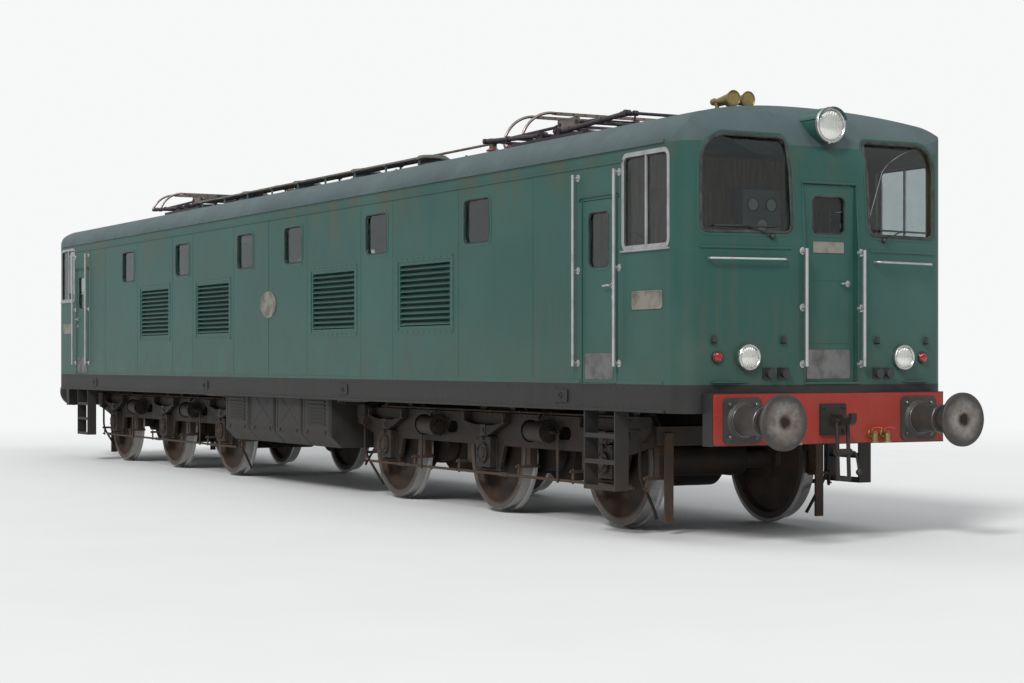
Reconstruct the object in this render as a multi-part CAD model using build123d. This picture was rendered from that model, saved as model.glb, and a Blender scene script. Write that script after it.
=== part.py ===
"""Electric locomotive with six driven axles, two bogies, two cabs and two diamond pantographs.

Millimetres, +X along the locomotive, +Z up, origin on the floor under its centre.
"""
import math
import os
from functools import cache

from build123d import *

# Track and wheels
GAUGE = 1668
WHEEL_INSIDE_RAIL = 39
WHEEL_RADIUS = 610
TYRE_WIDTH = 140
TYRE_DEPTH = 70
TREAD_TAPER = 7
FLANGE_DEPTH = 30
FLANGE_WIDTH = 32
FLANGE_ROUND = 7
HUB_RADIUS = 175
HUB_PROUD = 12
WEB_HALF = 19
WEB_DISH = 12
WEB_ROUND = 20
AXLE_RADIUS = 92
JOURNAL_RADIUS = 70
RUNNING_FIT = 0.05
AXLE_Z = WHEEL_RADIUS + FLANGE_DEPTH
WHEEL_BACK = GAUGE / 2 - WHEEL_INSIDE_RAIL
WHEEL_FACE = WHEEL_BACK + TYRE_WIDTH
WEB_Y = (WHEEL_BACK + WHEEL_FACE) / 2
RIM_RADIUS = WHEEL_RADIUS - TYRE_DEPTH

# Bogies
BOGIE_X = 5170
AXLE_SPACING = 2451
AXLES = (-AXLE_SPACING, 0, AXLE_SPACING)
FRAME_TO_WHEEL = 55
FRAME_PLATE = 40
FRAME_TOP = 1060
FRAME_WAIST = 720
FRAME_OVERHANG = 749
FRAME_TIP_Z = 820
FRAME_TIP_SLANT = 60
FRAME_Y = WHEEL_FACE + FRAME_TO_WHEEL
FRAME_OUTSIDE = FRAME_Y + FRAME_PLATE
FRAME_END = AXLE_SPACING + FRAME_OVERHANG
LEG_HALF = 230
LEG_SPREAD = 100
LEG_FOOT = AXLE_Z - 170
SLOT_LENGTH = 260
SLOT_HEIGHT = 130
SLOT_FROM_TRANSOM = 350
TRANSOM_X = AXLE_SPACING / 2
TRANSOM_HALF = 100
TRANSOM_BOTTOM = 760
END_BEAM = 50
END_BEAM_TOP = 1000
SPINE_HALF = 250
SPINE_BOTTOM = 985
PIVOT_RADIUS = 95
PIVOT_SEAT_BOTTOM = 900
PIVOT_SEAT_TOP = FRAME_TOP + 40
PIVOT_PIN_BOTTOM = 960

# Axleboxes and leaf springs
AXLEBOX_HALF = 160
AXLEBOX_UP = 170
AXLEBOX_DOWN = 150
AXLEBOX_IN = 30
AXLEBOX_COVER = 110
COVER_PROUD = 15
JOURNAL_OUT = 110
JOURNAL_END = FRAME_Y + JOURNAL_OUT
BOX_FACE = JOURNAL_END + 25
LEAVES = 7
LEAF = 14
LEAF_SHORTEST = 120
LEAF_LONGEST = 470
LEAF_RISE = 60
SPRING_WIDTH = 80
SPRING_SEAT = 16
BUCKLE_HALF = 60
HANGER_X = 445
HANGER_HALF = 22
HANGER_TOP = AXLE_Z + AXLEBOX_UP + 200
BRACKET_HALF = 32

# Fittings on the bogie frame
SANDBOX_BACK = 140
SANDBOX_HALF = 110
SANDBOX_OUT = 110
SANDBOX_TOP = 1085
SANDBOX_BOTTOM = 860
BRAKE_CYLINDER = 100
BRAKE_CYLINDER_HALF = 180
BRAKE_CYLINDER_Z = 900

# Motors and brakes
MOTOR_FROM_AXLE = 620
MOTOR_RADIUS = 310
MOTOR_HALF = 520
MOTOR_LIFT = 20
SLEEVE_RADIUS = 150
SLEEVE_HALF = 470
SLEEVE_CLEARANCE = 6
GEAR_CASE_IN = 560
GEAR_CASE_OUT = 690
GEAR_CASE_RADIUS = 330
BLOCK_CLEARANCE = 10
BLOCK_DEPTH = 80
HANGER_PIN_Z = 940
GUARD_BOTTOM = 110
GUARD_TOP = 940
GUARD_HALF = 45
GUARD_THICK = 25

# Carbody
BODY_HALF_LENGTH = 9700
BODY_HALF_WIDTH = 1475
WALL = 70
SKIRT_BOTTOM = 1150
SKIRT_WALL = 60
FLOOR_BOTTOM = 1330
FLOOR_TOP = 1400
WAIST_Z = 2650
EAVES_Z = 3520
CANTRAIL_Z = 3540
SHOULDER_IN = 295
SHOULDER_Z = 3800
SHOULDER_ROUND = 90
ROOF_Z = 3930
FLAT_HALF_WIDTH = 360
FLANK_BACK = 190
CORNER_RADIUS = 220
PLAN_EASE = 0.1
NOSE_RADIUS = 500
BROW_BACK = 60
BROW_RADIUS = 700
DOME_BACK = 900
DOME_OVER = 60
CAB_LENGTH = 2000
BULKHEAD = 50
BULKHEAD_DOWN = 200
SHOULDER_Y = BODY_HALF_WIDTH - SHOULDER_IN
CAB_BACK = BODY_HALF_LENGTH - CAB_LENGTH
BEYOND = 200

# Machines and resistances between the cabs
MACHINE_TO_CAB = 2500
MACHINE_AISLE = 775
MACHINE_OVER_WAIST = 100

# Sunk roof decks that carry the pantographs
DECK_Z = 3765
DECK_EDGE = 30
DECK_LENGTH = 3500
DECK_TO_CAB = 250
DECK_HALF_WIDTH = SHOULDER_Y - DECK_EDGE
DECK_OUTER = CAB_BACK - DECK_TO_CAB
DECK_INNER = DECK_OUTER - DECK_LENGTH

# Mouldings along the sides
GUTTER_PROUD = 18
GUTTER_HEIGHT = 30
BAND_PROUD = 10
BAND_HEIGHT = 20
BAND_Z = 3405
MOULDING_BACK = 450

# Windows, doors and grilles, those of the cab measured back from its front
CAB_WINDOW_FRONT = 400
CAB_WINDOW_BACK = 1130
CAB_WINDOW_SILL = 2620
CAB_WINDOW_TOP = 3450
WINDSCREEN_IN = 430
WINDSCREEN_OUT = 1290
WINDSCREEN_SILL = 2740
WINDSCREEN_TOP = 3585
WINDSCREEN_BEND = 230
WINDOW_CORNER = 60
BODY_WINDOW_WIDTH = 560
BODY_WINDOW_SILL = 2830
BODY_WINDOW_TOP = 3275
WINDOW_FIRST = 820
WINDOW_PITCH = 2450
GRILLE_WIDTH = 1300
GRILLE_SILL = 1950
GRILLE_TOP = 2700
GRILLE_FRAME = 40
GRILLE_DEPTH = 50
GRILLE_RECESS = 2
SLAT_PITCH = 60.5
SLAT_DROP = 36
SLAT = 8
GLASS_DEPTH = 22
GLASS = 12
CUT_DEPTH = 150
DOOR_FRONT = 1260
DOOR_WIDTH = 600
DOOR_TOP = 3100
DOOR_LEAF = 42
DOOR_GAP = 6
DOOR_RECESS = 3
DOOR_RAIL = 110
DOOR_WINDOW_HEIGHT = 510
END_DOOR_HALF = 290
END_DOOR_TOP = 3180
END_DOOR_RAIL = 100
END_DOOR_SINK = 48
BARREL_RADIUS = 14
HINGE_PIN = 8
HINGE_PIN_LENGTH = 24
HINGE_EDGE = 22
DOOR_X1 = BODY_HALF_LENGTH - DOOR_FRONT
DOOR_X0 = DOOR_X1 - DOOR_WIDTH
DOOR_AXIS_X = DOOR_X0 + DOOR_GAP + HINGE_EDGE
DOOR_AXIS_Y = BODY_HALF_WIDTH - DOOR_RECESS - DOOR_LEAF
END_AXIS_X = BODY_HALF_LENGTH - END_DOOR_SINK - DOOR_LEAF
END_AXIS_Y = -END_DOOR_HALF + DOOR_GAP + HINGE_EDGE

# Cab seats, placed behind the cab front
SEAT_BACK = 1080
SEAT_Y = 760
SEAT_UP = 440
SEAT_SIZE = 440
SEAT_CORNER = 60
SEAT_CUSHION = 80
SEAT_REST = 580
SEAT_REST_DEPTH = 60
SEAT_POST = 45
SEAT_FOOT = 170
SEAT_FOOT_HEIGHT = 20

# Lamps and handrails
HEAD_LAMP_Z = 3710
HEAD_LAMP_RADIUS = 150
HEAD_LAMP_BACK = 10
HEAD_LAMP_LENGTH = 440
LOW_LAMP_Y = 860
LOW_LAMP_Z = 1640
LOW_LAMP_RADIUS = 105
LOW_LAMP_BACK = 40
LOW_LAMP_LENGTH = 220
RAIL_RADIUS = 16
RAIL_OUT = 60
RAIL_FOOT = 14
RAIL_BOTTOM = 1560
FRONT_RAIL_TOP = 2600
SIDE_RAIL_TOP = 3350
FRONT_RAIL_Y = END_DOOR_HALF + 30

# Buffers, coupling and beams
BEAM_FACE = BODY_HALF_LENGTH
BEAM_DEPTH = 150
BEAM_HALF_WIDTH = 1280
BEAM_BOTTOM = 870
APRON_LENGTH = 400
SILL_Y = 300
SILL_HALF = 50
SILL_BOTTOM = 1170
BOLSTER_HALF_LENGTH = 300
BOLSTER_HALF_WIDTH = 350
BUFFER_Z = 1090
BUFFER_Y = 975
BUFFER_LENGTH = 628
BUFFER_HEAD_RADIUS = 240
HOOK_Z = 1090
HOOK_HALF = 30
LINK_X = 150
LINK_Y = 60
LINK_RADIUS = 18
COCK_Z = 960

# Underfloor equipment and steps
BOXES_HALF_LENGTH = 1780
BOX_SEAM = 20
BOX_SEAM_TOP = 1290
BOX_IN = 760
BOX_BEHIND_SIDE = 95
BOX_OUT = BODY_HALF_WIDTH - BOX_BEHIND_SIDE
BOX_BOTTOM = 560
BOX_BEVEL = 140
TANK_Y = 330
TANK_Z = 920
TANK_RADIUS = 190
TANK_HALF = 1500
TANK_END = 90
STEP_OUT = 5
STEP_DEPTH = 145
STEP_BOTTOM = 420
STEP_RISE = 240
STEP_PLATE = 25
STEP_SIDE = 20

# Roof equipment
VENT_PITCH = 1900
VENT_Y = 560
VENT_RADIUS = 150
VENT_CAP = 230
CONDUCTOR_Y = -150
CONDUCTOR_Z = 4115
CONDUCTOR_RADIUS = 15
CONDUCTOR_HALF = 3700
POST_PITCH = 1800
HORN_Z = 3965
HORN_LENGTH = 300
HORN_Y = (-520, -680)

# Pantographs
PANTO_X = (DECK_INNER + DECK_OUTER) / 2
PIVOT_X = 180
ARM = 1300
ARM_Z = 4000
FOLDED = math.radians(2.5)
LOWER_Y = 560
ELBOW_Y = 470
APEX_Y = 330
LOWER_TUBE = 26
UPPER_TUBE = 17
BRACE_TUBE = 10
SHAFT = 16
LOWER_BOSS = 34
ELBOW_BOSS = 30
ELBOW_BOSS_HALF = 26
BASE_HALF_LENGTH = 760
BASE_Y = 620
BASE_TOP = 3955
BASE_DEPTH = 45
BASE_RAIL = 25
BEARING_HALF = 30
BEARING_WALL = 18
BEARING_UP = 32
HEAD_HALF_WIDTH = 1025
STRIP_HALF = 640
STRIP_X = 190
STRIP_WIDTH = 22
STRIP_DEPTH = 30
STRIP_UP = 85
ELBOW_X = PIVOT_X + ARM * math.cos(FOLDED)
ELBOW_Z = ARM_Z + ARM * math.sin(FOLDED)
APEX_Z = ARM_Z + 2 * ARM * math.sin(FOLDED)
STRIP_TOP = APEX_Z + STRIP_UP


def block(x0, x1, y0, y1, z0, z1):
    """A box between two corners."""
    return Pos((x0 + x1) / 2, (y0 + y1) / 2, (z0 + z1) / 2) * Box(abs(x1 - x0), abs(y1 - y0), abs(z1 - z0))


def rod_x(x0, x1, y, z, radius):
    """A cylinder along X."""
    return Pos((x0 + x1) / 2, y, z) * Rot(0, 90, 0) * Cylinder(radius, abs(x1 - x0))


def rod_y(y0, y1, x, z, radius):
    """A cylinder along Y."""
    return Pos(x, (y0 + y1) / 2, z) * Rot(90, 0, 0) * Cylinder(radius, abs(y1 - y0))


def rod_z(z0, z1, x, y, radius):
    """A cylinder along Z."""
    return Pos(x, y, (z0 + z1) / 2) * Cylinder(radius, abs(z1 - z0))


def tube_between(start, end, radius):
    """A round bar from one point to another."""
    path = Vector(*end) - Vector(*start)
    plane = Plane(origin=Vector(*start), z_dir=path)
    return extrude(plane * Circle(radius), path.length)


def slab_y(points, y0, y1):
    """An outline of X and Z places, made into a slab from one place along Y to another."""
    face = Plane.XZ * make_face(Polyline(*points, close=True))
    return Pos(0, max(y0, y1), 0) * extrude(face, abs(y1 - y0))


def slab_x(points, x0, x1):
    """An outline of Y and Z places, made into a slab from one place along X to another."""
    face = Plane.YZ * make_face(Polyline(*points, close=True))
    return Pos(min(x0, x1), 0, 0) * extrude(face, abs(x1 - x0))


def round_x(outline, x, y, z):
    """An outline of places along X and radii, turned about a line along X."""
    points = [(outline[0][0], 0)] + outline + [(outline[-1][0], 0)]
    face = make_face(Polyline(*points, close=True))
    return Pos(x, y, z) * revolve(face, Axis.X)


def turned(shape):
    """The same shape at the other end, turned half a turn about the vertical axis."""
    return Rot(0, 0, 180) * shape


def both_ends(shape):
    """The shape and its copy at the other end."""
    return [shape, turned(shape)]


def joined(shapes):
    """One shape fused from a list."""
    result = shapes[0]
    for shape in shapes[1:]:
        result = result + shape
    return result


def gathered(shapes):
    """Separate solids kept in one compound."""
    solids = []
    for shape in shapes:
        solids.extend(shape.solids())
    return Compound(solids)


def plan_outline():
    """Plan of the body: a flat nose, two slanted flanks and round corners at each end.

    It is drawn wider than the section by PLAN_EASE, so that no side of one lies in a side of the other.
    """
    nose = BODY_HALF_LENGTH + PLAN_EASE
    side = BODY_HALF_WIDTH + PLAN_EASE
    quarter = [(nose, FLAT_HALF_WIDTH), (nose - FLANK_BACK, side)]
    front = quarter[::-1] + [(x, -y) for x, y in quarter]
    rear = [(-x, -y) for x, y in front]
    outline = make_face(Polyline(*(front + rear), close=True))
    corners = [v for v in outline.vertices() if abs(v.Y) > FLAT_HALF_WIDTH + 1]
    outline = fillet(corners, CORNER_RADIUS)
    edges = [v for v in outline.vertices() if abs(v.Y) < FLAT_HALF_WIDTH + 1]
    return fillet(edges, NOSE_RADIUS)


def cross_section():
    """Section across the body: straight sides, rounded shoulders and a shallow arched roof."""
    side = BODY_HALF_WIDTH
    low = SKIRT_BOTTOM - BEYOND
    bend_z = CANTRAIL_Z + (SHOULDER_Z - CANTRAIL_Z) * 0.62
    shoulder = ThreePointArc((side, CANTRAIL_Z), (side - SHOULDER_ROUND, bend_z), (SHOULDER_Y, SHOULDER_Z))
    roof = ThreePointArc((SHOULDER_Y, SHOULDER_Z), (0, ROOF_Z), (-SHOULDER_Y, SHOULDER_Z))
    far = ThreePointArc((-SHOULDER_Y, SHOULDER_Z), (SHOULDER_ROUND - side, bend_z), (-side, CANTRAIL_Z))
    base = Polyline((-side, CANTRAIL_Z), (-side, low), (side, low), (side, CANTRAIL_Z))
    return make_face([shoulder, roof, far] + base.edges())


def side_profile():
    """Section along the body: upright nose to the waist, raked and rounded brow and a domed roof end.

    The dome is an arc that ends level, DOME_OVER above the crown, so that it meets the roof at a slant.
    """
    nose = BODY_HALF_LENGTH
    top = ROOF_Z + DOME_OVER
    low = SKIRT_BOTTOM - BEYOND
    brow = nose - BROW_BACK
    dome = nose - DOME_BACK
    run = brow - dome
    rise = top - CANTRAIL_Z
    radius = (run * run + rise * rise) / (2 * rise)
    half = math.atan2(run, radius - rise) / 2
    middle = (dome + radius * math.sin(half), top - radius * (1 - math.cos(half)))
    front = ThreePointArc((brow, CANTRAIL_Z), middle, (dome, top))
    rear = ThreePointArc((-dome, top), (-middle[0], middle[1]), (-brow, CANTRAIL_Z))
    crown = Line((dome, top), (-dome, top))
    base = Polyline(
        (-brow, CANTRAIL_Z), (-nose, WAIST_Z), (-nose, low), (nose, low), (nose, WAIST_Z), (brow, CANTRAIL_Z)
    )
    outline = make_face([front, crown, rear] + base.edges())
    brows = [v for v in outline.vertices() if abs(v.Y - CANTRAIL_Z) < 1]
    return fillet(brows, BROW_RADIUS)


def drawn_in(outline, inset):
    """An outline moved inwards by an inset, or outwards by a negative one."""
    return offset(outline, -inset, kind=Kind.INTERSECTION) if inset else outline


@cache
def body_form(inset):
    """The body's whole outer form, drawn in by an inset on every side."""
    reach = BODY_HALF_LENGTH + BEYOND
    half = BODY_HALF_WIDTH + BEYOND
    across = Pos(-reach, 0, 0) * extrude(Plane.YZ * drawn_in(cross_section(), inset), 2 * reach)
    above = Pos(0, 0, SKIRT_BOTTOM - BEYOND) * extrude(drawn_in(plan_outline(), inset), ROOF_Z)
    along = Pos(0, half, 0) * extrude(Plane.XZ * drawn_in(side_profile(), inset), 2 * half)
    return across & above & along


def layer(outside, inside):
    """The part of the body's skin between two insets."""
    return body_form(outside) - body_form(inside)


def across_body(x0, x1, z0, z1):
    """A block as wide as the body and more."""
    half = BODY_HALF_WIDTH + BEYOND
    return block(x0, x1, -half, half, z0, z1)


OUTER = body_form(0)
INNER = body_form(WALL)
SHELL = OUTER - INNER
GLASS_LAYER = layer(GLASS_DEPTH, GLASS_DEPTH + GLASS)
MOULDING_END = BODY_HALF_LENGTH - MOULDING_BACK
BAND = layer(-BAND_PROUD, 0) & across_body(-MOULDING_END, MOULDING_END, BAND_Z, BAND_Z + BAND_HEIGHT)
GUTTER = layer(-GUTTER_PROUD, 0) & across_body(-MOULDING_END, MOULDING_END, EAVES_Z, EAVES_Z + GUTTER_HEIGHT)

# Centres of the small side windows and of the grilles between them, the same on both sides
WINDOW_STEPS = [WINDOW_FIRST + WINDOW_PITCH * step for step in range(3)]
BODY_WINDOWS = [sign * x for sign in (-1, 1) for x in WINDOW_STEPS]
GRILLES = [sign * (x + WINDOW_PITCH / 2) for sign in (-1, 1) for x in WINDOW_STEPS[:2]]


def side_cutter(x0, x1, z0, z1, sign, corner=0):
    """A cutter through one side wall, with round corners where a radius is given."""
    size = (x1 - x0, z1 - z0)
    outline = RectangleRounded(*size, corner) if corner else Rectangle(*size)
    cutter = extrude(Plane.XZ * outline, 2 * CUT_DEPTH)
    return Pos((x0 + x1) / 2, sign * BODY_HALF_WIDTH + CUT_DEPTH, (z0 + z1) / 2) * cutter


def windscreen_cutters():
    """The two windscreen openings, looking along the locomotive; the outer top corner follows the roof."""
    cutters = []
    for sign in (-1, 1):
        points = [
            (sign * WINDSCREEN_IN, WINDSCREEN_SILL),
            (sign * WINDSCREEN_OUT, WINDSCREEN_SILL),
            (sign * WINDSCREEN_OUT, WINDSCREEN_TOP),
            (sign * WINDSCREEN_IN, WINDSCREEN_TOP),
        ]
        outline = make_face(Polyline(*points, close=True))
        radii = (WINDOW_CORNER, WINDOW_CORNER, WINDSCREEN_BEND, WINDOW_CORNER)
        for corner, radius in zip(points, radii):
            nearest = outline.vertices().sort_by_distance((*corner, 0))[0]
            outline = fillet([nearest], radius)
        start = BODY_HALF_LENGTH - DOME_BACK
        cutters.append(Pos(start, 0, 0) * extrude(Plane.YZ * outline, DOME_BACK + BEYOND))
    return cutters


def cab_window_cutters():
    """The side windows of the front cab."""
    x0 = BODY_HALF_LENGTH - CAB_WINDOW_BACK
    x1 = BODY_HALF_LENGTH - CAB_WINDOW_FRONT
    return [side_cutter(x0, x1, CAB_WINDOW_SILL, CAB_WINDOW_TOP, sign, WINDOW_CORNER) for sign in (-1, 1)]


def body_window_cutters(sign):
    """The small windows of one side."""
    half = BODY_WINDOW_WIDTH / 2
    return [
        side_cutter(x - half, x + half, BODY_WINDOW_SILL, BODY_WINDOW_TOP, sign, WINDOW_CORNER)
        for x in BODY_WINDOWS
    ]


def hinge_pin_holes(x, y, top):
    """Bores for a door's top and bottom pivots."""
    radius = HINGE_PIN + RUNNING_FIT
    depth = HINGE_PIN_LENGTH + DOOR_GAP
    return rod_z(FLOOR_TOP - depth, FLOOR_TOP + 1, x, y, radius) + rod_z(top - 1, top + depth, x, y, radius)


def cab_shell():
    """Front cab: nose, flanks, corners and the sides back to the bulkhead."""
    shell = (SHELL + BAND) & across_body(CAB_BACK, BODY_HALF_LENGTH + BEYOND, FLOOR_TOP, EAVES_Z)
    for cutter in windscreen_cutters() + cab_window_cutters():
        shell -= cutter
    for sign in (-1, 1):
        shell -= side_cutter(DOOR_X0, DOOR_X1, FLOOR_TOP - 1, DOOR_TOP, sign)
        shell -= hinge_pin_holes(DOOR_AXIS_X, sign * DOOR_AXIS_Y, DOOR_TOP)
    nose = BODY_HALF_LENGTH
    shell -= block(nose - BEYOND, nose + BEYOND, -END_DOOR_HALF, END_DOOR_HALF, FLOOR_TOP - 1, END_DOOR_TOP)
    shell -= hinge_pin_holes(END_AXIS_X, END_AXIS_Y, END_DOOR_TOP)
    for lamp in lower_lamps():
        shell -= lamp
    return shell


def lower_lamps():
    """Two round lamps low on the flanks."""
    face = BODY_HALF_LENGTH - LOW_LAMP_BACK
    return [
        rod_x(face - LOW_LAMP_LENGTH, face, sign * LOW_LAMP_Y, LOW_LAMP_Z, LOW_LAMP_RADIUS)
        for sign in (-1, 1)
    ]


def head_lamp():
    """The large lamp on the brow."""
    face = BODY_HALF_LENGTH - HEAD_LAMP_BACK
    return rod_x(face - HEAD_LAMP_LENGTH, face, 0, HEAD_LAMP_Z, HEAD_LAMP_RADIUS)


def cab_roof():
    """Front cab roof with its domed end and gutters, cut for the tops of the windscreens."""
    roof = (SHELL + GUTTER) & across_body(CAB_BACK, BODY_HALF_LENGTH + BEYOND, EAVES_Z, ROOF_Z + BEYOND)
    for cutter in windscreen_cutters():
        roof -= cutter
    return roof - head_lamp()


def main_roof():
    """Roof between the cabs, with a sunk deck under each pantograph."""
    roof = (SHELL + GUTTER) & across_body(-CAB_BACK, CAB_BACK, EAVES_Z, ROOF_Z + BEYOND)
    half = DECK_HALF_WIDTH
    for x0, x1 in ((DECK_INNER, DECK_OUTER), (-DECK_OUTER, -DECK_INNER)):
        roof -= block(x0, x1, -half, half, DECK_Z, ROOF_Z + BEYOND)
        deck = block(x0 - WALL, x1 + WALL, -half - WALL, half + WALL, DECK_Z - WALL, DECK_Z)
        ends = block(x0 - WALL, x0, -half, half, DECK_Z, ROOF_Z)
        ends += block(x1, x1 + WALL, -half, half, DECK_Z, ROOF_Z)
        roof += (deck + ends) & OUTER
    return roof


def side_wall(sign):
    """One side wall between the cabs, with windows and grille openings."""
    inner = BODY_HALF_WIDTH - WALL - 1
    outer = BODY_HALF_WIDTH + BEYOND
    wall = (SHELL + BAND) & block(-CAB_BACK, CAB_BACK, sign * inner, sign * outer, FLOOR_TOP, EAVES_Z)
    for cutter in body_window_cutters(sign):
        wall -= cutter
    half = GRILLE_WIDTH / 2
    for x in GRILLES:
        wall -= side_cutter(x - half, x + half, GRILLE_SILL, GRILLE_TOP, sign)
    return wall


def grille(x, sign):
    """A louvre panel: a frame with slanted slats."""
    half = GRILLE_WIDTH / 2
    inside = half - GRILLE_FRAME
    face = sign * (BODY_HALF_WIDTH - GRILLE_RECESS)
    back = face - sign * GRILLE_DEPTH
    low = GRILLE_SILL + GRILLE_FRAME
    high = GRILLE_TOP - GRILLE_FRAME
    panel = block(x - half, x + half, back, face, GRILLE_SILL, GRILLE_TOP)
    panel -= side_cutter(x - inside, x + inside, low, high, sign)
    for index in range(int((high - low) / SLAT_PITCH)):
        z = low + SLAT_PITCH * (index + 0.2)
        rise = z + SLAT_DROP
        slat = [(face, z), (face, z + SLAT), (back + sign * 4, rise + SLAT), (back + sign * 4, rise)]
        panel += slab_x(slat, x - half + 1, x + half - 1)
    return panel


def fixed_glass():
    """Every window that has no door."""
    panes = []
    for cutter in windscreen_cutters() + cab_window_cutters():
        panes += both_ends(GLASS_LAYER & cutter)
    for sign in (-1, 1):
        panes += [GLASS_LAYER & cutter for cutter in body_window_cutters(sign)]
    return gathered(panes)


def headstock():
    """Front buffer beam with the apron that closes the skirt round the nose."""
    start = BODY_HALF_LENGTH - APRON_LENGTH
    apron = layer(0, SKIRT_WALL) & across_body(start, BEAM_FACE + BEYOND, SKIRT_BOTTOM, FLOOR_BOTTOM)
    beam = block(
        BEAM_FACE - BEAM_DEPTH, BEAM_FACE, -BEAM_HALF_WIDTH, BEAM_HALF_WIDTH, BEAM_BOTTOM, FLOOR_BOTTOM
    )
    return apron + beam


def underframe():
    """Floor, centre sills, buffer beams, bolsters and the two centre pins."""
    shapes = [OUTER & across_body(-BODY_HALF_LENGTH, BODY_HALF_LENGTH, FLOOR_BOTTOM, FLOOR_TOP)]
    shapes += both_ends(headstock())
    sill_end = BEAM_FACE - BEAM_DEPTH
    for sign in (-1, 1):
        y0 = sign * (SILL_Y - SILL_HALF)
        y1 = sign * (SILL_Y + SILL_HALF)
        shapes.append(block(-sill_end, sill_end, y0, y1, SILL_BOTTOM, FLOOR_BOTTOM))
        pivot = sign * BOGIE_X
        x0 = pivot - BOLSTER_HALF_LENGTH
        x1 = pivot + BOLSTER_HALF_LENGTH
        shapes.append(block(x0, x1, -BOLSTER_HALF_WIDTH, BOLSTER_HALF_WIDTH, SKIRT_BOTTOM, FLOOR_BOTTOM))
        shapes.append(rod_z(PIVOT_PIN_BOTTOM, SKIRT_BOTTOM, pivot, 0, PIVOT_RADIUS))
    frame = joined(shapes)
    for end in (1, -1):
        for sign in (-1, 1):
            frame -= hinge_pin_holes(end * DOOR_AXIS_X, sign * DOOR_AXIS_Y, DOOR_TOP)
        frame -= hinge_pin_holes(end * END_AXIS_X, end * END_AXIS_Y, END_DOOR_TOP)
    return frame


def solebar(sign):
    """The long side sill that shows below the body."""
    end = BODY_HALF_LENGTH - APRON_LENGTH
    inner = BODY_HALF_WIDTH - SKIRT_WALL
    return block(-end, end, sign * inner, sign * BODY_HALF_WIDTH, SKIRT_BOTTOM, FLOOR_BOTTOM)


def cab_door(sign):
    """A cab side door with its window and pivots; it opens inwards."""
    x0 = DOOR_X0 + DOOR_GAP
    x1 = DOOR_X1 - DOOR_GAP
    z0 = FLOOR_TOP + DOOR_GAP
    z1 = DOOR_TOP - DOOR_GAP
    top = z1 - DOOR_RAIL
    leaf = block(x0, x1, sign * DOOR_AXIS_Y, sign * (DOOR_AXIS_Y + DOOR_LEAF), z0, z1)
    leaf -= side_cutter(x0 + DOOR_RAIL, x1 - DOOR_RAIL, top - DOOR_WINDOW_HEIGHT, top, sign, WINDOW_CORNER)
    leaf += rod_z(z0, z1, DOOR_AXIS_X, sign * DOOR_AXIS_Y, BARREL_RADIUS)
    pin_foot = FLOOR_TOP - HINGE_PIN_LENGTH
    pin_top = DOOR_TOP + HINGE_PIN_LENGTH
    pin = rod_z(pin_foot, pin_top, DOOR_AXIS_X, sign * DOOR_AXIS_Y, HINGE_PIN)
    return leaf + pin


def end_door():
    """The door in the nose, with its window and pivots; it opens inwards."""
    half = END_DOOR_HALF - DOOR_GAP
    z0 = FLOOR_TOP + DOOR_GAP
    z1 = END_DOOR_TOP - DOOR_GAP
    leaf = block(END_AXIS_X, END_AXIS_X + DOOR_LEAF, -half, half, z0, z1)
    light = RectangleRounded(2 * (half - END_DOOR_RAIL), z1 - END_DOOR_RAIL - WINDSCREEN_SILL, WINDOW_CORNER)
    middle = (z1 - END_DOOR_RAIL + WINDSCREEN_SILL) / 2
    leaf -= Pos(END_AXIS_X - CUT_DEPTH, 0, middle) * extrude(Plane.YZ * light, 2 * CUT_DEPTH)
    leaf += rod_z(z0, z1, END_AXIS_X, END_AXIS_Y, BARREL_RADIUS)
    pin_foot = FLOOR_TOP - HINGE_PIN_LENGTH
    pin_top = END_DOOR_TOP + HINGE_PIN_LENGTH
    pin = rod_z(pin_foot, pin_top, END_AXIS_X, END_AXIS_Y, HINGE_PIN)
    return leaf + pin


def bulkhead():
    """Wall behind the front cab."""
    return INNER & across_body(CAB_BACK, CAB_BACK + BULKHEAD, FLOOR_TOP, SHOULDER_Z - BULKHEAD_DOWN)


# Outline of the driver's desk: place behind the cab front and height above the floor
DESK_OUTLINE = [(750, 0), (370, 0), (370, 1020), (500, 1060), (800, 900), (800, 840), (750, 800)]


def driver_desk():
    """Driver's desk under the left windscreen of the front cab."""
    points = [(BODY_HALF_LENGTH - back, FLOOR_TOP + up) for back, up in DESK_OUTLINE]
    return slab_y(points, WINDSCREEN_IN - 20, WINDSCREEN_OUT - 120) & INNER


def seat(y):
    """A cab seat with round corners on its pedestal."""
    x = BODY_HALF_LENGTH - SEAT_BACK
    low = FLOOR_TOP + SEAT_UP
    shape = rod_z(FLOOR_TOP, low, x, y, SEAT_POST)
    shape += rod_z(FLOOR_TOP, FLOOR_TOP + SEAT_FOOT_HEIGHT, x, y, SEAT_FOOT)
    cushion = extrude(RectangleRounded(SEAT_SIZE, SEAT_SIZE, SEAT_CORNER), SEAT_CUSHION)
    rest = extrude(Plane.YZ * RectangleRounded(SEAT_SIZE, SEAT_REST, SEAT_CORNER), SEAT_REST_DEPTH)
    shape += Pos(x, y, low) * cushion
    return shape + Pos(x - SEAT_SIZE / 2, y, low + SEAT_REST / 2) * rest


# Buffer outline: place from the beam and radius there
BUFFER_OUTLINE = [
    (25, 165), (60, 132), (350, 118), (372, 118), (372, 92), (BUFFER_LENGTH - 62, 84),
    (BUFFER_LENGTH - 40, BUFFER_HEAD_RADIUS - 12), (BUFFER_LENGTH - 28, BUFFER_HEAD_RADIUS),
    (BUFFER_LENGTH - 8, BUFFER_HEAD_RADIUS), (BUFFER_LENGTH, BUFFER_HEAD_RADIUS - 8),
]


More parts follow.
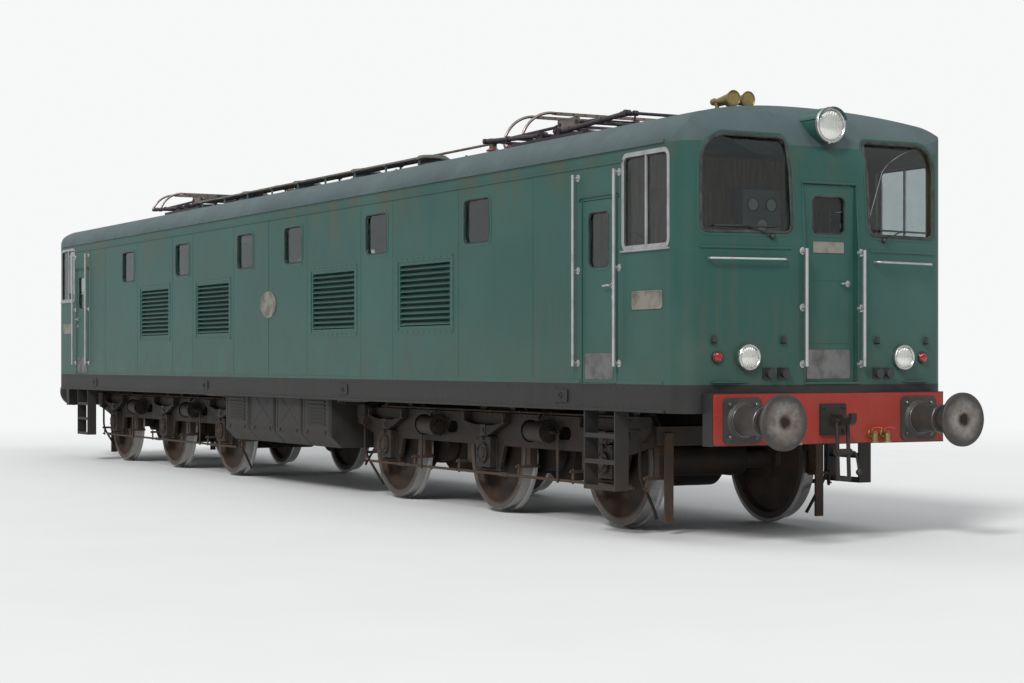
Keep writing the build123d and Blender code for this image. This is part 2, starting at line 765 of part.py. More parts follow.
def buffer(sign):
    """A round buffer: square foot, tapered housing, plunger and dished head."""
    foot = Plane.YZ * RectangleRounded(400, 400, 50)
    shape = Pos(BEAM_FACE, sign * BUFFER_Y, BUFFER_Z) * extrude(foot, 25)
    return shape + round_x(BUFFER_OUTLINE, BEAM_FACE, sign * BUFFER_Y, BUFFER_Z)


# Draw hook outline: place from the beam and height above the hook's centre
HOOK_OUTLINE = [
    (0, -45), (250, -48), (300, -30), (320, 10), (312, 60), (280, 62),
    (272, 24), (240, 8), (205, 18), (185, 45), (0, 45),
]


def draw_gear():
    """Draw hook with its screw coupling hanging down, built at the middle and moved to the beam."""
    x = LINK_X
    z = HOOK_Z - 10
    hook = slab_y([(along, HOOK_Z + up) for along, up in HOOK_OUTLINE], -HOOK_HALF, HOOK_HALF)
    hook += block(0, 25, -140, 140, HOOK_Z - 140, HOOK_Z + 140)
    hook += rod_y(-LINK_Y - LINK_RADIUS, LINK_Y + LINK_RADIUS, x, z, 22)
    for sign in (-1, 1):
        y = sign * LINK_Y
        hook += tube_between((x, y, z), (x + 10, y, z - 260), LINK_RADIUS)
        hook += tube_between((x + 10, y, z - 290), (x + 20, y, z - 510), LINK_RADIUS)
    hook += rod_y(-85, 85, x + 10, z - 275, 30)
    hook += rod_y(-78, 78, x + 20, z - 510, LINK_RADIUS)
    return Pos(BEAM_FACE, 0, 0) * hook


def pipe_cocks():
    """Angle cocks of the two train pipes on each beam."""
    cocks = []
    for y in (-420, -560, 420, 560):
        cock = rod_x(BEAM_FACE, BEAM_FACE + 90, y, COCK_Z, 24)
        cocks.append(cock + rod_z(COCK_Z - 80, COCK_Z, BEAM_FACE + 80, y, 26))
    return cocks


def front_handrails():
    """Handrails beside the end door and beside the cab doors."""
    rails = []
    for sign in (-1, 1):
        y = sign * FRONT_RAIL_Y
        face = BODY_HALF_LENGTH
        rail = rod_z(RAIL_BOTTOM, FRONT_RAIL_TOP, face + RAIL_OUT, y, RAIL_RADIUS)
        for share in (0.02, 0.5, 0.98):
            z = RAIL_BOTTOM + share * (FRONT_RAIL_TOP - RAIL_BOTTOM)
            rail += rod_x(face - RAIL_FOOT, face + RAIL_OUT, y, z, RAIL_FOOT)
        rails.append(rail - OUTER)
        side = sign * BODY_HALF_WIDTH
        for x in (DOOR_X0 - 70, DOOR_X1 + 60):
            rail = rod_z(RAIL_BOTTOM, SIDE_RAIL_TOP, x, side + sign * RAIL_OUT, RAIL_RADIUS)
            for share in (0.015, 0.5, 0.985):
                z = RAIL_BOTTOM + share * (SIDE_RAIL_TOP - RAIL_BOTTOM)
                rail += rod_y(side, side + sign * RAIL_OUT, x, z, RAIL_FOOT)
            rails.append(rail)
    return rails


def cab_steps(sign):
    """Ladder below a cab door."""
    y0 = sign * (BODY_HALF_WIDTH - STEP_OUT - STEP_DEPTH)
    y1 = sign * (BODY_HALF_WIDTH - STEP_OUT)
    x0 = DOOR_X0 + STEP_SIDE
    x1 = DOOR_X1 - STEP_SIDE
    shape = block(x0, x0 + STEP_SIDE, y0, y1, STEP_BOTTOM, SKIRT_BOTTOM)
    shape += block(x1 - STEP_SIDE, x1, y0, y1, STEP_BOTTOM, SKIRT_BOTTOM)
    for index in range(3):
        z = STEP_BOTTOM + STEP_RISE * index
        shape += block(x0, x1, y0, y1, z, z + STEP_PLATE)
    return shape


def roof_ventilators():
    """Round ventilators on the crown of the middle roof."""
    shapes = []
    for step in (-1.5, -0.5, 0.5, 1.5):
        for y in (-VENT_Y, VENT_Y):
            x = VENT_PITCH * step
            neck = rod_z(ROOF_Z - 120, ROOF_Z + 40, x, y, VENT_RADIUS)
            cap = Pos(x, y, ROOF_Z + 65) * Cone(VENT_CAP, VENT_CAP - 70, 50)
            shapes.append(neck + cap - OUTER)
    return shapes


def insulator(x, y, foot, top):
    """A post insulator with three sheds."""
    shape = rod_z(foot, top, x, y, 38)
    for share in (0.25, 0.5, 0.75):
        shape += Pos(x, y, foot + (top - foot) * share) * Cone(72, 44, 24)
    return shape


def roof_conductor():
    """Bare conductor along the roof on post insulators."""
    shapes = rod_x(-CONDUCTOR_HALF, CONDUCTOR_HALF, CONDUCTOR_Y, CONDUCTOR_Z, CONDUCTOR_RADIUS)
    for step in (-2, -1, 0, 1, 2):
        post = insulator(step * POST_PITCH, CONDUCTOR_Y, ROOF_Z - 60, CONDUCTOR_Z - CONDUCTOR_RADIUS)
        shapes += post - OUTER
    return shapes


def horns():
    """Two air horns on the front cab roof."""
    x = BODY_HALF_LENGTH - DOME_BACK + 60
    shapes = []
    for y in HORN_Y:
        horn = Pos(x + HORN_LENGTH / 2, y, HORN_Z) * Rot(0, 90, 0) * Cone(18, 60, HORN_LENGTH)
        shapes.append(horn + rod_z(SHOULDER_Z, HORN_Z, x + 40, y, 20) - OUTER)
    return shapes


def frame_plate_outline():
    """Outline of a bogie's side plate, with a pedestal round every axlebox."""
    tip = FRAME_END - FRAME_TIP_SLANT
    points = [(-FRAME_END, FRAME_TIP_Z), (-tip, FRAME_TOP), (tip, FRAME_TOP), (FRAME_END, FRAME_TIP_Z)]
    for axle in reversed(AXLES):
        spread = LEG_HALF + LEG_SPREAD
        points += [(axle + spread, FRAME_WAIST), (axle + LEG_HALF, LEG_FOOT)]
        points += [(axle - LEG_HALF, LEG_FOOT), (axle - spread, FRAME_WAIST)]
    return points


def frame_plate(sign):
    """One side plate with its openings, spring brackets, sand boxes and brake cylinders."""
    plate = slab_y(frame_plate_outline(), sign * FRAME_Y, sign * FRAME_OUTSIDE)
    out = sign * (FRAME_OUTSIDE + SPRING_WIDTH)
    middle = (FRAME_WAIST + FRAME_TOP) / 2
    for axle in AXLES:
        gap = (axle - AXLEBOX_HALF, axle + AXLEBOX_HALF)
        plate -= block(*gap, sign * FRAME_Y, sign * FRAME_OUTSIDE, LEG_FOOT - 1, AXLE_Z + AXLEBOX_UP)
        for x in (axle - HANGER_X, axle + HANGER_X):
            bracket = (x - BRACKET_HALF, x + BRACKET_HALF)
            plate += block(*bracket, sign * FRAME_OUTSIDE, out, HANGER_TOP, FRAME_TOP)
    for x in (-TRANSOM_X, TRANSOM_X):
        for side in (-1, 1):
            slot = extrude(Plane.XZ * SlotOverall(SLOT_LENGTH, SLOT_HEIGHT), 2 * CUT_DEPTH)
            plate -= Pos(x + side * SLOT_FROM_TRANSOM, sign * FRAME_Y + CUT_DEPTH, middle) * slot
        y = sign * (FRAME_OUTSIDE + BRAKE_CYLINDER - 10)
        for half, radius in ((BRAKE_CYLINDER_HALF, BRAKE_CYLINDER), (BRAKE_CYLINDER_HALF + 35, 45)):
            plate += rod_x(x - half, x + half, y, BRAKE_CYLINDER_Z, radius)
        plate += block(x - 60, x + 60, sign * FRAME_OUTSIDE, y, BRAKE_CYLINDER_Z - 60, BRAKE_CYLINDER_Z + 60)
    shoulder = (SANDBOX_TOP + SANDBOX_BOTTOM) / 2
    for end in (-1, 1):
        x = end * (FRAME_END - SANDBOX_BACK)
        hopper = [
            (x - SANDBOX_HALF, SANDBOX_TOP), (x + SANDBOX_HALF, SANDBOX_TOP), (x + SANDBOX_HALF, shoulder),
            (x + 40, SANDBOX_BOTTOM), (x - 40, SANDBOX_BOTTOM), (x - SANDBOX_HALF, shoulder),
        ]
        plate += slab_y(hopper, sign * FRAME_OUTSIDE, sign * (FRAME_OUTSIDE + SANDBOX_OUT))
    return plate


def bogie_frame():
    """Three-axle bogie frame: two side plates, transoms, end beams and the pivot casting."""
    shapes = [frame_plate(1), frame_plate(-1)]
    half = SPINE_HALF
    for sign in (-1, 1):
        x = sign * TRANSOM_X
        shapes.append(block(x - TRANSOM_HALF, x + TRANSOM_HALF, -FRAME_Y, FRAME_Y, TRANSOM_BOTTOM, FRAME_TOP))
        end = sign * FRAME_END
        shapes.append(block(end - sign * END_BEAM, end, -FRAME_Y, FRAME_Y, FRAME_TIP_Z, END_BEAM_TOP))
    shapes.append(block(-TRANSOM_X, TRANSOM_X, -half, half, SPINE_BOTTOM, FRAME_TOP))
    shapes.append(block(-half, half, -half, half, PIVOT_SEAT_BOTTOM, PIVOT_SEAT_TOP))
    return joined(shapes) - rod_z(PIVOT_SEAT_BOTTOM - 1, PIVOT_SEAT_TOP + 1, 0, 0, PIVOT_RADIUS + RUNNING_FIT)


def leaf_stack():
    """Outline of a leaf spring: leaves that grow longer upwards, all bent along one arch."""
    low = AXLE_Z + AXLEBOX_UP + SPRING_SEAT
    step = (LEAF_LONGEST - LEAF_SHORTEST) / (LEAVES - 1)
    right = []
    for index in range(LEAVES):
        x = LEAF_SHORTEST + step * index
        z = low + LEAF * index + LEAF_RISE * (x / LEAF_LONGEST) ** 2
        right += [(x, z), (x, z + LEAF)]
    top = low + LEAF * LEAVES
    right += [(LEAF_LONGEST * share, top + LEAF_RISE * share**2) for share in (0.7, 0.4)]
    return right + [(-x, z) for x, z in reversed(right)]


def axlebox_and_spring(x, sign):
    """An axlebox in its horn gap, with the leaf spring that it carries outside the frame."""
    inner = sign * (FRAME_Y - AXLEBOX_IN)
    top = AXLE_Z + AXLEBOX_UP
    face = sign * (BOX_FACE - COVER_PROUD)
    box = block(x - AXLEBOX_HALF, x + AXLEBOX_HALF, inner, face, AXLE_Z - AXLEBOX_DOWN, top)
    box += rod_y(inner, sign * BOX_FACE, x, AXLE_Z, AXLEBOX_COVER)
    box -= rod_y(inner - sign, sign * (JOURNAL_END + 1), x, AXLE_Z, JOURNAL_RADIUS + RUNNING_FIT)
    y0 = sign * FRAME_OUTSIDE
    y1 = sign * (FRAME_OUTSIDE + SPRING_WIDTH)
    leaves = [(x + along, z) for along, z in leaf_stack()]
    buckle_top = top + SPRING_SEAT + LEAF * LEAVES + SPRING_SEAT
    box += slab_y(leaves, y0, y1)
    box += block(x - BUCKLE_HALF, x + BUCKLE_HALF, y0, y1, top, buckle_top)
    for side in (-1, 1):
        hanger = x + side * HANGER_X
        box += block(hanger - HANGER_HALF, hanger + HANGER_HALF, y0, y1, HANGER_TOP - 60, HANGER_TOP)
    return box


# Traction motors: axle they drive, direction of the motor from it, both along X
MOTORS = [(-AXLE_SPACING, 1), (0, 1), (AXLE_SPACING, -1)]


def traction_motor(axle, side):
    """An axle-hung motor: round case, axle sleeve, gear case and nose on the transom."""
    x = axle + side * MOTOR_FROM_AXLE
    z = AXLE_Z + MOTOR_LIFT
    neck = axle + side * 200
    shape = rod_y(-MOTOR_HALF, MOTOR_HALF, x, z, MOTOR_RADIUS)
    shape += block(neck, x, -430, 430, AXLE_Z - 150, AXLE_Z + 150)
    shape += rod_y(-SLEEVE_HALF, SLEEVE_HALF, axle, AXLE_Z, SLEEVE_RADIUS)
    shape += block(axle, neck, -SLEEVE_HALF, SLEEVE_HALF, AXLE_Z - 120, AXLE_Z + 120)
    gears = rod_y(-GEAR_CASE_OUT, -GEAR_CASE_IN, axle, AXLE_Z, GEAR_CASE_RADIUS)
    gears += rod_y(-GEAR_CASE_OUT, -GEAR_CASE_IN, x, z, 200)
    gears += block(axle, x, -GEAR_CASE_OUT, -GEAR_CASE_IN, AXLE_Z - 200, AXLE_Z + 220)
    shape += gears + rod_y(-GEAR_CASE_IN, -MOTOR_HALF, x, z, SLEEVE_RADIUS)
    reach = min(abs(x - TRANSOM_X), abs(x + TRANSOM_X)) - TRANSOM_HALF
    shape += block(x, x + side * reach, -180, 180, AXLE_Z + 150, AXLE_Z + 290)
    return shape - rod_y(-GEAR_CASE_OUT - 1, MOTOR_HALF + 1, axle, AXLE_Z, AXLE_RADIUS + SLEEVE_CLEARANCE)


def brake_shoe(axle, side, sign):
    """One brake block against its wheel, with its hanger and pin."""
    y0 = WHEEL_BACK + 50
    y1 = WHEEL_FACE - 5
    near = WHEEL_RADIUS - 50
    far = WHEEL_RADIUS + BLOCK_CLEARANCE + BLOCK_DEPTH
    shape = block(axle + side * near, axle + side * far, sign * y0, sign * y1, AXLE_Z - 130, AXLE_Z + 170)
    shape -= rod_y(sign * (y0 - 1), sign * (y1 + 1), axle, AXLE_Z, WHEEL_RADIUS + BLOCK_CLEARANCE)
    x = axle + side * (far - 28)
    shape += block(x - 12, x + 12, sign * (y0 + 20), sign * (y1 - 20), AXLE_Z, HANGER_PIN_Z + 20)
    return shape + rod_y(sign * (y1 - 30), sign * FRAME_Y, x, HANGER_PIN_Z, 18)


def rail_guard(sign):
    """Guard iron ahead of an outer wheel."""
    y = sign * (WHEEL_BACK + TYRE_WIDTH / 2)
    return block(FRAME_END, FRAME_END + GUARD_THICK, y - GUARD_HALF, y + GUARD_HALF, GUARD_BOTTOM, GUARD_TOP)


def brake_gear():
    """Brake blocks on both sides of every wheel, and the two rail guards."""
    shoes = [brake_shoe(axle, side, sign) for axle in AXLES for side in (-1, 1) for sign in (-1, 1)]
    return gathered(shoes + [rail_guard(1), rail_guard(-1)])


# Half outline of a wheelset from its middle: place along the axle and radius there
WHEELSET_OUTLINE = [
    (0, AXLE_RADIUS),
    (WHEEL_BACK - HUB_PROUD, AXLE_RADIUS),
    (WHEEL_BACK - HUB_PROUD, HUB_RADIUS),
    (WEB_Y - WEB_DISH - WEB_HALF, HUB_RADIUS + WEB_ROUND),
    (WEB_Y + WEB_DISH - WEB_HALF, RIM_RADIUS - WEB_ROUND),
    (WHEEL_BACK, RIM_RADIUS),
    (WHEEL_BACK, WHEEL_RADIUS + FLANGE_DEPTH),
    (WHEEL_BACK + FLANGE_WIDTH - FLANGE_ROUND, WHEEL_RADIUS + FLANGE_DEPTH - FLANGE_ROUND),
    (WHEEL_BACK + FLANGE_WIDTH + FLANGE_ROUND, WHEEL_RADIUS),
    (WHEEL_FACE, WHEEL_RADIUS - TREAD_TAPER),
    (WHEEL_FACE, RIM_RADIUS),
    (WEB_Y + WEB_DISH + WEB_HALF, RIM_RADIUS - WEB_ROUND),
    (WEB_Y - WEB_DISH + WEB_HALF, HUB_RADIUS + WEB_ROUND),
    (WHEEL_FACE + HUB_PROUD, HUB_RADIUS - WEB_ROUND),
    (WHEEL_FACE + HUB_PROUD, JOURNAL_RADIUS),
    (JOURNAL_END, JOURNAL_RADIUS),
]


def wheelset():
    """An axle with its two wheels, turned as one outline about the axle."""
    right = [(radius, y) for y, radius in reversed(WHEELSET_OUTLINE)]
    left = [(radius, -y) for y, radius in WHEELSET_OUTLINE[1:]]
    points = [(0, JOURNAL_END)] + right + left + [(0, -JOURNAL_END)]
    face = make_face(Polyline(*points, close=True))
    return Pos(0, 0, AXLE_Z) * revolve(face, Axis.Y)


def equipment_boxes(sign):
    """Battery and equipment boxes under the floor on one side, with bevelled lower edges."""
    section = [
        (sign * BOX_IN, FLOOR_BOTTOM), (sign * BOX_OUT, FLOOR_BOTTOM),
        (sign * BOX_OUT, BOX_BOTTOM + BOX_BEVEL),
        (sign * (BOX_OUT - BOX_BEVEL), BOX_BOTTOM), (sign * BOX_IN, BOX_BOTTOM),
    ]
    boxes = slab_x(section, -BOXES_HALF_LENGTH, BOXES_HALF_LENGTH)
    for step in (-1, 0, 1):
        x = step * BOXES_HALF_LENGTH / 2
        x0 = x - BOX_SEAM / 2
        x1 = x + BOX_SEAM / 2
        boxes -= block(x0, x1, sign * (BOX_IN - 1), sign * (BOX_OUT + 1), BOX_BOTTOM - 1, BOX_SEAM_TOP)
    return boxes


def air_reservoir(sign):
    """A long air reservoir with domed ends, hung below a centre sill."""
    y = sign * TANK_Y
    tank = rod_x(-TANK_HALF, TANK_HALF, y, TANK_Z, TANK_RADIUS)
    tank = fillet(tank.edges().filter_by(GeomType.CIRCLE), TANK_END)
    for x in (-TANK_HALF * 2 / 3, TANK_HALF * 2 / 3):
        tank += block(x - 30, x + 30, y - 60, y + 60, TANK_Z + TANK_RADIUS - 30, SILL_BOTTOM)
    return tank


def machine_block():
    """The machines and resistances behind the cabs, as one block."""
    end = CAB_BACK - MACHINE_TO_CAB
    half = BODY_HALF_WIDTH - MACHINE_AISLE
    return block(-end, end, -half, half, FLOOR_TOP, WAIST_Z + MACHINE_OVER_WAIST)


def panto_base():
    """Pantograph base frame with four insulators and the shafts' bearings."""
    low = BASE_TOP - BASE_DEPTH
    shapes = []
    for sign in (-1, 1):
        y = sign * BASE_Y
        shapes.append(block(-BASE_HALF_LENGTH, BASE_HALF_LENGTH, y - BASE_RAIL, y + BASE_RAIL, low, BASE_TOP))
        x = sign * (BASE_HALF_LENGTH - 40)
        shapes.append(block(x - 40, x + 40, -BASE_Y, BASE_Y, low, BASE_TOP))
        shaft = sign * PIVOT_X
        bearing = (shaft - BEARING_HALF, shaft + BEARING_HALF)
        shapes.append(block(*bearing, -BASE_Y, BASE_Y, low, BASE_TOP - 15))
        for side in (-1, 1):
            y = side * BASE_Y
            shapes.append(block(*bearing, y - BEARING_WALL, y + BEARING_WALL, BASE_TOP, ARM_Z + BEARING_UP))
            shapes.append(insulator(x, side * LOWER_Y, DECK_Z, low))
    base = joined(shapes)
    for sign in (-1, 1):
        base -= rod_y(-BASE_Y - BASE_RAIL, BASE_Y + BASE_RAIL, sign * PIVOT_X, ARM_Z, SHAFT + RUNNING_FIT)
    return base


def lower_frame():
    """Lower pantograph frame on the +X side: shaft, two arms and elbow lugs, folded."""
    half = ELBOW_BOSS_HALF
    shape = rod_y(-BASE_Y - BEARING_WALL, BASE_Y + BEARING_WALL, PIVOT_X, ARM_Z, SHAFT)
    for side in (-1, 1):
        y = side * LOWER_Y
        shape += tube_between((PIVOT_X, y, ARM_Z), (ELBOW_X, y, ELBOW_Z), LOWER_TUBE)
        shape += rod_y(y - half, y + half, PIVOT_X, ARM_Z, LOWER_BOSS)
        shape += rod_y(y - half, y + half, ELBOW_X, ELBOW_Z, ELBOW_BOSS)
    for side in (-1, 1):
        y = side * LOWER_Y
        shape -= rod_y(y - 2 * half, y + 2 * half, ELBOW_X, ELBOW_Z, SHAFT + RUNNING_FIT)
    return shape


def upper_frame():
    """Upper pantograph frame on the +X side: elbow shaft, converging tubes, a brace and apex bosses."""
    end = LOWER_Y + ELBOW_BOSS_HALF
    shape = rod_y(-end, end, ELBOW_X, ELBOW_Z, SHAFT)
    for side in (-1, 1):
        y = side * ELBOW_Y
        shape += tube_between((ELBOW_X, y, ELBOW_Z), (PIVOT_X, side * APEX_Y, APEX_Z), UPPER_TUBE)
        shape += rod_y(y - 24, y + 24, ELBOW_X, ELBOW_Z, ELBOW_BOSS - 2)
    shape += tube_between((ELBOW_X, -ELBOW_Y, ELBOW_Z), (PIVOT_X, APEX_Y, APEX_Z), BRACE_TUBE)
    return shape + rod_y(-APEX_Y - 55, APEX_Y + 55, PIVOT_X, APEX_Z, SHAFT)


def collector_head():
    """Collector head: two strips with drooping horns on an apex carrier."""
    shapes = []
    for side in (-1, 1):
        y = side * (APEX_Y + 40)
        plate = block(-PIVOT_X - 40, PIVOT_X + 40, y - 8, y + 8, APEX_Z - 34, STRIP_TOP - STRIP_DEPTH + 5)
        plate -= rod_y(y - 20, y + 20, PIVOT_X, APEX_Z, SHAFT + RUNNING_FIT)
        shapes.append(plate - rod_y(y - 20, y + 20, -PIVOT_X, APEX_Z, SHAFT + 2))
    for x in (-STRIP_X, STRIP_X):
        strip = (x - STRIP_WIDTH, x + STRIP_WIDTH)
        shapes.append(block(*strip, -STRIP_HALF, STRIP_HALF, STRIP_TOP - STRIP_DEPTH, STRIP_TOP))
        for side in (-1, 1):
            path = ThreePointArc(
                (x, side * (STRIP_HALF - 20), STRIP_TOP - 16),
                (x, side * (STRIP_HALF + 230), STRIP_TOP - 62),
                (x, side * HEAD_HALF_WIDTH, STRIP_TOP - 240),
            )
            shapes.append(sweep(Plane(origin=path @ 0, z_dir=path % 0) * Circle(15), path))
    return joined(shapes)


def write(name, shape):
    """Write one node's STEP file, its solids where they stand."""
    solids = shape.solids()
    node = solids[0] if len(solids) == 1 else Compound(solids)
    node.label = name
    export_step(node, f"parts/{name}.step")


def body_nodes():
    """Nodes of the body's shell, floor and doors, by name."""
    shell = cab_shell()
    roof = cab_roof()
    return {
        "underframe": underframe(),
        "solebar_left": solebar(1),
        "solebar_right": solebar(-1),
        "cab_shell_front": shell,
        "cab_shell_rear": turned(shell),
        "cab_roof_front": roof,
        "cab_roof_rear": turned(roof),
        "main_roof": main_roof(),
        "side_wall_left": side_wall(1),
        "side_wall_right": side_wall(-1),
        "louvre_grilles": gathered([grille(x, sign) for x in GRILLES for sign in (-1, 1)]),
        "fixed_glass": fixed_glass(),
        "cab_door_front_left": cab_door(1),
        "cab_door_front_right": cab_door(-1),
        "cab_door_rear_left": turned(cab_door(-1)),
        "cab_door_rear_right": turned(cab_door(1)),
        "end_door_front": end_door(),
        "end_door_rear": turned(end_door()),
    }


def at_both_ends(shapes):
    """A list of front pieces and their copies at the rear, as one node."""
    return gathered([copy for shape in shapes for copy in both_ends(shape)])


def fitting_nodes():
    """Nodes of what the body carries inside, outside, above and below, by name."""
    return {
        "cab_bulkheads": at_both_ends([bulkhead()]),
        "driver_desks": at_both_ends([driver_desk()]),
        "driver_seats": at_both_ends([seat(-SEAT_Y), seat(SEAT_Y)]),
        "machine_block": machine_block(),
        "buffers": at_both_ends([buffer(-1), buffer(1)]),
        "draw_gear": at_both_ends([draw_gear()]),
        "pipe_cocks": at_both_ends(pipe_cocks()),
        "lamps": at_both_ends(lower_lamps() + [head_lamp()]),
        "handrails": at_both_ends(front_handrails()),
        "cab_steps": at_both_ends([cab_steps(-1), cab_steps(1)]),
        "roof_ventilators": gathered(roof_ventilators()),
        "roof_conductor": roof_conductor(),
        "horns": at_both_ends(horns()),
        "equipment_boxes": gathered([equipment_boxes(-1), equipment_boxes(1)]),
        "air_reservoirs": gathered([air_reservoir(-1), air_reservoir(1)]),
    }


def bogie_nodes():
    """Nodes of both bogies and all wheelsets, by name."""
    pieces = {
        "bogie_frame": bogie_frame(),
        "axleboxes": gathered([axlebox_and_spring(x, sign) for x in AXLES for sign in (-1, 1)]),
        "traction_motors": gathered([traction_motor(axle, side) for axle, side in MOTORS]),
        "brake_gear": brake_gear(),
    }
    nodes = {}
    for end, place in (("front", Pos(BOGIE_X, 0, 0)), ("rear", Pos(-BOGIE_X, 0, 0) * Rot(0, 0, 180))):
        for name, piece in pieces.items():
            nodes[f"{name}_{end}"] = place * piece
    wheels = wheelset()
    places = [bogie + axle for bogie in (BOGIE_X, -BOGIE_X) for axle in reversed(AXLES)]
    for number, x in enumerate(places, start=1):
        nodes[f"wheelset_{number}"] = Pos(x, 0, 0) * wheels
    return nodes


def pantograph_nodes():
    """Nodes of both pantographs, by name."""
    pieces = {
        "base": panto_base(),
        "lower_a": lower_frame(),
        "lower_b": turned(lower_frame()),
        "upper_a": upper_frame(),
        "upper_b": turned(upper_frame()),
        "head": collector_head(),
    }
    nodes = {}
    for end, place in (("front", Pos(PANTO_X, 0, 0)), ("rear", Pos(-PANTO_X, 0, 0) * Rot(0, 0, 180))):
        for name, piece in pieces.items():
            nodes[f"pantograph_{name}_{end}"] = place * piece
    return nodes


def main():
    """Build every node and write it."""
    os.makedirs("parts", exist_ok=True)
    for nodes in (body_nodes(), fitting_nodes(), bogie_nodes(), pantograph_nodes()):
        for name, shape in nodes.items():
            write(name, shape)


main()
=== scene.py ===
"""Looks of an electric locomotive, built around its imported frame.

Metres, +X along the locomotive, +Z up. Each sub-assembly is a class that builds its own meshes.
"""

import logging
import math
from dataclasses import dataclass
from enum import Enum

import bmesh
import bpy
import numpy as np
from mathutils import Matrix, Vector


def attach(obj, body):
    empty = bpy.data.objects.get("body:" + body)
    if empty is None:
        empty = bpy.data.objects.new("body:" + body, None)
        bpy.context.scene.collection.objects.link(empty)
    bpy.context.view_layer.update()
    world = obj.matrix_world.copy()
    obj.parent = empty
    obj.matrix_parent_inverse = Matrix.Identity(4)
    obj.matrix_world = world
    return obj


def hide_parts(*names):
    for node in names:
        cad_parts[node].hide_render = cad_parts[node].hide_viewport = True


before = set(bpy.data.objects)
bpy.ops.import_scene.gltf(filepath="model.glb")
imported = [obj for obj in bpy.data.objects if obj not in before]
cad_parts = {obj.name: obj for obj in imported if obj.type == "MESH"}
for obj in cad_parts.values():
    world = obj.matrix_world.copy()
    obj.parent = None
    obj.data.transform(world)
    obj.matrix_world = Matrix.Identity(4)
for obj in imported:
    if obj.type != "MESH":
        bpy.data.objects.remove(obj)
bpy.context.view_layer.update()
LOG = logging.getLogger("locomotive")

Array = np.ndarray
Colour = tuple[float, float, float]
Point = tuple[float, float, float]
Rows = Array | list[tuple[float, float]]
Material = bpy.types.Material
Object = bpy.types.Object
Socket = bpy.types.NodeSocket

X_AXIS: Point = (1.0, 0.0, 0.0)
Y_AXIS: Point = (0.0, 1.0, 0.0)
Z_AXIS: Point = (0.0, 0.0, 1.0)
SHARP_ANGLE = math.radians(38)
MEETING = 1e-5


class End(Enum):
    """The two ends of the locomotive, with the sign of their X."""

    FRONT = 1
    REAR = -1

    @property
    def word(self) -> str:
        """The end's name as the frame's nodes write it."""
        return self.name.lower()


class Side(Enum):
    """The two sides of the locomotive, with the sign of their Y."""

    LEFT = 1
    RIGHT = -1

    @property
    def word(self) -> str:
        """The side's name as the frame's nodes write it."""
        return self.name.lower()


# Shapes: vertices and quads, worked out as whole arrays


@dataclass(frozen=True)
class Shape:
    """Vertices and quads of one or more surfaces.

    Args:
        points: Corner positions, one row each.
        quads: Corner numbers, four a row. A triangle repeats a corner.
    """

    points: Array
    quads: Array

    def moved(self, offset: Point) -> "Shape":
        """The shape shifted by an offset."""
        return Shape(self.points + np.array(offset), self.quads)

    def turned(self, end: End) -> "Shape":
        """The shape at the front end, or turned half a turn about Z for the rear."""
        return Shape(self.points * np.array([end.value, end.value, 1.0]), self.quads)

    def sided(self, side: Side) -> "Shape":
        """The shape on the left, or reflected to the right with its faces turned back outwards."""
        if side is Side.LEFT:
            return self
        return Shape(self.points * np.array([1.0, -1.0, 1.0]), self.quads[:, ::-1])

    def stood(self) -> "Shape":
        """The shape stood on its edge, its axes turned in order: Z on to X, X on to Y, Y on to Z."""
        return Shape(self.points[:, [2, 0, 1]], self.quads)

    def flipped(self) -> "Shape":
        """The shape reflected along X, with its faces turned back outwards."""
        return Shape(self.points * np.array([-1.0, 1.0, 1.0]), self.quads[:, ::-1])


def together(shapes: list[Shape]) -> Shape:
    """One shape that holds several.

    Args:
        shapes: The shapes to gather.

    Returns:
        Their points stacked, and their quads renumbered to match.
    """
    starts = np.cumsum([0] + [len(s.points) for s in shapes[:-1]])
    quads = [s.quads + start for s, start in zip(shapes, starts)]
    return Shape(np.vstack([s.points for s in shapes]), np.vstack(quads))


def both_sides(shape: Shape) -> Shape:
    """A left-hand shape and its reflection on the right."""
    return together([shape.sided(side) for side in Side])


def four_corners(shape: Shape) -> Shape:
    """A shape reflected to both sides and both ends."""
    return both_sides(together([shape, shape.flipped()]))


def grid(rings: Array, around: bool = True, looped: bool = False) -> Shape:
    """Surface through a grid of points: point (i, j) joins (i + 1, j) and (i, j + 1).

    Args:
        rings: Points as rows of rings, shaped (rows, columns, 3).
        around: Whether each row closes on itself.
        looped: Whether the last row joins the first.

    Returns:
        The surface's shape.
    """
    rows, columns = rings.shape[:2]
    number = np.arange(rows * columns).reshape(rows, columns)
    if around:
        number = np.hstack([number, number[:, :1]])
    if looped:
        number = np.vstack([number, number[:1]])
    quads = np.stack([number[:-1, :-1], number[:-1, 1:], number[1:, 1:], number[1:, :-1]], axis=-1)
    return Shape(rings.reshape(-1, 3), quads.reshape(-1, 4))


def closed(rings: Array) -> Shape:
    """A solid through rings, its first and last ring drawn in to their middles.

    Args:
        rings: Rings shaped (rows, columns, 3).

    Returns:
        The solid's shape.
    """
    low = np.repeat(rings[:1].mean(axis=1, keepdims=True), rings.shape[1], axis=1)
    high = np.repeat(rings[-1:].mean(axis=1, keepdims=True), rings.shape[1], axis=1)
    return grid(np.concatenate([low, rings, high]))


def unit(vectors: Array) -> Array:
    """Vectors divided by their lengths."""
    return vectors / np.maximum(np.linalg.norm(vectors, axis=-1, keepdims=True), 1e-12)


def directions(axis: Point | Array) -> tuple[Array, Array, Array]:
    """Three unit vectors: along an axis, and two square to it and to each other."""
    along = unit(np.array(axis, float))
    other = np.array(Z_AXIS) if abs(along[2]) < 0.9 else np.array(X_AXIS)
    side = unit(np.cross(other, along))
    return along, side, np.cross(along, side)


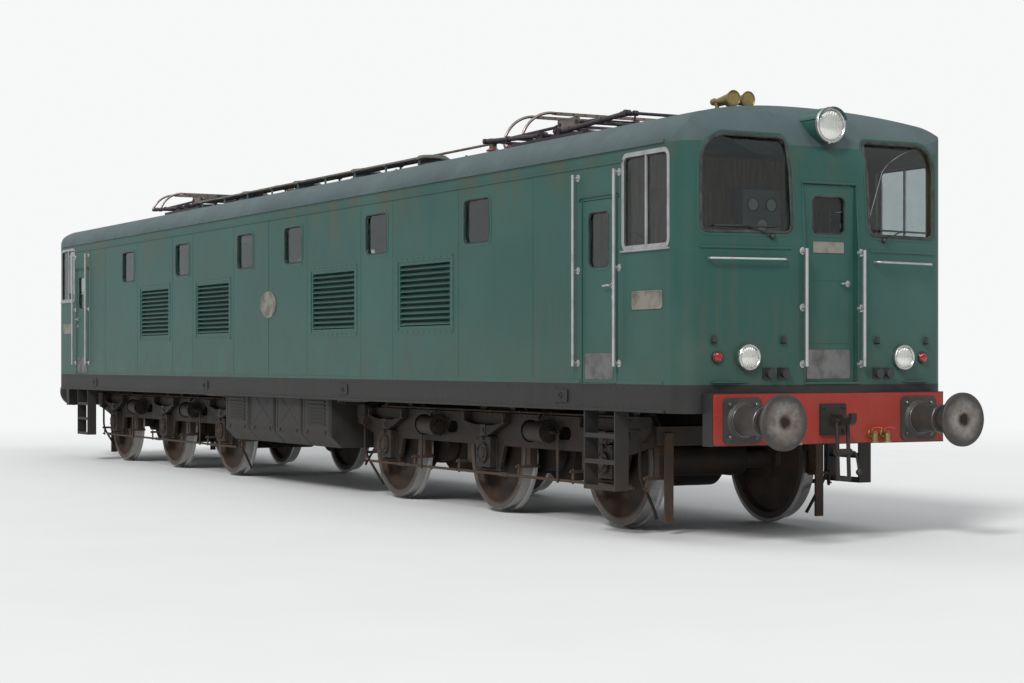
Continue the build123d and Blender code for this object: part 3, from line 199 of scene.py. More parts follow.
def circle(radius: float, count: int) -> Array:
    """A flat circle of points: radius times cosine and sine of equal steps."""
    angle = np.linspace(0, 2 * math.pi, count, endpoint=False)
    return radius * np.stack([np.cos(angle), np.sin(angle)], axis=-1)


def rounded_outline(
    width: float, height: float, radius: float | tuple[float, float, float, float], steps: int = 7
) -> Array:
    """A rectangle's outline with rounded corners, as flat points.

    Each corner is a quarter circle about a centre drawn in from the corner by the radius.

    Args:
        width: Whole width.
        height: Whole height.
        radius: Corner radius, or one for each corner, anticlockwise from the upper right.
        steps: Points on each corner.

    Returns:
        Points in order, anticlockwise.
    """
    quarter = np.linspace(0, math.pi / 2, steps)
    angle = quarter[None, :] + np.arange(4)[:, None] * math.pi / 2
    bend = np.broadcast_to(np.array(radius, float), (4,))[:, None]
    sign_x = np.array([1, -1, -1, 1])[:, None]
    sign_y = np.array([1, 1, -1, -1])[:, None]
    x = sign_x * (width / 2 - bend) + bend * np.cos(angle)
    y = sign_y * (height / 2 - bend) + bend * np.sin(angle)
    return np.stack([x.ravel(), y.ravel()], axis=-1)


def carried(profile: Array, path: Array, up: Point, looped: bool = False) -> Shape:
    """A flat profile carried along a path.

    At each point the tangent is the central difference of the path, the side is up crossed with
    the tangent, and the profile's two coordinates run along the side and the second normal.

    Args:
        profile: Flat outline, closed.
        path: Points of the path.
        up: A direction that is never along the path.
        looped: Whether the path closes.

    Returns:
        The swept solid, with flat ends unless it is looped.
    """
    if looped:
        tangent = unit(np.roll(path, -1, axis=0) - np.roll(path, 1, axis=0))
    else:
        tangent = unit(np.gradient(path, axis=0))
    side = unit(np.cross(np.array(up, float), tangent))
    normal = np.cross(tangent, side)
    rings = path[:, None] + profile[None, :, :1] * side[:, None] + profile[None, :, 1:] * normal[:, None]
    return grid(rings, looped=True) if looped else closed(rings)


def lathe(profile: Rows, centre: Point, axis: Point, count: int = 24) -> Shape:
    """A profile turned about an axis.

    Row i of the profile is a radius and a distance along the axis; the surface is the circle of
    that radius at that distance, so the point is centre plus distance times axis plus radius
    times the circle.

    Args:
        profile: Radius and distance, one row each.
        centre: A point on the axis.
        axis: The axis.
        count: Points around.

    Returns:
        The turned solid.
    """
    along, side, normal = directions(axis)
    ring = circle(1.0, count)
    spokes = ring[:, :1] * side + ring[:, 1:] * normal
    rows = np.array(profile, float)
    rings = np.array(centre) + rows[:, 1][:, None, None] * along + rows[:, 0][:, None, None] * spokes[None]
    return closed(rings)


def collar(
    inner: float, outer: float, start: float, stop: float, centre: Point, axis: Point, count: int = 32
) -> Shape:
    """A ring of square section round an axis, its corners eased by a fifth of its height."""
    ease = 0.2 * abs(stop - start)
    rows = [(inner, start), (outer, start), (outer, stop - ease), (outer - ease, stop), (inner + ease, stop)]
    rows += [(inner, stop - ease), (inner, start)]
    return lathe(rows, centre, axis, count)


def board(outline: Array, thickness: float, edge: float) -> Array:
    """Rings of a flat board with an eased edge, its thickness along the third coordinate.

    The first and last ring are drawn in by the edge times the hyperbolic tangent of each
    coordinate's distance from the middle, over the edge.
    """
    away = outline - outline.mean(axis=0)
    drawn = outline - edge * np.tanh(away / edge)
    levels = [(drawn, 0.0), (outline, edge), (outline, thickness - edge), (drawn, thickness)]
    return np.array([np.column_stack([flat, np.full(len(flat), depth)]) for flat, depth in levels])


def set_in(points: Array, origin: Point, across: Point, upward: Point) -> Array:
    """Flat points with a depth set into space: origin plus each coordinate times its direction."""
    first = np.array(across, float)
    second = np.array(upward, float)
    return np.array(origin) + points @ np.stack([first, second, np.cross(first, second)])


def plate(
    outline: Array, thickness: float, origin: Point, across: Point, upward: Point, edge: float = 0.0015
) -> Shape:
    """A board whose outline lies in a plane and whose thickness stands out of it.

    Args:
        outline: Flat points.
        thickness: How far it stands out, along across crossed with upward.
        origin: Where the outline's zero goes.
        across: Direction of the outline's first coordinate.
        upward: Direction of its second.
        edge: How much its edges are eased.

    Returns:
        The board.
    """
    return closed(set_in(board(outline, thickness, min(edge, 0.4 * thickness)), origin, across, upward))


def slab(low: Point, high: Point, edge: float = 0.003) -> Shape:
    """A box between two corners with eased edges."""
    start, stop = np.array(low, float), np.array(high, float)
    size = stop - start
    eased = min(edge, 0.4 * float(size.min()))
    outline = rounded_outline(size[0], size[1], eased, 3)
    middle = (start + stop) / 2
    return plate(outline, size[2], (middle[0], middle[1], start[2]), X_AXIS, Y_AXIS, eased)


def trim(outline: Array, origin: Point, across: Point, upward: Point, width: float, height: float) -> Shape:
    """A moulding of rounded section that runs round an outline in a plane.

    Args:
        outline: Flat points that the moulding's middle follows.
        origin: Where the outline's zero goes.
        across: Direction of the outline's first coordinate.
        upward: Direction of its second.
        width: The moulding's width.
        height: How far it stands out of the plane.

    Returns:
        The closed moulding.
    """
    flat = np.column_stack([outline, np.zeros(len(outline))])
    up = np.cross(np.array(across, float), np.array(upward, float))
    return carried(bead(width, height), set_in(flat, origin, across, upward), tuple(up), looped=True)


def bead(width: float, height: float) -> Array:
    """Section of a moulding: flat below, with rounded shoulders, as flat points."""
    half = width / 2
    rows = [(-half, -0.004), (half, -0.004), (half, 0.45 * height), (0.55 * half, height)]
    return np.array(rows + [(-0.55 * half, height), (-half, 0.45 * height)])


def repeated(shape: Shape, places: Array) -> Shape:
    """Copies of a small shape at each place, by adding every place to every point.

    Args:
        shape: The shape about its own origin.
        places: One row for each copy.

    Returns:
        All the copies as one shape.
    """
    places = np.asarray(places, float).reshape(-1, 3)
    points = (places[:, None, :] + shape.points[None]).reshape(-1, 3)
    starts = (np.arange(len(places)) * len(shape.points))[:, None, None]
    return Shape(points, (shape.quads[None] + starts).reshape(-1, 4))


def spaced(start: Point, stop: Point, count: int) -> Array:
    """Points at equal steps from one point to another."""
    share = np.linspace(0, 1, count)[:, None]
    return np.array(start) * (1 - share) + np.array(stop) * share


def lattice(xs: list[float] | Array, ys: list[float] | Array, zs: list[float] | Array) -> Array:
    """Every place whose coordinates come from three lists."""
    return np.stack(np.meshgrid(xs, ys, zs, indexing="ij"), axis=-1).reshape(-1, 3)


def around(centre: Point, radius: float, count: int, axis: Point, start: float = 0.0) -> Array:
    """Places at equal steps on a circle about an axis."""
    _, side, normal = directions(axis)
    angle = np.linspace(0, 2 * math.pi, count, endpoint=False)[:, None] + start
    return np.array(centre) + radius * (np.cos(angle) * side + np.sin(angle) * normal)


def bolt(radius: float, axis: Point) -> Shape:
    """A six-sided bolt head on a washer, standing along an axis."""
    washer = lathe(np.array([[1.45, 0.0], [1.45, 0.22], [1.3, 0.28]]) * radius, (0, 0, 0), axis, 10)
    head = lathe(np.array([[1.0, 0.2], [1.0, 0.85], [0.8, 1.05]]) * radius, (0, 0, 0), axis, 6)
    return together([washer, head])


def rivet(radius: float, axis: Point) -> Shape:
    """A low domed rivet head: radius times cosine, height times sine of a quarter turn."""
    angle = np.radians([0, 35, 68])
    profile = np.column_stack([radius * np.cos(angle), 0.55 * radius * np.sin(angle)])
    return lathe(profile, (0, 0, 0), axis, 8)


def coil(radius: float, start: Point, stop: Point, turns: float, wire: float) -> Shape:
    """A helical spring: a circle of the wire carried along a helix between two points.

    The helix is the straight line plus radius times cosine and sine of the turning angle.
    """
    steps = int(turns * 14)
    angle = np.linspace(0, turns * 2 * math.pi, steps)[:, None]
    along, side, normal = directions(np.array(stop, float) - np.array(start, float))
    path = spaced(start, stop, steps) + radius * (np.cos(angle) * side + np.sin(angle) * normal)
    return carried(circle(wire, 6), path, tuple(along))


def bent_path(corners: list[Point], radius: float, steps: int = 6) -> Array:
    """Straight runs joined by bends.

    At each corner the bend is the quadratic curve (1 - t)^2 a + 2 t (1 - t) corner + t^2 b, with a
    and b one radius back along the two runs.

    Args:
        corners: Points of the path.
        radius: How far each bend starts before its corner.
        steps: Points in each bend.

    Returns:
        The path's points.
    """
    rows = [np.array(corners[0], float)]
    share = np.linspace(0, 1, steps)[:, None]
    for before, corner, after in zip(corners, corners[1:], corners[2:]):
        middle = np.array(corner, float)
        first = middle + unit(np.array(before, float) - middle) * radius
        last = middle + unit(np.array(after, float) - middle) * radius
        rows.append((1 - share) ** 2 * first + 2 * share * (1 - share) * middle + share**2 * last)
    rows.append(np.array(corners[-1], float))
    return np.vstack(rows)


def pipe(corners: list[Point], radius: float, bend: float = 0.06, up: Point = (0.31, 0.47, 0.83)) -> Shape:
    """A round pipe along a bent path."""
    return carried(circle(radius, 10), bent_path(corners, bend), up)


def bar(start: Point, stop: Point, radius: float, count: int = 12) -> Shape:
    """A straight round bar with eased ends."""
    path = np.array(stop, float) - np.array(start, float)
    length = float(np.linalg.norm(path))
    ease = min(0.3 * radius, 0.2 * length)
    rows = [(radius - ease, 0), (radius, ease), (radius, length - ease), (radius - ease, length)]
    return lathe(rows, start, tuple(path), count)


def welded(name: str, shape: Shape, smooth: bool = True) -> bpy.types.Mesh:
    """A mesh of a shape: points that meet are joined, and its faces look outwards.

    Args:
        name: The mesh's name.
        shape: Its surfaces.
        smooth: Whether faces shade smoothly up to the sharp-edge angle.

    Returns:
        The new mesh.
    """
    mesh = bpy.data.meshes.new(name)
    mesh.from_pydata(shape.points.tolist(), [], shape.quads.tolist())
    net = bmesh.new()
    net.from_mesh(mesh)
    bmesh.ops.remove_doubles(net, verts=net.verts, dist=MEETING)
    bmesh.ops.dissolve_degenerate(net, edges=net.edges, dist=0.1 * MEETING)
    bmesh.ops.recalc_face_normals(net, faces=net.faces)
    for face in net.faces:
        face.smooth = smooth
    for edge in net.edges:
        if len(edge.link_faces) == 2:
            edge.smooth = edge.calc_face_angle(0.0) < SHARP_ANGLE
    net.to_mesh(mesh)
    net.free()
    return mesh


def put(
    name: str, shapes: list[Shape], finish: "Finish", body: str, end: End = End.FRONT,
    smooth: bool = True,
) -> Object:
    """Make one mesh object of some shapes, weld its seams and poles, and let it ride on a body.

    Args:
        name: The piece's name.
        shapes: Its surfaces, at the front end.
        finish: Its finish.
        body: The body it moves with.
        end: The end it stands at; the rear is half a turn of the front.
        smooth: Whether faces shade smoothly up to the sharp-edge angle.

    Returns:
        The new object.
    """
    shape = together(shapes).turned(end)
    mesh = welded(name, shape, smooth)
    mesh.materials.append(finish.material())
    piece = bpy.data.objects.new(name, mesh)
    bpy.context.scene.collection.objects.link(piece)
    piece.modifiers.new("flat_faces", "WEIGHTED_NORMAL").keep_sharp = True
    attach(piece, body)
    LOG.info("piece %s on %s: %d faces", name, body, len(mesh.polygons))
    return piece


# Finishes: node materials, each from a few named values


class Sheet:
    """A small writer of one material's nodes."""

    def __init__(self, name: str) -> None:
        """Start a material with its principled shader and object coordinates."""
        self.material = bpy.data.materials.new(f"{name}_finish")
        self.material.use_nodes = True
        self.tree = self.material.node_tree
        self.shader = self.tree.nodes["Principled BSDF"]
        self.coordinates = self.tree.nodes.new("ShaderNodeTexCoord").outputs["Object"]

    def feed(self, socket: Socket, value: object) -> None:
        """Link a socket to another, or set its value."""
        if isinstance(value, bpy.types.NodeSocket):
            self.tree.links.new(value, socket)
        elif isinstance(value, tuple) and len(value) == 3 and socket.type == "RGBA":
            socket.default_value = (*value, 1.0)
        else:
            socket.default_value = value

    def node(self, kind: str, **inputs: object) -> bpy.types.Node:
        """A node of a kind with sockets set by name; underscores stand for spaces."""
        made = self.tree.nodes.new("ShaderNode" + kind)
        for key, value in inputs.items():
            self.feed(made.inputs[key.replace("_", " ")], value)
        return made

    def noise(
        self, scale: float, stretch: Point = (1, 1, 1), detail: float = 4.0, rough: float = 0.6
    ) -> Socket:
        """Noise over the object, stretched along its axes."""
        mapping = self.node("Mapping", Vector=self.coordinates, Scale=stretch)
        made = self.node("TexNoise", Vector=mapping.outputs[0], Scale=scale, Detail=detail, Roughness=rough)
        return made.outputs["Fac"]

    def axis(self, name: str) -> Socket:
        """One object coordinate."""
        return self.node("SeparateXYZ", Vector=self.coordinates).outputs[name]

    def sum(self, operation: str, first: object, second: object = 0.0, clamp: bool = False) -> Socket:
        """Arithmetic on two values."""
        made = self.tree.nodes.new("ShaderNodeMath")
        made.operation = operation
        made.use_clamp = clamp
        self.feed(made.inputs[0], first)
        self.feed(made.inputs[1], second)
        return made.outputs[0]

    def times(self, first: object, second: object) -> Socket:
        """One value times another."""
        return self.sum("MULTIPLY", first, second)

    def plus(self, first: object, second: object) -> Socket:
        """One value plus another, held between 0 and 1."""
        return self.sum("ADD", first, second, clamp=True)

    def between(self, value: Socket, low: float, high: float) -> Socket:
        """A value spread from 0 at low to 1 at high, held inside that."""
        made = self.node("MapRange", Value=value, From_Min=low, From_Max=high)
        return made.outputs[0]

    def patches(self, scale: float, low: float, high: float, **grain: object) -> Socket:
        """Noise spread from 0 at low to 1 at high."""
        return self.between(self.noise(scale, **grain), low, high)

    def mixed(self, share: object, first: object, second: object) -> Socket:
        """A colour between two."""
        made = self.tree.nodes.new("ShaderNodeMix")
        made.data_type = "RGBA"
        for socket, value in zip((made.inputs[0], made.inputs[6], made.inputs[7]), (share, first, second)):
            self.feed(socket, value)
        return made.outputs[2]

    def facing(self, centre: Point, weight: Point) -> Socket:
        """1 on faces that look towards a middle: their normal points against the way from it."""
        away = self.coordinates
        steps = (("SUBTRACT", centre), ("MULTIPLY", weight))
        for operation, value in (*steps, ("DOT_PRODUCT", self.node("NewGeometry").outputs["True Normal"])):
            made = self.tree.nodes.new("ShaderNodeVectorMath")
            made.operation = operation
            self.feed(made.inputs[0], away)
            self.feed(made.inputs[1], value)
            away = made.outputs[0]
        return self.between(made.outputs["Value"], 0.0, -0.05)

    def join(self, value: object, socket: str) -> None:
        """Feed one of the shader's sockets."""
        self.feed(self.shader.inputs[socket], value)

    def bumped(self, height: Socket, depth: float, strength: float = 1.0) -> None:
        """Raise the surface's shading by a height."""
        bump = self.node("Bump", Height=height, Distance=depth, Strength=strength)
        self.join(bump.outputs[0], "Normal")


@dataclass(frozen=True)
class Finish:
    """A finish that can dress a piece.

    Args:
        name: The material's name.
        colour: Base colour, linear.
    """

    name: str
    colour: Colour

    def material(self) -> Material:
        """The finish as a node material, made once; its name keeps clear of the frame's own."""
        found = bpy.data.materials.get(f"{self.name}_finish")
        return found if found else self.build()

    def build(self) -> Material:
        """Make the node material."""
        raise NotImplementedError


@dataclass(frozen=True)
class AgedPaint(Finish):
    """Old brushed and sprayed paint: faded patches, rain streaks, dust below, stains and small chips.

    Args:
        faded: Colour of the faded patches.
        dirt: Colour of streaks and dust.
        gloss: Roughness where clean.
        streaks: Share of rain streaks, 0 to 1.
        dust: Share of dust that gathers towards the bottom.
        bottom: Height below which dust gathers.
        top: Height where dust ends.
        chips: Share of chips to bare primer.
        runs: Share of olive stains that run down from the eaves.
        eaves: Height that the stains start from.
        inside: Colour of the faces that look inwards, if they differ.
        centre: Middle that those faces look towards.
        weight: How much each axis counts in that.
        reach: Distances along and across beyond which no face counts as inside, such as a doorway's.
    """

    faded: Colour = (0.1, 0.17, 0.16)
    dirt: Colour = (0.085, 0.072, 0.052)
    gloss: float = 0.46
    streaks: float = 0.3
    dust: float = 0.5
    bottom: float = 1.2
    top: float = 2.3
    chips: float = 0.15
    runs: float = 0.0
    eaves: float = 3.5
    inside: Colour | None = None
    centre: Point = (0.0, 0.0, 2.4)
    weight: Point = (0.0, 1.0, 1.0)
    reach: tuple[float, float] = (9.6, 1.42)

    def build(self) -> Material:
        """Layers: colour, fade, streaks, runs, dust and chips, then roughness and orange-peel bump."""
        sheet = Sheet(self.name)
        fade = sheet.patches(0.55, 0.38, 0.72, detail=5)
        colour = sheet.mixed(fade, self.colour, self.faded)
        streak = sheet.noise(9.0, stretch=(1, 1, 0.06), detail=6, rough=0.7)
        patchy = sheet.noise(0.9, detail=3)
        wet = sheet.times(sheet.between(streak, 0.5, 0.74), sheet.between(patchy, 0.42, 0.66))
        colour = sheet.mixed(sheet.times(wet, self.streaks), colour, self.dirt)
        if self.runs:
            fall = sheet.between(sheet.axis("Z"), self.eaves - 0.9, self.eaves)
            narrow = sheet.patches(3.4, 0.47, 0.66, stretch=(1, 1, 0.12), detail=5)
            stain = sheet.times(sheet.times(fall, narrow), sheet.between(patchy, 0.38, 0.6))
            colour = sheet.mixed(sheet.times(stain, self.runs), colour, (0.075, 0.066, 0.028))
        low = sheet.between(sheet.axis("Z"), self.top, self.bottom)
        cloud = sheet.patches(3.1, 0.3, 0.75, detail=6)
        dusty = sheet.times(sheet.times(low, cloud), self.dust)
        colour = sheet.mixed(dusty, colour, self.dirt)
        chip = sheet.patches(26.0, 0.735, 0.745, detail=5, rough=0.65)
        chip = sheet.times(chip, sheet.between(patchy, 0.5, 0.62))
        colour = sheet.mixed(sheet.times(chip, self.chips * 4), colour, (0.16, 0.09, 0.06))
        if self.inside:
            share = sheet.facing(self.centre, self.weight)
            for name, limit in zip("XY", self.reach):
                along = sheet.sum("ABSOLUTE", sheet.axis(name))
                share = sheet.times(share, sheet.between(along, limit + 0.01, limit))
            colour = sheet.mixed(share, colour, self.inside)
        sheet.join(colour, "Base Color")
        rough = sheet.plus(sheet.plus(sheet.times(fade, 0.14), self.gloss), sheet.times(dusty, 0.35))
        sheet.join(rough, "Roughness")
        peel = sheet.sum("ADD", sheet.noise(60.0, detail=3), sheet.times(sheet.noise(1.7, detail=2), 6.0))
        sheet.bumped(peel, 0.0009, 0.6)
        sheet.join(0.32, "Specular IOR Level")
        return sheet.material


@dataclass(frozen=True)
class SootyIron(Finish):
    """Running-gear paint under brake dust: dark, with brown dust in clouds and a cast grain.

    Args:
        rust: Colour of the brake dust.
        amount: Share of dust, 0 to 1.
        gloss: Roughness.
        metal: Metallic share.
    """

    rust: Colour = (0.075, 0.046, 0.03)
    amount: float = 0.5
    gloss: float = 0.62
    metal: float = 0.1

    def build(self) -> Material:
        """Clouds of dust over dark paint, with a fine cast grain."""
        sheet = Sheet(self.name)
        cloud = sheet.patches(4.0, 0.36, 0.7, detail=7, rough=0.65)
        fine = sheet.patches(38.0, 0.45, 0.62, detail=4)
        share = sheet.plus(sheet.times(cloud, self.amount), sheet.times(fine, 0.35 * self.amount))
        sheet.join(sheet.mixed(share, self.colour, self.rust), "Base Color")
        sheet.join(sheet.plus(sheet.times(cloud, 0.25), self.gloss - 0.1), "Roughness")
        sheet.join(self.metal, "Metallic")
        sheet.join(0.28, "Specular IOR Level")
        grain = sheet.sum("ADD", sheet.noise(150.0, detail=3), sheet.times(sheet.noise(14.0), 2.0))
        sheet.bumped(grain, 0.0012, 0.5)
        return sheet.material


@dataclass(frozen=True)
class WheelIron(Finish):
    """A wheelset: polished tread and flange, dusty web, told apart by the distance from the axle.

    Args:
        place: X of the axle.
        height: Z of the axle.
        tread: Radius of the tread.
        polish: Colour of the running surface.
    """

    place: float = 0.0
    height: float = 0.64
    tread: float = 0.61
    polish: Colour = (0.36, 0.355, 0.35)

    def build(self) -> Material:
        """Radius is the root of the summed squares of X and Z from the axle."""
        sheet = Sheet(self.name)
        across = sheet.sum("SUBTRACT", sheet.axis("X"), self.place)
        above = sheet.sum("SUBTRACT", sheet.axis("Z"), self.height)
        square = sheet.sum("ADD", sheet.times(across, across), sheet.times(above, above))
        radius = sheet.sum("SQRT", square)
        worn = sheet.between(radius, self.tread - 0.012, self.tread - 0.006)
        cloud = sheet.patches(5.0, 0.35, 0.7, detail=6)
        streak = sheet.patches(90.0, 0.3, 0.7, detail=2)
        iron = sheet.mixed(cloud, self.colour, (0.085, 0.052, 0.036))
        rim = sheet.between(radius, self.tread - 0.075, self.tread - 0.07)
        iron = sheet.mixed(sheet.times(rim, 0.4), iron, (0.10, 0.092, 0.085))
        bright = sheet.mixed(streak, self.polish, (0.24, 0.235, 0.23))
        sheet.join(sheet.mixed(worn, iron, bright), "Base Color")
        sheet.join(sheet.times(worn, 0.95), "Metallic")
        sheet.join(sheet.sum("SUBTRACT", 0.68, sheet.times(worn, 0.38)), "Roughness")
        sheet.bumped(sheet.noise(70.0, detail=4), 0.0008, 0.5)
        return sheet.material


@dataclass(frozen=True)
class BareMetal(Finish):
    """Worn bare metal with fine scratches and dull patches.

    Args:
        gloss: Roughness where rubbed.
        dull: Colour of the dull patches.
        stretch: Direction of the scratches, as noise stretch.
        metal: Metallic share.
    """

    gloss: float = 0.28
    dull: Colour = (0.2, 0.19, 0.17)
    stretch: Point = (1, 1, 0.1)
    metal: float = 0.9

    def build(self) -> Material:
        """Scratches from stretched noise in roughness and bump, dull patches in colour."""
        sheet = Sheet(self.name)
        patch = sheet.patches(6.0, 0.45, 0.75, detail=5)
        sheet.join(sheet.mixed(patch, self.colour, self.dull), "Base Color")
        scratch = sheet.noise(120.0, stretch=self.stretch, detail=3)
        rough = sheet.plus(sheet.times(scratch, 0.2), sheet.plus(sheet.times(patch, 0.25), self.gloss - 0.08))
        sheet.join(rough, "Roughness")
        sheet.join(self.metal, "Metallic")
        sheet.bumped(scratch, 0.0003, 0.4)
        return sheet.material


@dataclass(frozen=True)
class BufferIron(Finish):
    """A buffer: painted casing, and a head rubbed bright round a greasy middle.

    Args:
        centre: Y and Z of the buffer's axis, on either side.
        face: Length beyond which the head's face lies.
    """

    centre: tuple[float, float] = (0.975, 1.09)
    face: float = 10.31

    def build(self) -> Material:
        """Radius is the root of the summed squares of Y and Z from the axis; X picks out the face."""
        sheet = Sheet(self.name)
        across = sheet.sum("SUBTRACT", sheet.sum("ABSOLUTE", sheet.axis("Y")), self.centre[0])
        above = sheet.sum("SUBTRACT", sheet.axis("Z"), self.centre[1])
        radius = sheet.sum("SQRT", sheet.sum("ADD", sheet.times(across, across), sheet.times(above, above)))
        ragged = sheet.sum("ADD", radius, sheet.times(sheet.noise(14.0, detail=5), 0.09))
        face = sheet.between(sheet.sum("ABSOLUTE", sheet.axis("X")), self.face, self.face + 0.01)
        rubbed = sheet.times(face, sheet.between(ragged, 0.25, 0.13))
        grease = sheet.times(face, sheet.between(ragged, 0.125, 0.085))
        cloud = sheet.patches(7.0, 0.4, 0.7, detail=5)
        paint = sheet.mixed(sheet.times(cloud, 0.5), self.colour, (0.075, 0.055, 0.04))
        bright = sheet.mixed(cloud, (0.30, 0.28, 0.26), (0.14, 0.10, 0.075))
        shown = sheet.mixed(rubbed, paint, bright)
        sheet.join(sheet.mixed(grease, shown, (0.028, 0.022, 0.018)), "Base Color")
        sheet.join(sheet.times(rubbed, 0.75), "Metallic")
        sheet.join(sheet.sum("SUBTRACT", 0.55, sheet.times(grease, 0.25)), "Roughness")
        sheet.bumped(sheet.noise(60.0, detail=4), 0.0008, 0.5)
        return sheet.material


@dataclass(frozen=True)
class Pane(Finish):
    """Clear window glass with a faint tint and a film of dust.

    Args:
        film: Share of dust film.
        haze: Roughness that the film adds.
    """

    film: float = 0.15
    haze: float = 0.02

    def build(self) -> Material:
        """Dust in clouds raises the roughness a little."""
        sheet = Sheet(self.name)
        cloud = sheet.patches(3.0, 0.35, 0.8, detail=6)
        sheet.join(sheet.mixed(sheet.times(cloud, self.film), self.colour, (0.45, 0.44, 0.38)), "Base Color")
        sheet.join(sheet.times(cloud, self.haze), "Roughness")
        sheet.join(1.0, "Transmission Weight")
        sheet.join(1.45, "IOR")
        return sheet.material


@dataclass(frozen=True)
class Rubber(Finish):
    """Black rubber, slightly greyed."""

    def build(self) -> Material:
        """Fine grain and grey bloom."""
        sheet = Sheet(self.name)
        bloom = sheet.patches(11.0, 0.4, 0.8, detail=5)
        sheet.join(sheet.mixed(bloom, self.colour, (0.07, 0.07, 0.068)), "Base Color")
        sheet.join(sheet.plus(sheet.times(bloom, 0.15), 0.6), "Roughness")
        sheet.bumped(sheet.noise(220.0, detail=2), 0.0004, 0.4)
        return sheet.material


@dataclass(frozen=True)
class Glaze(Finish):
    """Glazed brown porcelain with a film of soot."""

    def build(self) -> Material:
        """Glossy glaze with dust clouds and a clear coat."""
        sheet = Sheet(self.name)
        soot = sheet.patches(9.0, 0.42, 0.8, detail=5)
        sheet.join(sheet.mixed(sheet.times(soot, 0.5), self.colour, (0.06, 0.055, 0.05)), "Base Color")
        sheet.join(sheet.plus(sheet.times(soot, 0.35), 0.14), "Roughness")
        sheet.join(0.5, "Coat Weight")
        sheet.bumped(sheet.noise(30.0), 0.0003, 0.3)
        return sheet.material


@dataclass(frozen=True)
class Leather(Finish):
    """Worn leathercloth with a pebbled grain and paler rubbed places."""

    def build(self) -> Material:
        """Grain from cells, rubbed patches from broad noise."""
        sheet = Sheet(self.name)
        rub = sheet.patches(7.0, 0.42, 0.75, detail=5)
        sheet.join(sheet.mixed(rub, self.colour, (0.22, 0.13, 0.075)), "Base Color")
        cells = sheet.node("TexVoronoi", Vector=sheet.coordinates, Scale=260.0)
        sheet.join(sheet.plus(sheet.times(rub, 0.2), 0.38), "Roughness")
        sheet.bumped(cells.outputs["Distance"], 0.0006, 0.7)
        return sheet.material


@dataclass(frozen=True)
class Lens(Finish):
    """A fluted lamp glass over a bright reflector.

    Args:
        flutes: Ribs for each metre across.
        cloudy: Colour where it is dusty.
    """

    flutes: float = 55.0
    cloudy: Colour = (0.62, 0.62, 0.56)

    def build(self) -> Material:
        """Upright ribs from the sine of Y."""
        sheet = Sheet(self.name)
        wave = sheet.sum("SINE", sheet.times(sheet.axis("Y"), self.flutes * 2 * math.pi))
        cloud = sheet.patches(8.0, 0.3, 0.8)
        sheet.join(sheet.mixed(cloud, self.colour, self.cloudy), "Base Color")
        sheet.join(0.65, "Metallic")
        sheet.join(0.16, "Roughness")
        sheet.join(1.0, "Coat Weight")
        sheet.join(0.03, "Coat Roughness")
        sheet.bumped(wave, 0.002, 0.6)
        return sheet.material


@dataclass(frozen=True)
class Paint(Finish):
    """Plain paint with handling marks.

    Args:
        gloss: Roughness.
        worn: Colour of the handled places.
    """

    gloss: float = 0.45
    worn: Colour = (0.3, 0.29, 0.24)

    def build(self) -> Material:
        """Faint clouds in colour and roughness."""
        sheet = Sheet(self.name)
        cloud = sheet.patches(5.0, 0.38, 0.72, detail=5)
        sheet.join(sheet.mixed(sheet.times(cloud, 0.5), self.colour, self.worn), "Base Color")
        sheet.join(sheet.plus(sheet.times(cloud, 0.15), self.gloss), "Roughness")
        sheet.bumped(sheet.noise(90.0, detail=3), 0.0005, 0.4)
        return sheet.material


@dataclass(frozen=True)
class Timber(Finish):
    """Wood with a grain along one axis, under varnish or weathered.

    Args:
        dark: Colour of the grain's dark lines.
        stretch: Noise stretch, small along the grain.
        gloss: Roughness.
    """

    dark: Colour = (0.06, 0.035, 0.02)
    stretch: Point = (1.0, 1.0, 0.05)
    gloss: float = 0.35

    def build(self) -> Material:
        """Lines from the sine of stretched noise, over broad patches."""
        sheet = Sheet(self.name)
        grain = sheet.noise(14.0, stretch=self.stretch, detail=4)
        lines = sheet.between(sheet.sum("SINE", sheet.times(grain, 46.0)), -0.6, 1.0)
        broad = sheet.patches(2.2, 0.35, 0.7, detail=3)
        wood = sheet.mixed(sheet.times(lines, 0.55), self.colour, self.dark)
        sheet.join(sheet.mixed(sheet.times(broad, 0.3), wood, self.dark), "Base Color")
        sheet.join(sheet.plus(sheet.times(lines, 0.12), self.gloss), "Roughness")
        sheet.bumped(lines, 0.0006, 0.5)
        return sheet.material


@dataclass(frozen=True)
class Filter(Finish):
    """Woven wire filter behind the louvres, dark with dust in its mesh.

    Args:
        pitch: Distance between wires.
    """

    pitch: float = 0.012

    def build(self) -> Material:
        """Height is the product of the sines of X and Z."""
        sheet = Sheet(self.name)
        turn = 2 * math.pi / self.pitch
        along = sheet.sum("SINE", sheet.times(sheet.axis("X"), turn))
        upward = sheet.sum("SINE", sheet.times(sheet.axis("Z"), turn))
        weave = sheet.between(sheet.times(along, upward), -0.4, 0.4)
        sheet.join(sheet.mixed(weave, self.colour, (0.06, 0.055, 0.045)), "Base Color")
        sheet.join(0.8, "Roughness")
        sheet.bumped(weave, 0.002, 0.6)
        return sheet.material


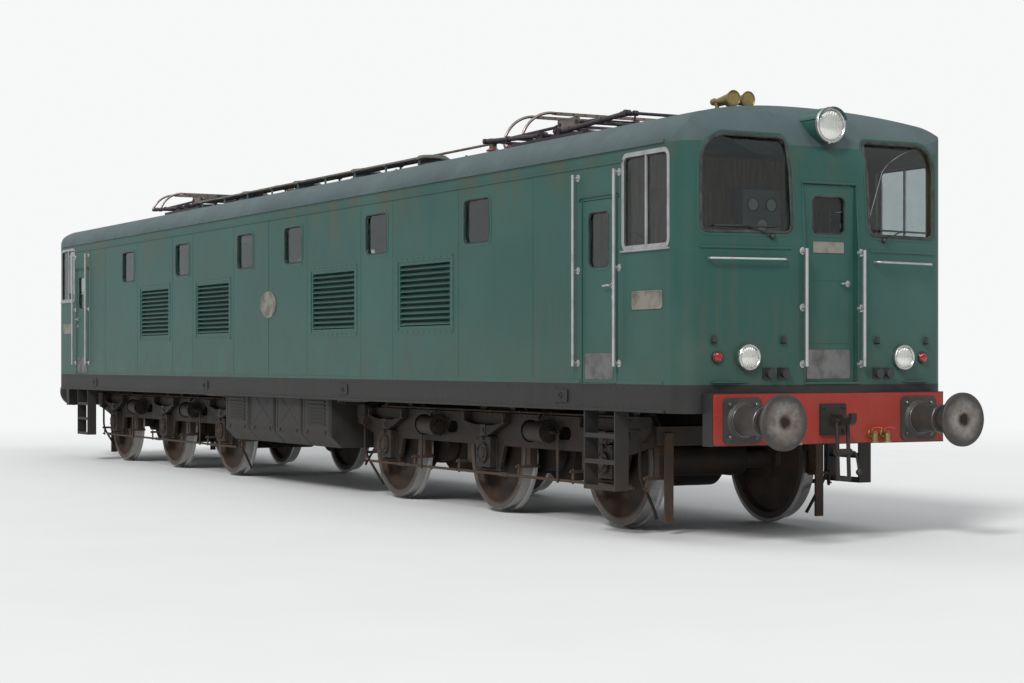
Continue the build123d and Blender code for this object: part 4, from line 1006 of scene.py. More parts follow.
GREEN = AgedPaint(
    "green_body_paint", (0.019, 0.072, 0.058), faded=(0.036, 0.104, 0.088), gloss=0.34, streaks=0.5, runs=0.9,
    inside=(0.24, 0.22, 0.16),
)
CAB_GREEN = {
    end: AgedPaint(
        f"green_cab_paint_{end.word}", (0.019, 0.072, 0.058), faded=(0.036, 0.104, 0.088), gloss=0.34,
        streaks=0.5,
        runs=0.8, inside=(0.24, 0.20, 0.135), centre=(8.62 * end.value, 0.0, 2.4), weight=(1.0, 1.0, 0.0),
    )
    for end in End
}
TRIM_GREEN = AgedPaint(
    "green_trim_paint", (0.022, 0.078, 0.063), faded=(0.036, 0.10, 0.085), gloss=0.36, runs=0.5
)
ROOF = AgedPaint(
    "roof_paint", (0.062, 0.100, 0.105), faded=(0.105, 0.145, 0.15), dirt=(0.05, 0.047, 0.042),
    gloss=0.5, streaks=0.5, dust=0.5, bottom=3.4, top=4.2, inside=(0.24, 0.22, 0.16), weight=(0.0, 0.35, 1.0),
)
UNDERFRAME = AgedPaint(
    "underframe_paint", (0.016, 0.0165, 0.017), faded=(0.03, 0.029, 0.028), dirt=(0.07, 0.052, 0.037),
    gloss=0.5, streaks=0.3, dust=0.5, bottom=0.4, top=1.5,
)
RED = AgedPaint(
    "buffer_beam_red", (0.30, 0.022, 0.016), faded=(0.33, 0.05, 0.036), streaks=0.5, dust=0.6,
    bottom=0.7, top=1.6,
)
BOGIE = SootyIron("bogie_iron", (0.019, 0.019, 0.019))
GEAR = SootyIron("brake_iron", (0.04, 0.034, 0.03), rust=(0.095, 0.052, 0.03), amount=0.85)
FORGED = SootyIron("forged_iron", (0.035, 0.033, 0.032), amount=0.3, gloss=0.5, metal=0.5)
PANTOGRAPH = SootyIron(
    "pantograph_steel", (0.055, 0.05, 0.062), rust=(0.09, 0.06, 0.05), amount=0.35, gloss=0.5, metal=0.35
)
STRIP = BareMetal("collector_strip", (0.30, 0.25, 0.22), gloss=0.3, stretch=(0.1, 1, 1))
RAIL = BareMetal("handrail_steel", (0.50, 0.50, 0.49), gloss=0.34, dull=(0.30, 0.30, 0.29), metal=0.75)
BUFFER_STEEL = BareMetal(
    "buffer_steel", (0.15, 0.145, 0.14), gloss=0.35, dull=(0.05, 0.043, 0.037), metal=0.8
)
BUFFER_IRON = BufferIron("buffer_iron", (0.03, 0.029, 0.028))
COPPER = BareMetal("conductor_bar", (0.30, 0.21, 0.16), dull=(0.10, 0.095, 0.08), gloss=0.45)
BRASS = BareMetal("horn_brass", (0.36, 0.27, 0.11), dull=(0.13, 0.105, 0.06), gloss=0.34)
CHROME = BareMetal("lamp_rim", (0.6, 0.6, 0.59), dull=(0.36, 0.36, 0.35), gloss=0.22)
ALUMINIUM = BareMetal("window_alloy", (0.42, 0.43, 0.43), dull=(0.26, 0.26, 0.25), gloss=0.4, metal=0.6)
KICK_STEEL = BareMetal(
    "kick_plate_steel", (0.21, 0.21, 0.205), dull=(0.10, 0.095, 0.085), gloss=0.42, stretch=(1, 1, 0.3)
)
CAST_PLATE = BareMetal(
    "cast_plate", (0.34, 0.32, 0.28), dull=(0.13, 0.12, 0.10), gloss=0.42, stretch=(1, 1, 1)
)
GLASS = Pane("clear_glass", (0.80, 0.87, 0.86))
SEAL = Rubber("window_rubber", (0.016, 0.016, 0.016))
PORCELAIN = Glaze("insulator_glaze", (0.15, 0.05, 0.028))
HIDE = Leather("seat_leather", (0.13, 0.07, 0.04))
LAMP = Lens("lamp_lens", (0.8, 0.8, 0.76))
DESK = Paint("desk_green", (0.10, 0.155, 0.13), worn=(0.18, 0.2, 0.165))
GREY = Paint("machine_grey", (0.20, 0.22, 0.22), worn=(0.14, 0.14, 0.13))
BLACK = Paint("black_enamel", (0.02, 0.02, 0.02), gloss=0.3, worn=(0.05, 0.05, 0.05))
DIAL = Paint("dial_face", (0.62, 0.61, 0.55), gloss=0.25, worn=(0.5, 0.48, 0.4))
TAIL = Lens("tail_glass", (0.42, 0.012, 0.01), cloudy=(0.30, 0.02, 0.016))
HANDLE_RED = Paint("handle_red", (0.35, 0.03, 0.02), gloss=0.35, worn=(0.2, 0.04, 0.03))
LINO = Paint("cab_linoleum", (0.09, 0.05, 0.032), gloss=0.4, worn=(0.15, 0.1, 0.07))
VARNISHED = Timber("varnished_wood", (0.21, 0.115, 0.055))
PLANK = Timber(
    "roof_plank", (0.19, 0.165, 0.13), dark=(0.08, 0.068, 0.052), stretch=(0.05, 1.0, 1.0), gloss=0.75
)
WIRE_FILTER = Filter("louvre_filter", (0.012, 0.012, 0.012))

NODE_FINISHES: dict[str, Finish] = {
    "underframe": UNDERFRAME,
    "solebar": UNDERFRAME,
    "cab_shell_front": CAB_GREEN[End.FRONT],
    "cab_shell_rear": CAB_GREEN[End.REAR],
    "cab_roof": ROOF,
    "main_roof": ROOF,
    "side_wall": GREEN,
    "louvre_grilles": TRIM_GREEN,
    "fixed_glass": GLASS,
    "cab_bulkheads": VARNISHED,
    "driver_desks": DESK,
    "driver_seats": BLACK,
    "machine_block": GREY,
    "buffers": BUFFER_IRON,
    "draw_gear": FORGED,
    "pipe_cocks": BRASS,
    "lamps": TRIM_GREEN,
    "handrails": RAIL,
    "cab_steps": UNDERFRAME,
    "roof_ventilators": ROOF,
    "roof_conductor": COPPER,
    "horns": BRASS,
    "equipment_boxes": UNDERFRAME,
    "air_reservoirs": UNDERFRAME,
    "cab_door": TRIM_GREEN,
    "end_door": TRIM_GREEN,
    "bogie_frame": BOGIE,
    "axleboxes": BOGIE,
    "traction_motors": BOGIE,
    "brake_gear": GEAR,
    "pantograph_head": STRIP,
    "pantograph": PANTOGRAPH,
}


def dress_nodes(wheels: "Wheels") -> None:
    """Give every frame node its finish; the longest matching name decides.

    Args:
        wheels: The wheelsets, which have a finish each.
    """
    for name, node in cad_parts.items():
        if name.startswith("wheelset"):
            material = wheels.finish(name).material()
        else:
            keys = [key for key in NODE_FINISHES if name.startswith(key)]
            material = NODE_FINISHES[max(keys, key=len)].material()
        node.data.materials.clear()
        node.data.materials.append(material)
        LOG.info("node %s takes %s", name, material.name)


# The body's outer surface

NOSE_X = 9.7
SIDE_Y = 1.475
FLAT_Y = 0.36
FLANK_SLOPE = 0.1704
CORNER_Y = 1.255
CORNER_X = 9.3243
CORNER_BEND = 0.22
CORNER_FROM = 1.292
WAIST_Z = 2.65
BROW_SLOPE = 0.0674
BROW_FROM = 3.2935
BROW_X = 8.9582
BROW_Z = 3.2464
BROW_BEND = 0.7
ROOF_CENTRE = -1.4904
ROOF_BEND = 5.4204
OUTWARD: Point = (0.98, 0.17, 0.06)


def nose_x(y: Array, z: Array) -> Array:
    """Length at which the nose's skin stands.

    In plan it is flat, then falls away along the flank and round the corner's circle. From the
    side it is upright to the waist, then leans back and bends over the brow's circle. The skin is
    the lesser of the two.

    Args:
        y: Places across.
        z: Heights.

    Returns:
        The X of each place.
    """
    across = np.abs(np.asarray(y, float))
    high = np.asarray(z, float)
    flank = NOSE_X - FLANK_SLOPE * np.maximum(across - FLAT_Y, 0)
    bend = CORNER_X + np.sqrt(np.maximum(CORNER_BEND**2 - (across - CORNER_Y) ** 2, 0))
    plan = np.where(across > CORNER_FROM, bend, flank)
    lean = NOSE_X - BROW_SLOPE * np.maximum(high - WAIST_Z, 0)
    brow = BROW_X + np.sqrt(np.maximum(BROW_BEND**2 - (high - BROW_Z) ** 2, 0))
    return np.minimum(plan, np.where(high > BROW_FROM, brow, lean))


def on_nose(flat: Array, lift: float = 0.0) -> Array:
    """Flat points (across, up) laid on the nose's skin and lifted off it."""
    return np.column_stack([nose_x(flat[:, 0], flat[:, 1]) + lift, flat])


def roof_z(y: Array | float) -> Array:
    """Height of the roof's skin: the roof circle's centre plus the root of its radius and Y squared."""
    return ROOF_CENTRE + np.sqrt(ROOF_BEND**2 - np.asarray(y, float) ** 2)


def border(width: float, height: float, across: int, upward: int) -> Array:
    """Flat points at equal steps along a rectangle's edges."""
    xs = np.linspace(-width / 2, width / 2, across)
    ys = np.linspace(-height / 2, height / 2, upward)[1:-1]
    rows = [np.column_stack([xs, np.full(across, edge)]) for edge in (-height / 2, height / 2)]
    rows += [np.column_stack([np.full(len(ys), edge), ys]) for edge in (-width / 2, width / 2)]
    return np.vstack(rows)


def on_side(flat: Array, x: float, z: float, y: float = SIDE_Y) -> Array:
    """Flat points (along, up) about a place on the left side."""
    return np.column_stack([flat[:, 0] + x, np.full(len(flat), y), flat[:, 1] + z])


def side_plate(
    outline: Array, thickness: float, x: float, z: float, y: float = SIDE_Y, edge: float = 0.0015
) -> Shape:
    """A board on the left side, standing outwards."""
    return plate(outline, thickness, (x, y, z), (-1.0, 0.0, 0.0), Z_AXIS, edge)


def side_trim(outline: Array, x: float, z: float, width: float, height: float, y: float = SIDE_Y) -> Shape:
    """A moulding round an outline on the left side."""
    return trim(outline, (x, y, z), (-1.0, 0.0, 0.0), Z_AXIS, width, height)


def strip(path: Array, up: Point, width: float, height: float) -> Shape:
    """A low moulding along a path."""
    return carried(bead(width, height), path, up)


def oval(width: float, height: float, count: int = 32) -> Array:
    """An ellipse: half the width times cosine, half the height times sine."""
    return circle(1.0, count) * np.array([width / 2, height / 2])


def dome(radius: float, rise: float, centre: Point, axis: Point, count: int = 28) -> Shape:
    """A lens: radius times cosine and rise times sine of a quarter turn."""
    angle = np.radians([0, 12, 28, 48, 70])
    rows = np.column_stack([radius * np.cos(angle), rise * np.sin(angle)])
    return lathe(np.vstack([[radius, -0.01], rows]), centre, axis, count)


# Sub-assemblies


@dataclass(frozen=True)
class Assembly:
    """Something that rides on one body at one end.

    Args:
        end: The end it stands at.
    """

    end: End = End.FRONT

    @property
    def body(self) -> str:
        """The body it moves with."""
        return "carbody"

    def add(self, name: str, shapes: list[Shape], finish: Finish, slot: str) -> None:
        """Put one piece of the assembly, its name ended by the end's word."""
        put(f"{name}_{self.end.word}", shapes, finish, self.body, self.end)


@dataclass(frozen=True)
class BodySides:
    """Both sides between the cabs.

    Args:
        windows: X of the body windows.
        window_z: Height of their middles.
        window_size: Width and height of one.
        grilles: X of the louvred openings.
        grille_z: Height of their middles.
        grille_size: Width and height of one.
        welds: X of the upright weld beads.
        sill: Height of the wall's foot.
        top: Height of the wall's top.
    """

    windows: tuple[float, ...] = (0.82, 3.27, 5.72)
    window_z: float = 3.0525
    window_size: tuple[float, float] = (0.56, 0.445)
    grilles: tuple[float, ...] = (2.045, 4.495)
    grille_z: float = 2.325
    grille_size: tuple[float, float] = (1.3, 0.75)
    welds: tuple[float, ...] = (1.25, 2.84, 3.70, 5.30, 6.9, 7.68)
    sill: float = 1.415
    top: float = 3.40

    def frames(self) -> list[Shape]:
        """Steel frames round the windows."""
        wide, high = self.window_size
        outline = rounded_outline(wide + 0.044, high + 0.044, 0.08)
        return [side_trim(outline, x, self.window_z, 0.036, 0.006) for x in self.windows]

    def seals(self) -> list[Shape]:
        """Rubber between each frame and its glass."""
        outline = rounded_outline(*self.window_size, 0.06)
        return [side_trim(outline, x, self.window_z, 0.014, 0.008) for x in self.windows]

    def screws(self) -> list[Shape]:
        """Screws in the window frames, and bolts round the grilles."""
        wide, high = self.window_size
        spots = border(wide + 0.046, high + 0.046, 4, 4)
        spots = spots[np.abs(spots).sum(axis=1) < wide / 2 + high / 2]
        shapes = [
            repeated(rivet(0.006, Y_AXIS), on_side(spots, x, self.window_z, 1.480)) for x in self.windows
        ]
        wide, high = self.grille_size
        spots = border(wide + 0.05, high + 0.05, 11, 7)
        return shapes + [
            repeated(bolt(0.008, Y_AXIS), on_side(spots, x, self.grille_z, 1.479)) for x in self.grilles
        ]

    def grille_frames(self) -> list[Shape]:
        """Flat strips round the louvred openings."""
        wide, high = self.grille_size
        outline = rounded_outline(wide + 0.05, high + 0.05, 0.02, 4)
        return [side_trim(outline, x, self.grille_z, 0.05, 0.006) for x in self.grilles]

    def filters(self) -> list[Shape]:
        """Wire filters behind the louvres."""
        outline = rounded_outline(self.grille_size[0] - 0.02, self.grille_size[1] - 0.02, 0.01, 3)
        return [side_plate(outline, 0.010, x, self.grille_z, 1.408) for x in self.grilles]

    def seams(self) -> list[Shape]:
        """Weld beads between the sheets, and one mid-way."""
        return [
            strip(spaced((x, SIDE_Y, self.sill), (x, SIDE_Y, self.top), 24), Y_AXIS, 0.011, 0.0025)
            for x in (0.001,) + self.welds
        ]

    def foot(self) -> list[Shape]:
        """The strip along the wall's foot with its rivets."""
        runs = [(0.0, 7.80), (8.48, 9.22)]
        shapes = [
            strip(spaced((a, SIDE_Y, 1.418), (b, SIDE_Y, 1.418), 2), Y_AXIS, 0.036, 0.006) for a, b in runs
        ]
        spots = np.vstack(
            [spaced((a + 0.05, 1.480, 1.418), (b - 0.05, 1.480, 1.418), int((b - a) / 0.13)) for a, b in runs]
        )
        return shapes + [repeated(rivet(0.007, Y_AXIS), spots)]

    def plates(self) -> list[Shape]:
        """Blank cast plates, one under each cab window."""
        screws = on_side(border(0.46, 0.12, 2, 2), 8.97, 2.15, 1.483)
        panel = rounded_outline(0.5, 0.16, 0.02, 5)
        shapes = [
            side_plate(panel, 0.007, 8.97, 2.15), side_trim(panel * 0.96, 8.97, 2.15, 0.012, 0.004, 1.482)
        ]
        return [four_corners(together(shapes + [repeated(rivet(0.007, Y_AXIS), screws)]))]

    def medallion(self) -> list[Shape]:
        """The blank oval plate mid-way, with a raised rim."""
        shapes = [side_plate(oval(0.52, 0.34), 0.008, 0.0, 2.33, edge=0.003)]
        shapes.append(side_trim(oval(0.49, 0.31), 0.0, 2.33, 0.016, 0.005, 1.483))
        return [both_sides(together(shapes))]

    def dress(self) -> None:
        """Put the sides' pieces."""
        pieces = [
            ("side_window_frames", self.frames(), TRIM_GREEN, "body_green"),
            ("side_window_seals", self.seals(), SEAL, "underframe_black"),
            ("side_screws", self.screws(), TRIM_GREEN, "body_green"),
            ("grille_frames", self.grille_frames(), TRIM_GREEN, "body_green"),
            ("grille_filters", self.filters(), WIRE_FILTER, "underframe_black"),
            ("side_weld_beads", self.seams(), TRIM_GREEN, "body_green"),
            ("side_foot_strips", self.foot(), TRIM_GREEN, "body_green"),
        ]
        for name, shapes, finish, slot in pieces:
            put(name, [four_corners(together(shapes))], finish, "carbody")
        put("side_plates", self.plates(), CAST_PLATE, "carbody")
        put("side_oval_plates", self.medallion(), CAST_PLATE, "carbody")


@dataclass(frozen=True)
class Nose(Assembly):
    """The cab front: windscreen seals, wipers, lamps, door frame, sockets and small brackets.

    Args:
        screen: Inner and outer Y of the windscreens.
        sill: Height of the windscreens' lower edge.
        head: Height of their upper edge.
        lamp_z: Height of the head lamp.
        lamp_radius: Its radius.
        hood: X where its hood starts and ends.
        low_lamp: Face, Y and Z of the lower lamps.
        low_radius: Their radius.
    """

    screen: tuple[float, float] = (0.43, 1.29)
    sill: float = 2.74
    head: float = 3.585
    lamp_z: float = 3.71
    lamp_radius: float = 0.15
    hood: tuple[float, float] = (9.34, 9.735)
    low_lamp: Point = (9.66, 0.86, 1.64)
    low_radius: float = 0.105

    def screen_outline(self, spread: float) -> Array:
        """Outline of the left windscreen, spread outwards, as places across and heights."""
        wide = self.screen[1] - self.screen[0] + 2 * spread
        high = self.head - self.sill + 2 * spread
        radii = tuple(bend + spread for bend in (0.23, 0.06, 0.06, 0.06))
        outline = rounded_outline(wide, high, radii, 10)
        sides = np.vstack([outline, outline[:1]])
        steps = [
            np.linspace(a, b, 4)[:-1] if np.linalg.norm(b - a) > 0.1 else a[None]
            for a, b in zip(sides, sides[1:])
        ]
        return np.vstack(steps) + np.array([sum(self.screen) / 2, (self.sill + self.head) / 2])

    def ring(self, spread: float, width: float, height: float) -> Shape:
        """A moulding that follows the windscreen over the skin."""
        return carried(bead(width, height), on_nose(self.screen_outline(spread)), OUTWARD, looped=True)

    def wiper(self) -> list[Shape]:
        """Wiper motor cap, arm and blade, parked along the sill."""
        spindle, elbow, far, near = on_nose(
            np.array([[0.62, 2.70], [0.80, 2.775], [1.17, 2.80], [0.56, 2.775]]), 0.02
        )
        arm = pipe([tuple(spindle), tuple(elbow), tuple((far + near) / 2 + (0.012, 0, 0))], 0.006, 0.03)
        blade = slab((-0.006, -0.31, -0.008), (0.006, 0.31, 0.008), 0.002)
        turn = (far - near)[0] / (far - near)[1]
        points = blade.points + np.column_stack([blade.points[:, 1] * turn, np.zeros((len(blade.points), 2))])
        cap = lathe(
            [(0.026, -0.03), (0.026, 0.0), (0.018, 0.012), (0.008, 0.016)], tuple(spindle), OUTWARD, 16
        )
        return [arm, cap, Shape(points + (far + near) / 2, blade.quads)]

    def door_frame(self) -> Shape:
        """Moulding round the end door's opening."""
        half, low, high = 0.301, 1.412, 3.192
        left = spaced((half, low, 0), (half, high, 0), 12)[:, :2]
        path = np.vstack([left, left[::-1] * np.array([-1, 1])])
        return carried(bead(0.022, 0.010), on_nose(path), X_AXIS, looped=True)

    def lamps(self) -> tuple[list[Shape], list[Shape], list[Shape]]:
        """Rims with latches, lenses, and the head lamp's sheet-metal hood."""
        face = NOSE_X - 0.01
        x, y, z = self.low_lamp
        radius, low = self.lamp_radius, self.low_radius
        rims = [collar(radius - 0.014, radius + 0.010, -0.02, 0.014, (face, 0, self.lamp_z), X_AXIS, 40)]
        latch = self.lamp_z - radius - 0.012
        rims += [bar((face - 0.02, -0.02, latch), (face + 0.01, -0.02, latch), 0.01)]
        rims += [both_sides(collar(low - 0.012, low + 0.010, -0.02, 0.012, (x, y, z), X_AXIS, 32))]
        rims += [both_sides(repeated(rivet(0.006, X_AXIS), around((x + 0.011, y, z), low, 6, X_AXIS, 0.5)))]
        lenses = [dome(radius - 0.012, 0.03, (face - 0.004, 0, self.lamp_z), X_AXIS)]
        lenses.append(both_sides(dome(low - 0.01, 0.022, (x - 0.004, y, z), X_AXIS)))
        angle = np.radians(np.linspace(18, 162, 21))
        arc = np.column_stack([np.cos(angle), np.sin(angle)])
        back, front = self.hood
        rows = []
        for thick, length in ((0.004, back), (0.004, front), (0.008, front), (0.008, back)):
            flat = (radius + thick) * arc + (0.0, self.lamp_z)
            rows.append(np.column_stack([np.full(len(flat), length), flat]))
        return rims, lenses, [grid(np.array(rows).transpose(1, 0, 2))]

    def tail_lamps(self) -> tuple[list[Shape], list[Shape]]:
        """Small red tail lamps outside the lower lamps: bodies and glasses."""
        x = float(nose_x(1.14, 1.64))
        body = lathe([(0.055, -0.03), (0.055, 0.02), (0.05, 0.026)], (x, 1.14, 1.64), X_AXIS)
        return [both_sides(body)], [both_sides(dome(0.042, 0.014, (x + 0.026, 1.14, 1.64), X_AXIS))]

    def sockets(self) -> list[Shape]:
        """Jumper sockets with hinged lids, low on the nose, and lamp irons."""
        shapes = []
        for y in (0.52, 0.66):
            x = float(nose_x(y, 1.5))
            shapes.append(slab((x - 0.01, y - 0.05, 1.45), (x + 0.012, y + 0.05, 1.55)))
            shapes.append(
                lathe([(0.036, 0), (0.036, 0.05), (0.042, 0.052), (0.042, 0.066)], (x, y, 1.5), X_AXIS)
            )
            shapes.append(bar((x + 0.055, y - 0.03, 1.545), (x + 0.055, y + 0.03, 1.545), 0.007))
        for y in (0.52, 1.18):
            x = float(nose_x(y, 1.78))
            shapes.append(slab((x - 0.006, y - 0.02, 1.76), (x + 0.03, y + 0.02, 1.772), 0.002))
            shapes.append(slab((x + 0.022, y - 0.02, 1.76), (x + 0.03, y + 0.02, 1.83), 0.002))
        return [both_sides(together(shapes))]

    def rosettes(self) -> list[Shape]:
        """Foot flanges of the handrails on the nose and beside the cab doors."""
        flange = [(0.034, 0.0), (0.034, 0.005), (0.022, 0.009), (0.018, 0.02)]
        front = [(float(nose_x(0.32, z)), 0.32, z) for z in (1.581, 2.08, 2.579)]
        sides = [(x, SIDE_Y, z) for x in (7.77, 8.50) for z in (1.587, 2.455, 3.323)]
        shapes = [repeated(lathe(flange, (0, 0, 0), X_AXIS, 20), np.array(front))]
        shapes.append(repeated(lathe(flange, (0, 0, 0), Y_AXIS, 20), np.array(sides)))
        return [both_sides(together(shapes))]

    def seams(self) -> list[Shape]:
        """Weld line round the corner, the step across the nose, and a ledge low on the nose."""
        heights = np.linspace(1.42, 3.40, 24)
        corner = on_nose(np.column_stack([np.full(24, 1.33), heights]))
        across = np.linspace(0.44, 1.30, 14)
        tread = on_nose(np.column_stack([across, np.full(14, 2.60)]), 0.0)
        ledge = slab((9.56, 0.42, 1.415), (9.62, 1.20, 1.43), 0.003)
        return [
            both_sides(
                together([strip(corner, OUTWARD, 0.010, 0.0025), strip(tread, OUTWARD, 0.026, 0.012), ledge])
            )
        ]

    def grab_irons(self) -> list[Shape]:
        """Bent grab irons under the windscreens."""
        ends = on_nose(np.array([[0.50, 2.50], [1.22, 2.50]]))
        out = np.array([0.055, 0.012, 0.0])
        path = [tuple(ends[0]), tuple(ends[0] + out), tuple(ends[1] + out), tuple(ends[1])]
        return [both_sides(pipe(path, 0.011, 0.03, Z_AXIS))]

    def dress(self) -> None:
        """Put the nose's pieces."""
        rims, lenses, hood = self.lamps()
        tails, glasses = self.tail_lamps()
        seal = both_sides(self.ring(0.002, 0.030, 0.012))
        frame_ring = both_sides(self.ring(0.026, 0.026, 0.005))
        spots = on_nose(self.screen_outline(0.027)[::4], 0.004)
        screws = both_sides(repeated(rivet(0.005, OUTWARD), spots))
        self.add("windscreen_seals", [seal], SEAL, "underframe_black")
        self.add("windscreen_frames", [frame_ring, screws], TRIM_GREEN, "body_green")
        self.add("wipers", [both_sides(together(self.wiper()))], BLACK, "underframe_black")
        self.add("end_door_frame", [self.door_frame()], TRIM_GREEN, "body_green")
        self.add("lamp_rims", rims, CHROME, "lamp_bright")
        self.add("lamp_lenses", lenses, LAMP, "lamp_bright")
        self.add("head_lamp_hood", hood, TRIM_GREEN, "body_green")
        self.add("tail_lamps", tails, BLACK, "underframe_black")
        self.add("tail_lamp_glasses", glasses, TAIL, "lamp_bright")
        self.add("jumper_sockets", self.sockets(), BLACK, "underframe_black")
        self.add("handrail_rosettes", self.rosettes(), RAIL, "handrail_steel")
        self.add("nose_seams", self.seams(), TRIM_GREEN, "body_green")
        self.add("grab_irons", self.grab_irons(), RAIL, "handrail_steel")


@dataclass(frozen=True)
class CabSide(Assembly):
    """The cab's side windows, the drip mouldings over its doors and its steps' treads.

    Args:
        window: X and Z of the window's middle.
        size: Width and height of the window.
    """

    window: tuple[float, float] = (8.935, 3.035)
    size: tuple[float, float] = (0.73, 0.83)

    def alloy(self) -> list[Shape]:
        """Pale alloy window frame, its sash bar and its ledge."""
        x, z = self.window
        wide, high = self.size
        outline = rounded_outline(wide + 0.02, high + 0.02, 0.07)
        shapes = [side_trim(outline, x, z, 0.040, 0.008)]
        shapes.append(side_plate(rounded_outline(0.026, high, 0.006, 3), 0.018, x, z, 1.455))
        shapes.append(
            side_plate(rounded_outline(wide, 0.022, 0.006, 3), 0.014, x, z - high / 2 + 0.014, 1.455)
        )
        shapes.append(slab((x - 0.40, 1.470, 2.585), (x + 0.40, 1.497, 2.603), 0.004))
        return [both_sides(together(shapes))]

    def drip(self) -> list[Shape]:
        """Bent drip moulding over the door."""
        path = bent_path(
            [(7.79, SIDE_Y, 3.10), (7.82, SIDE_Y, 3.135), (8.46, SIDE_Y, 3.135), (8.49, SIDE_Y, 3.10)], 0.03
        )
        return [both_sides(strip(path, Y_AXIS, 0.016, 0.016))]

    def jamb(self) -> list[Shape]:
        """Steel strips up the door's posts and a worn sill plate."""
        posts = [
            strip(spaced((x, SIDE_Y, 1.41), (x, SIDE_Y, 3.09), 2), Y_AXIS, 0.018, 0.006)
            for x in (7.827, 8.453)
        ]
        sill = slab((7.846, 1.43, 1.396), (8.434, 1.482, 1.404), 0.002)
        return [both_sides(together(posts + [sill]))]

    def treads(self) -> list[Shape]:
        """Chequered treads on the steps: raised studs in rows on flat plates."""
        shapes = []
        for z in (0.445, 0.685, 0.925):
            shapes.append(slab((7.884, 1.462, z - 0.002), (8.396, 1.468, z + 0.018), 0.002))
            spots = lattice(np.linspace(7.90, 8.38, 17), np.linspace(1.345, 1.445, 4), [z])
            shapes.append(repeated(rivet(0.008, Z_AXIS), spots))
        feet = lattice([7.869, 8.411], [1.36, 1.44], [1.10, 1.13])
        shapes.append(repeated(bolt(0.009, X_AXIS), feet[feet[:, 0] > 8] + (0.009, 0, 0)))
        return [both_sides(together(shapes))]

    def dress(self) -> None:
        """Put the cab sides' pieces."""
        x, z = self.window
        seal = side_trim(
            rounded_outline(self.size[0] - 0.03, self.size[1] - 0.03, 0.05), x, z, 0.014, 0.006, 1.462
        )
        self.add("cab_window_frames", self.alloy(), ALUMINIUM, "handrail_steel")
        self.add("cab_window_seals", [both_sides(seal)], SEAL, "underframe_black")
        self.add("door_drips", self.drip(), TRIM_GREEN, "body_green")
        self.add("door_jambs", self.jamb(), TRIM_GREEN, "body_green")
        self.add("step_treads", self.treads(), UNDERFRAME, "underframe_black")


@dataclass(frozen=True)
class CabDoor(Assembly):
    """Fittings of one cab side door: window frame, seal, pane, handle and kick plate.

    Args:
        side: The side it is on.
        face: Y of the leaf's outer face.
        window: X and Z of its window's middle.
        size: Width and height of its window.
    """

    side: Side = Side.LEFT
    face: float = 1.472
    window: tuple[float, float] = (8.14, 2.729)
    size: tuple[float, float] = (0.368, 0.51)

    @property
    def body(self) -> str:
        """The door's own body."""
        return f"cab_door_{self.end.word}_{self.side.word}"

    def place(self, name: str, shapes: list[Shape], finish: Finish, slot: str) -> None:
        """Put one piece on this door: reflected where side and end differ, then turned to its end."""
        shape = together(shapes).sided(Side(self.side.value * self.end.value))
        put(f"{name}_{self.end.word}_{self.side.word}", [shape], finish, self.body, self.end)

    def dress(self) -> None:
        """Put the door's pieces."""
        x, z = self.window
        wide, high = self.size
        frame_ring = side_trim(rounded_outline(wide + 0.03, high + 0.03, 0.07), x, z, 0.030, 0.005, self.face)
        seal = side_trim(rounded_outline(wide - 0.004, high - 0.004, 0.055), x, z, 0.014, 0.007, self.face)
        pane = side_plate(rounded_outline(wide + 0.004, high + 0.004, 0.06), 0.006, x, z, 1.448)
        kick = side_plate(rounded_outline(0.50, 0.24, 0.02, 4), 0.003, x, 1.56, self.face)
        screws = repeated(rivet(0.005, Y_AXIS), on_side(border(0.47, 0.21, 5, 3), x, 1.56, self.face + 0.003))
        spindle = lathe(
            [(0.03, 0), (0.03, 0.006), (0.012, 0.01), (0.012, 0.045)], (8.385, self.face, 2.30), Y_AXIS
        )
        lever = pipe([(8.385, 1.512, 2.30), (8.345, 1.514, 2.30), (8.27, 1.512, 2.295)], 0.010, 0.02, Z_AXIS)
        lock = lathe([(0.022, 0), (0.022, 0.004), (0.016, 0.008)], (8.385, self.face, 2.19), Y_AXIS)
        self.place("cab_door_frame", [frame_ring], TRIM_GREEN, "body_green")
        self.place("cab_door_seal", [seal], SEAL, "underframe_black")
        self.place("cab_door_pane", [pane], GLASS, "window_glass")
        self.place("cab_door_kick_plate", [kick, screws], KICK_STEEL, "handrail_steel")
        self.place("cab_door_handle", [spindle, lever, lock], RAIL, "handrail_steel")


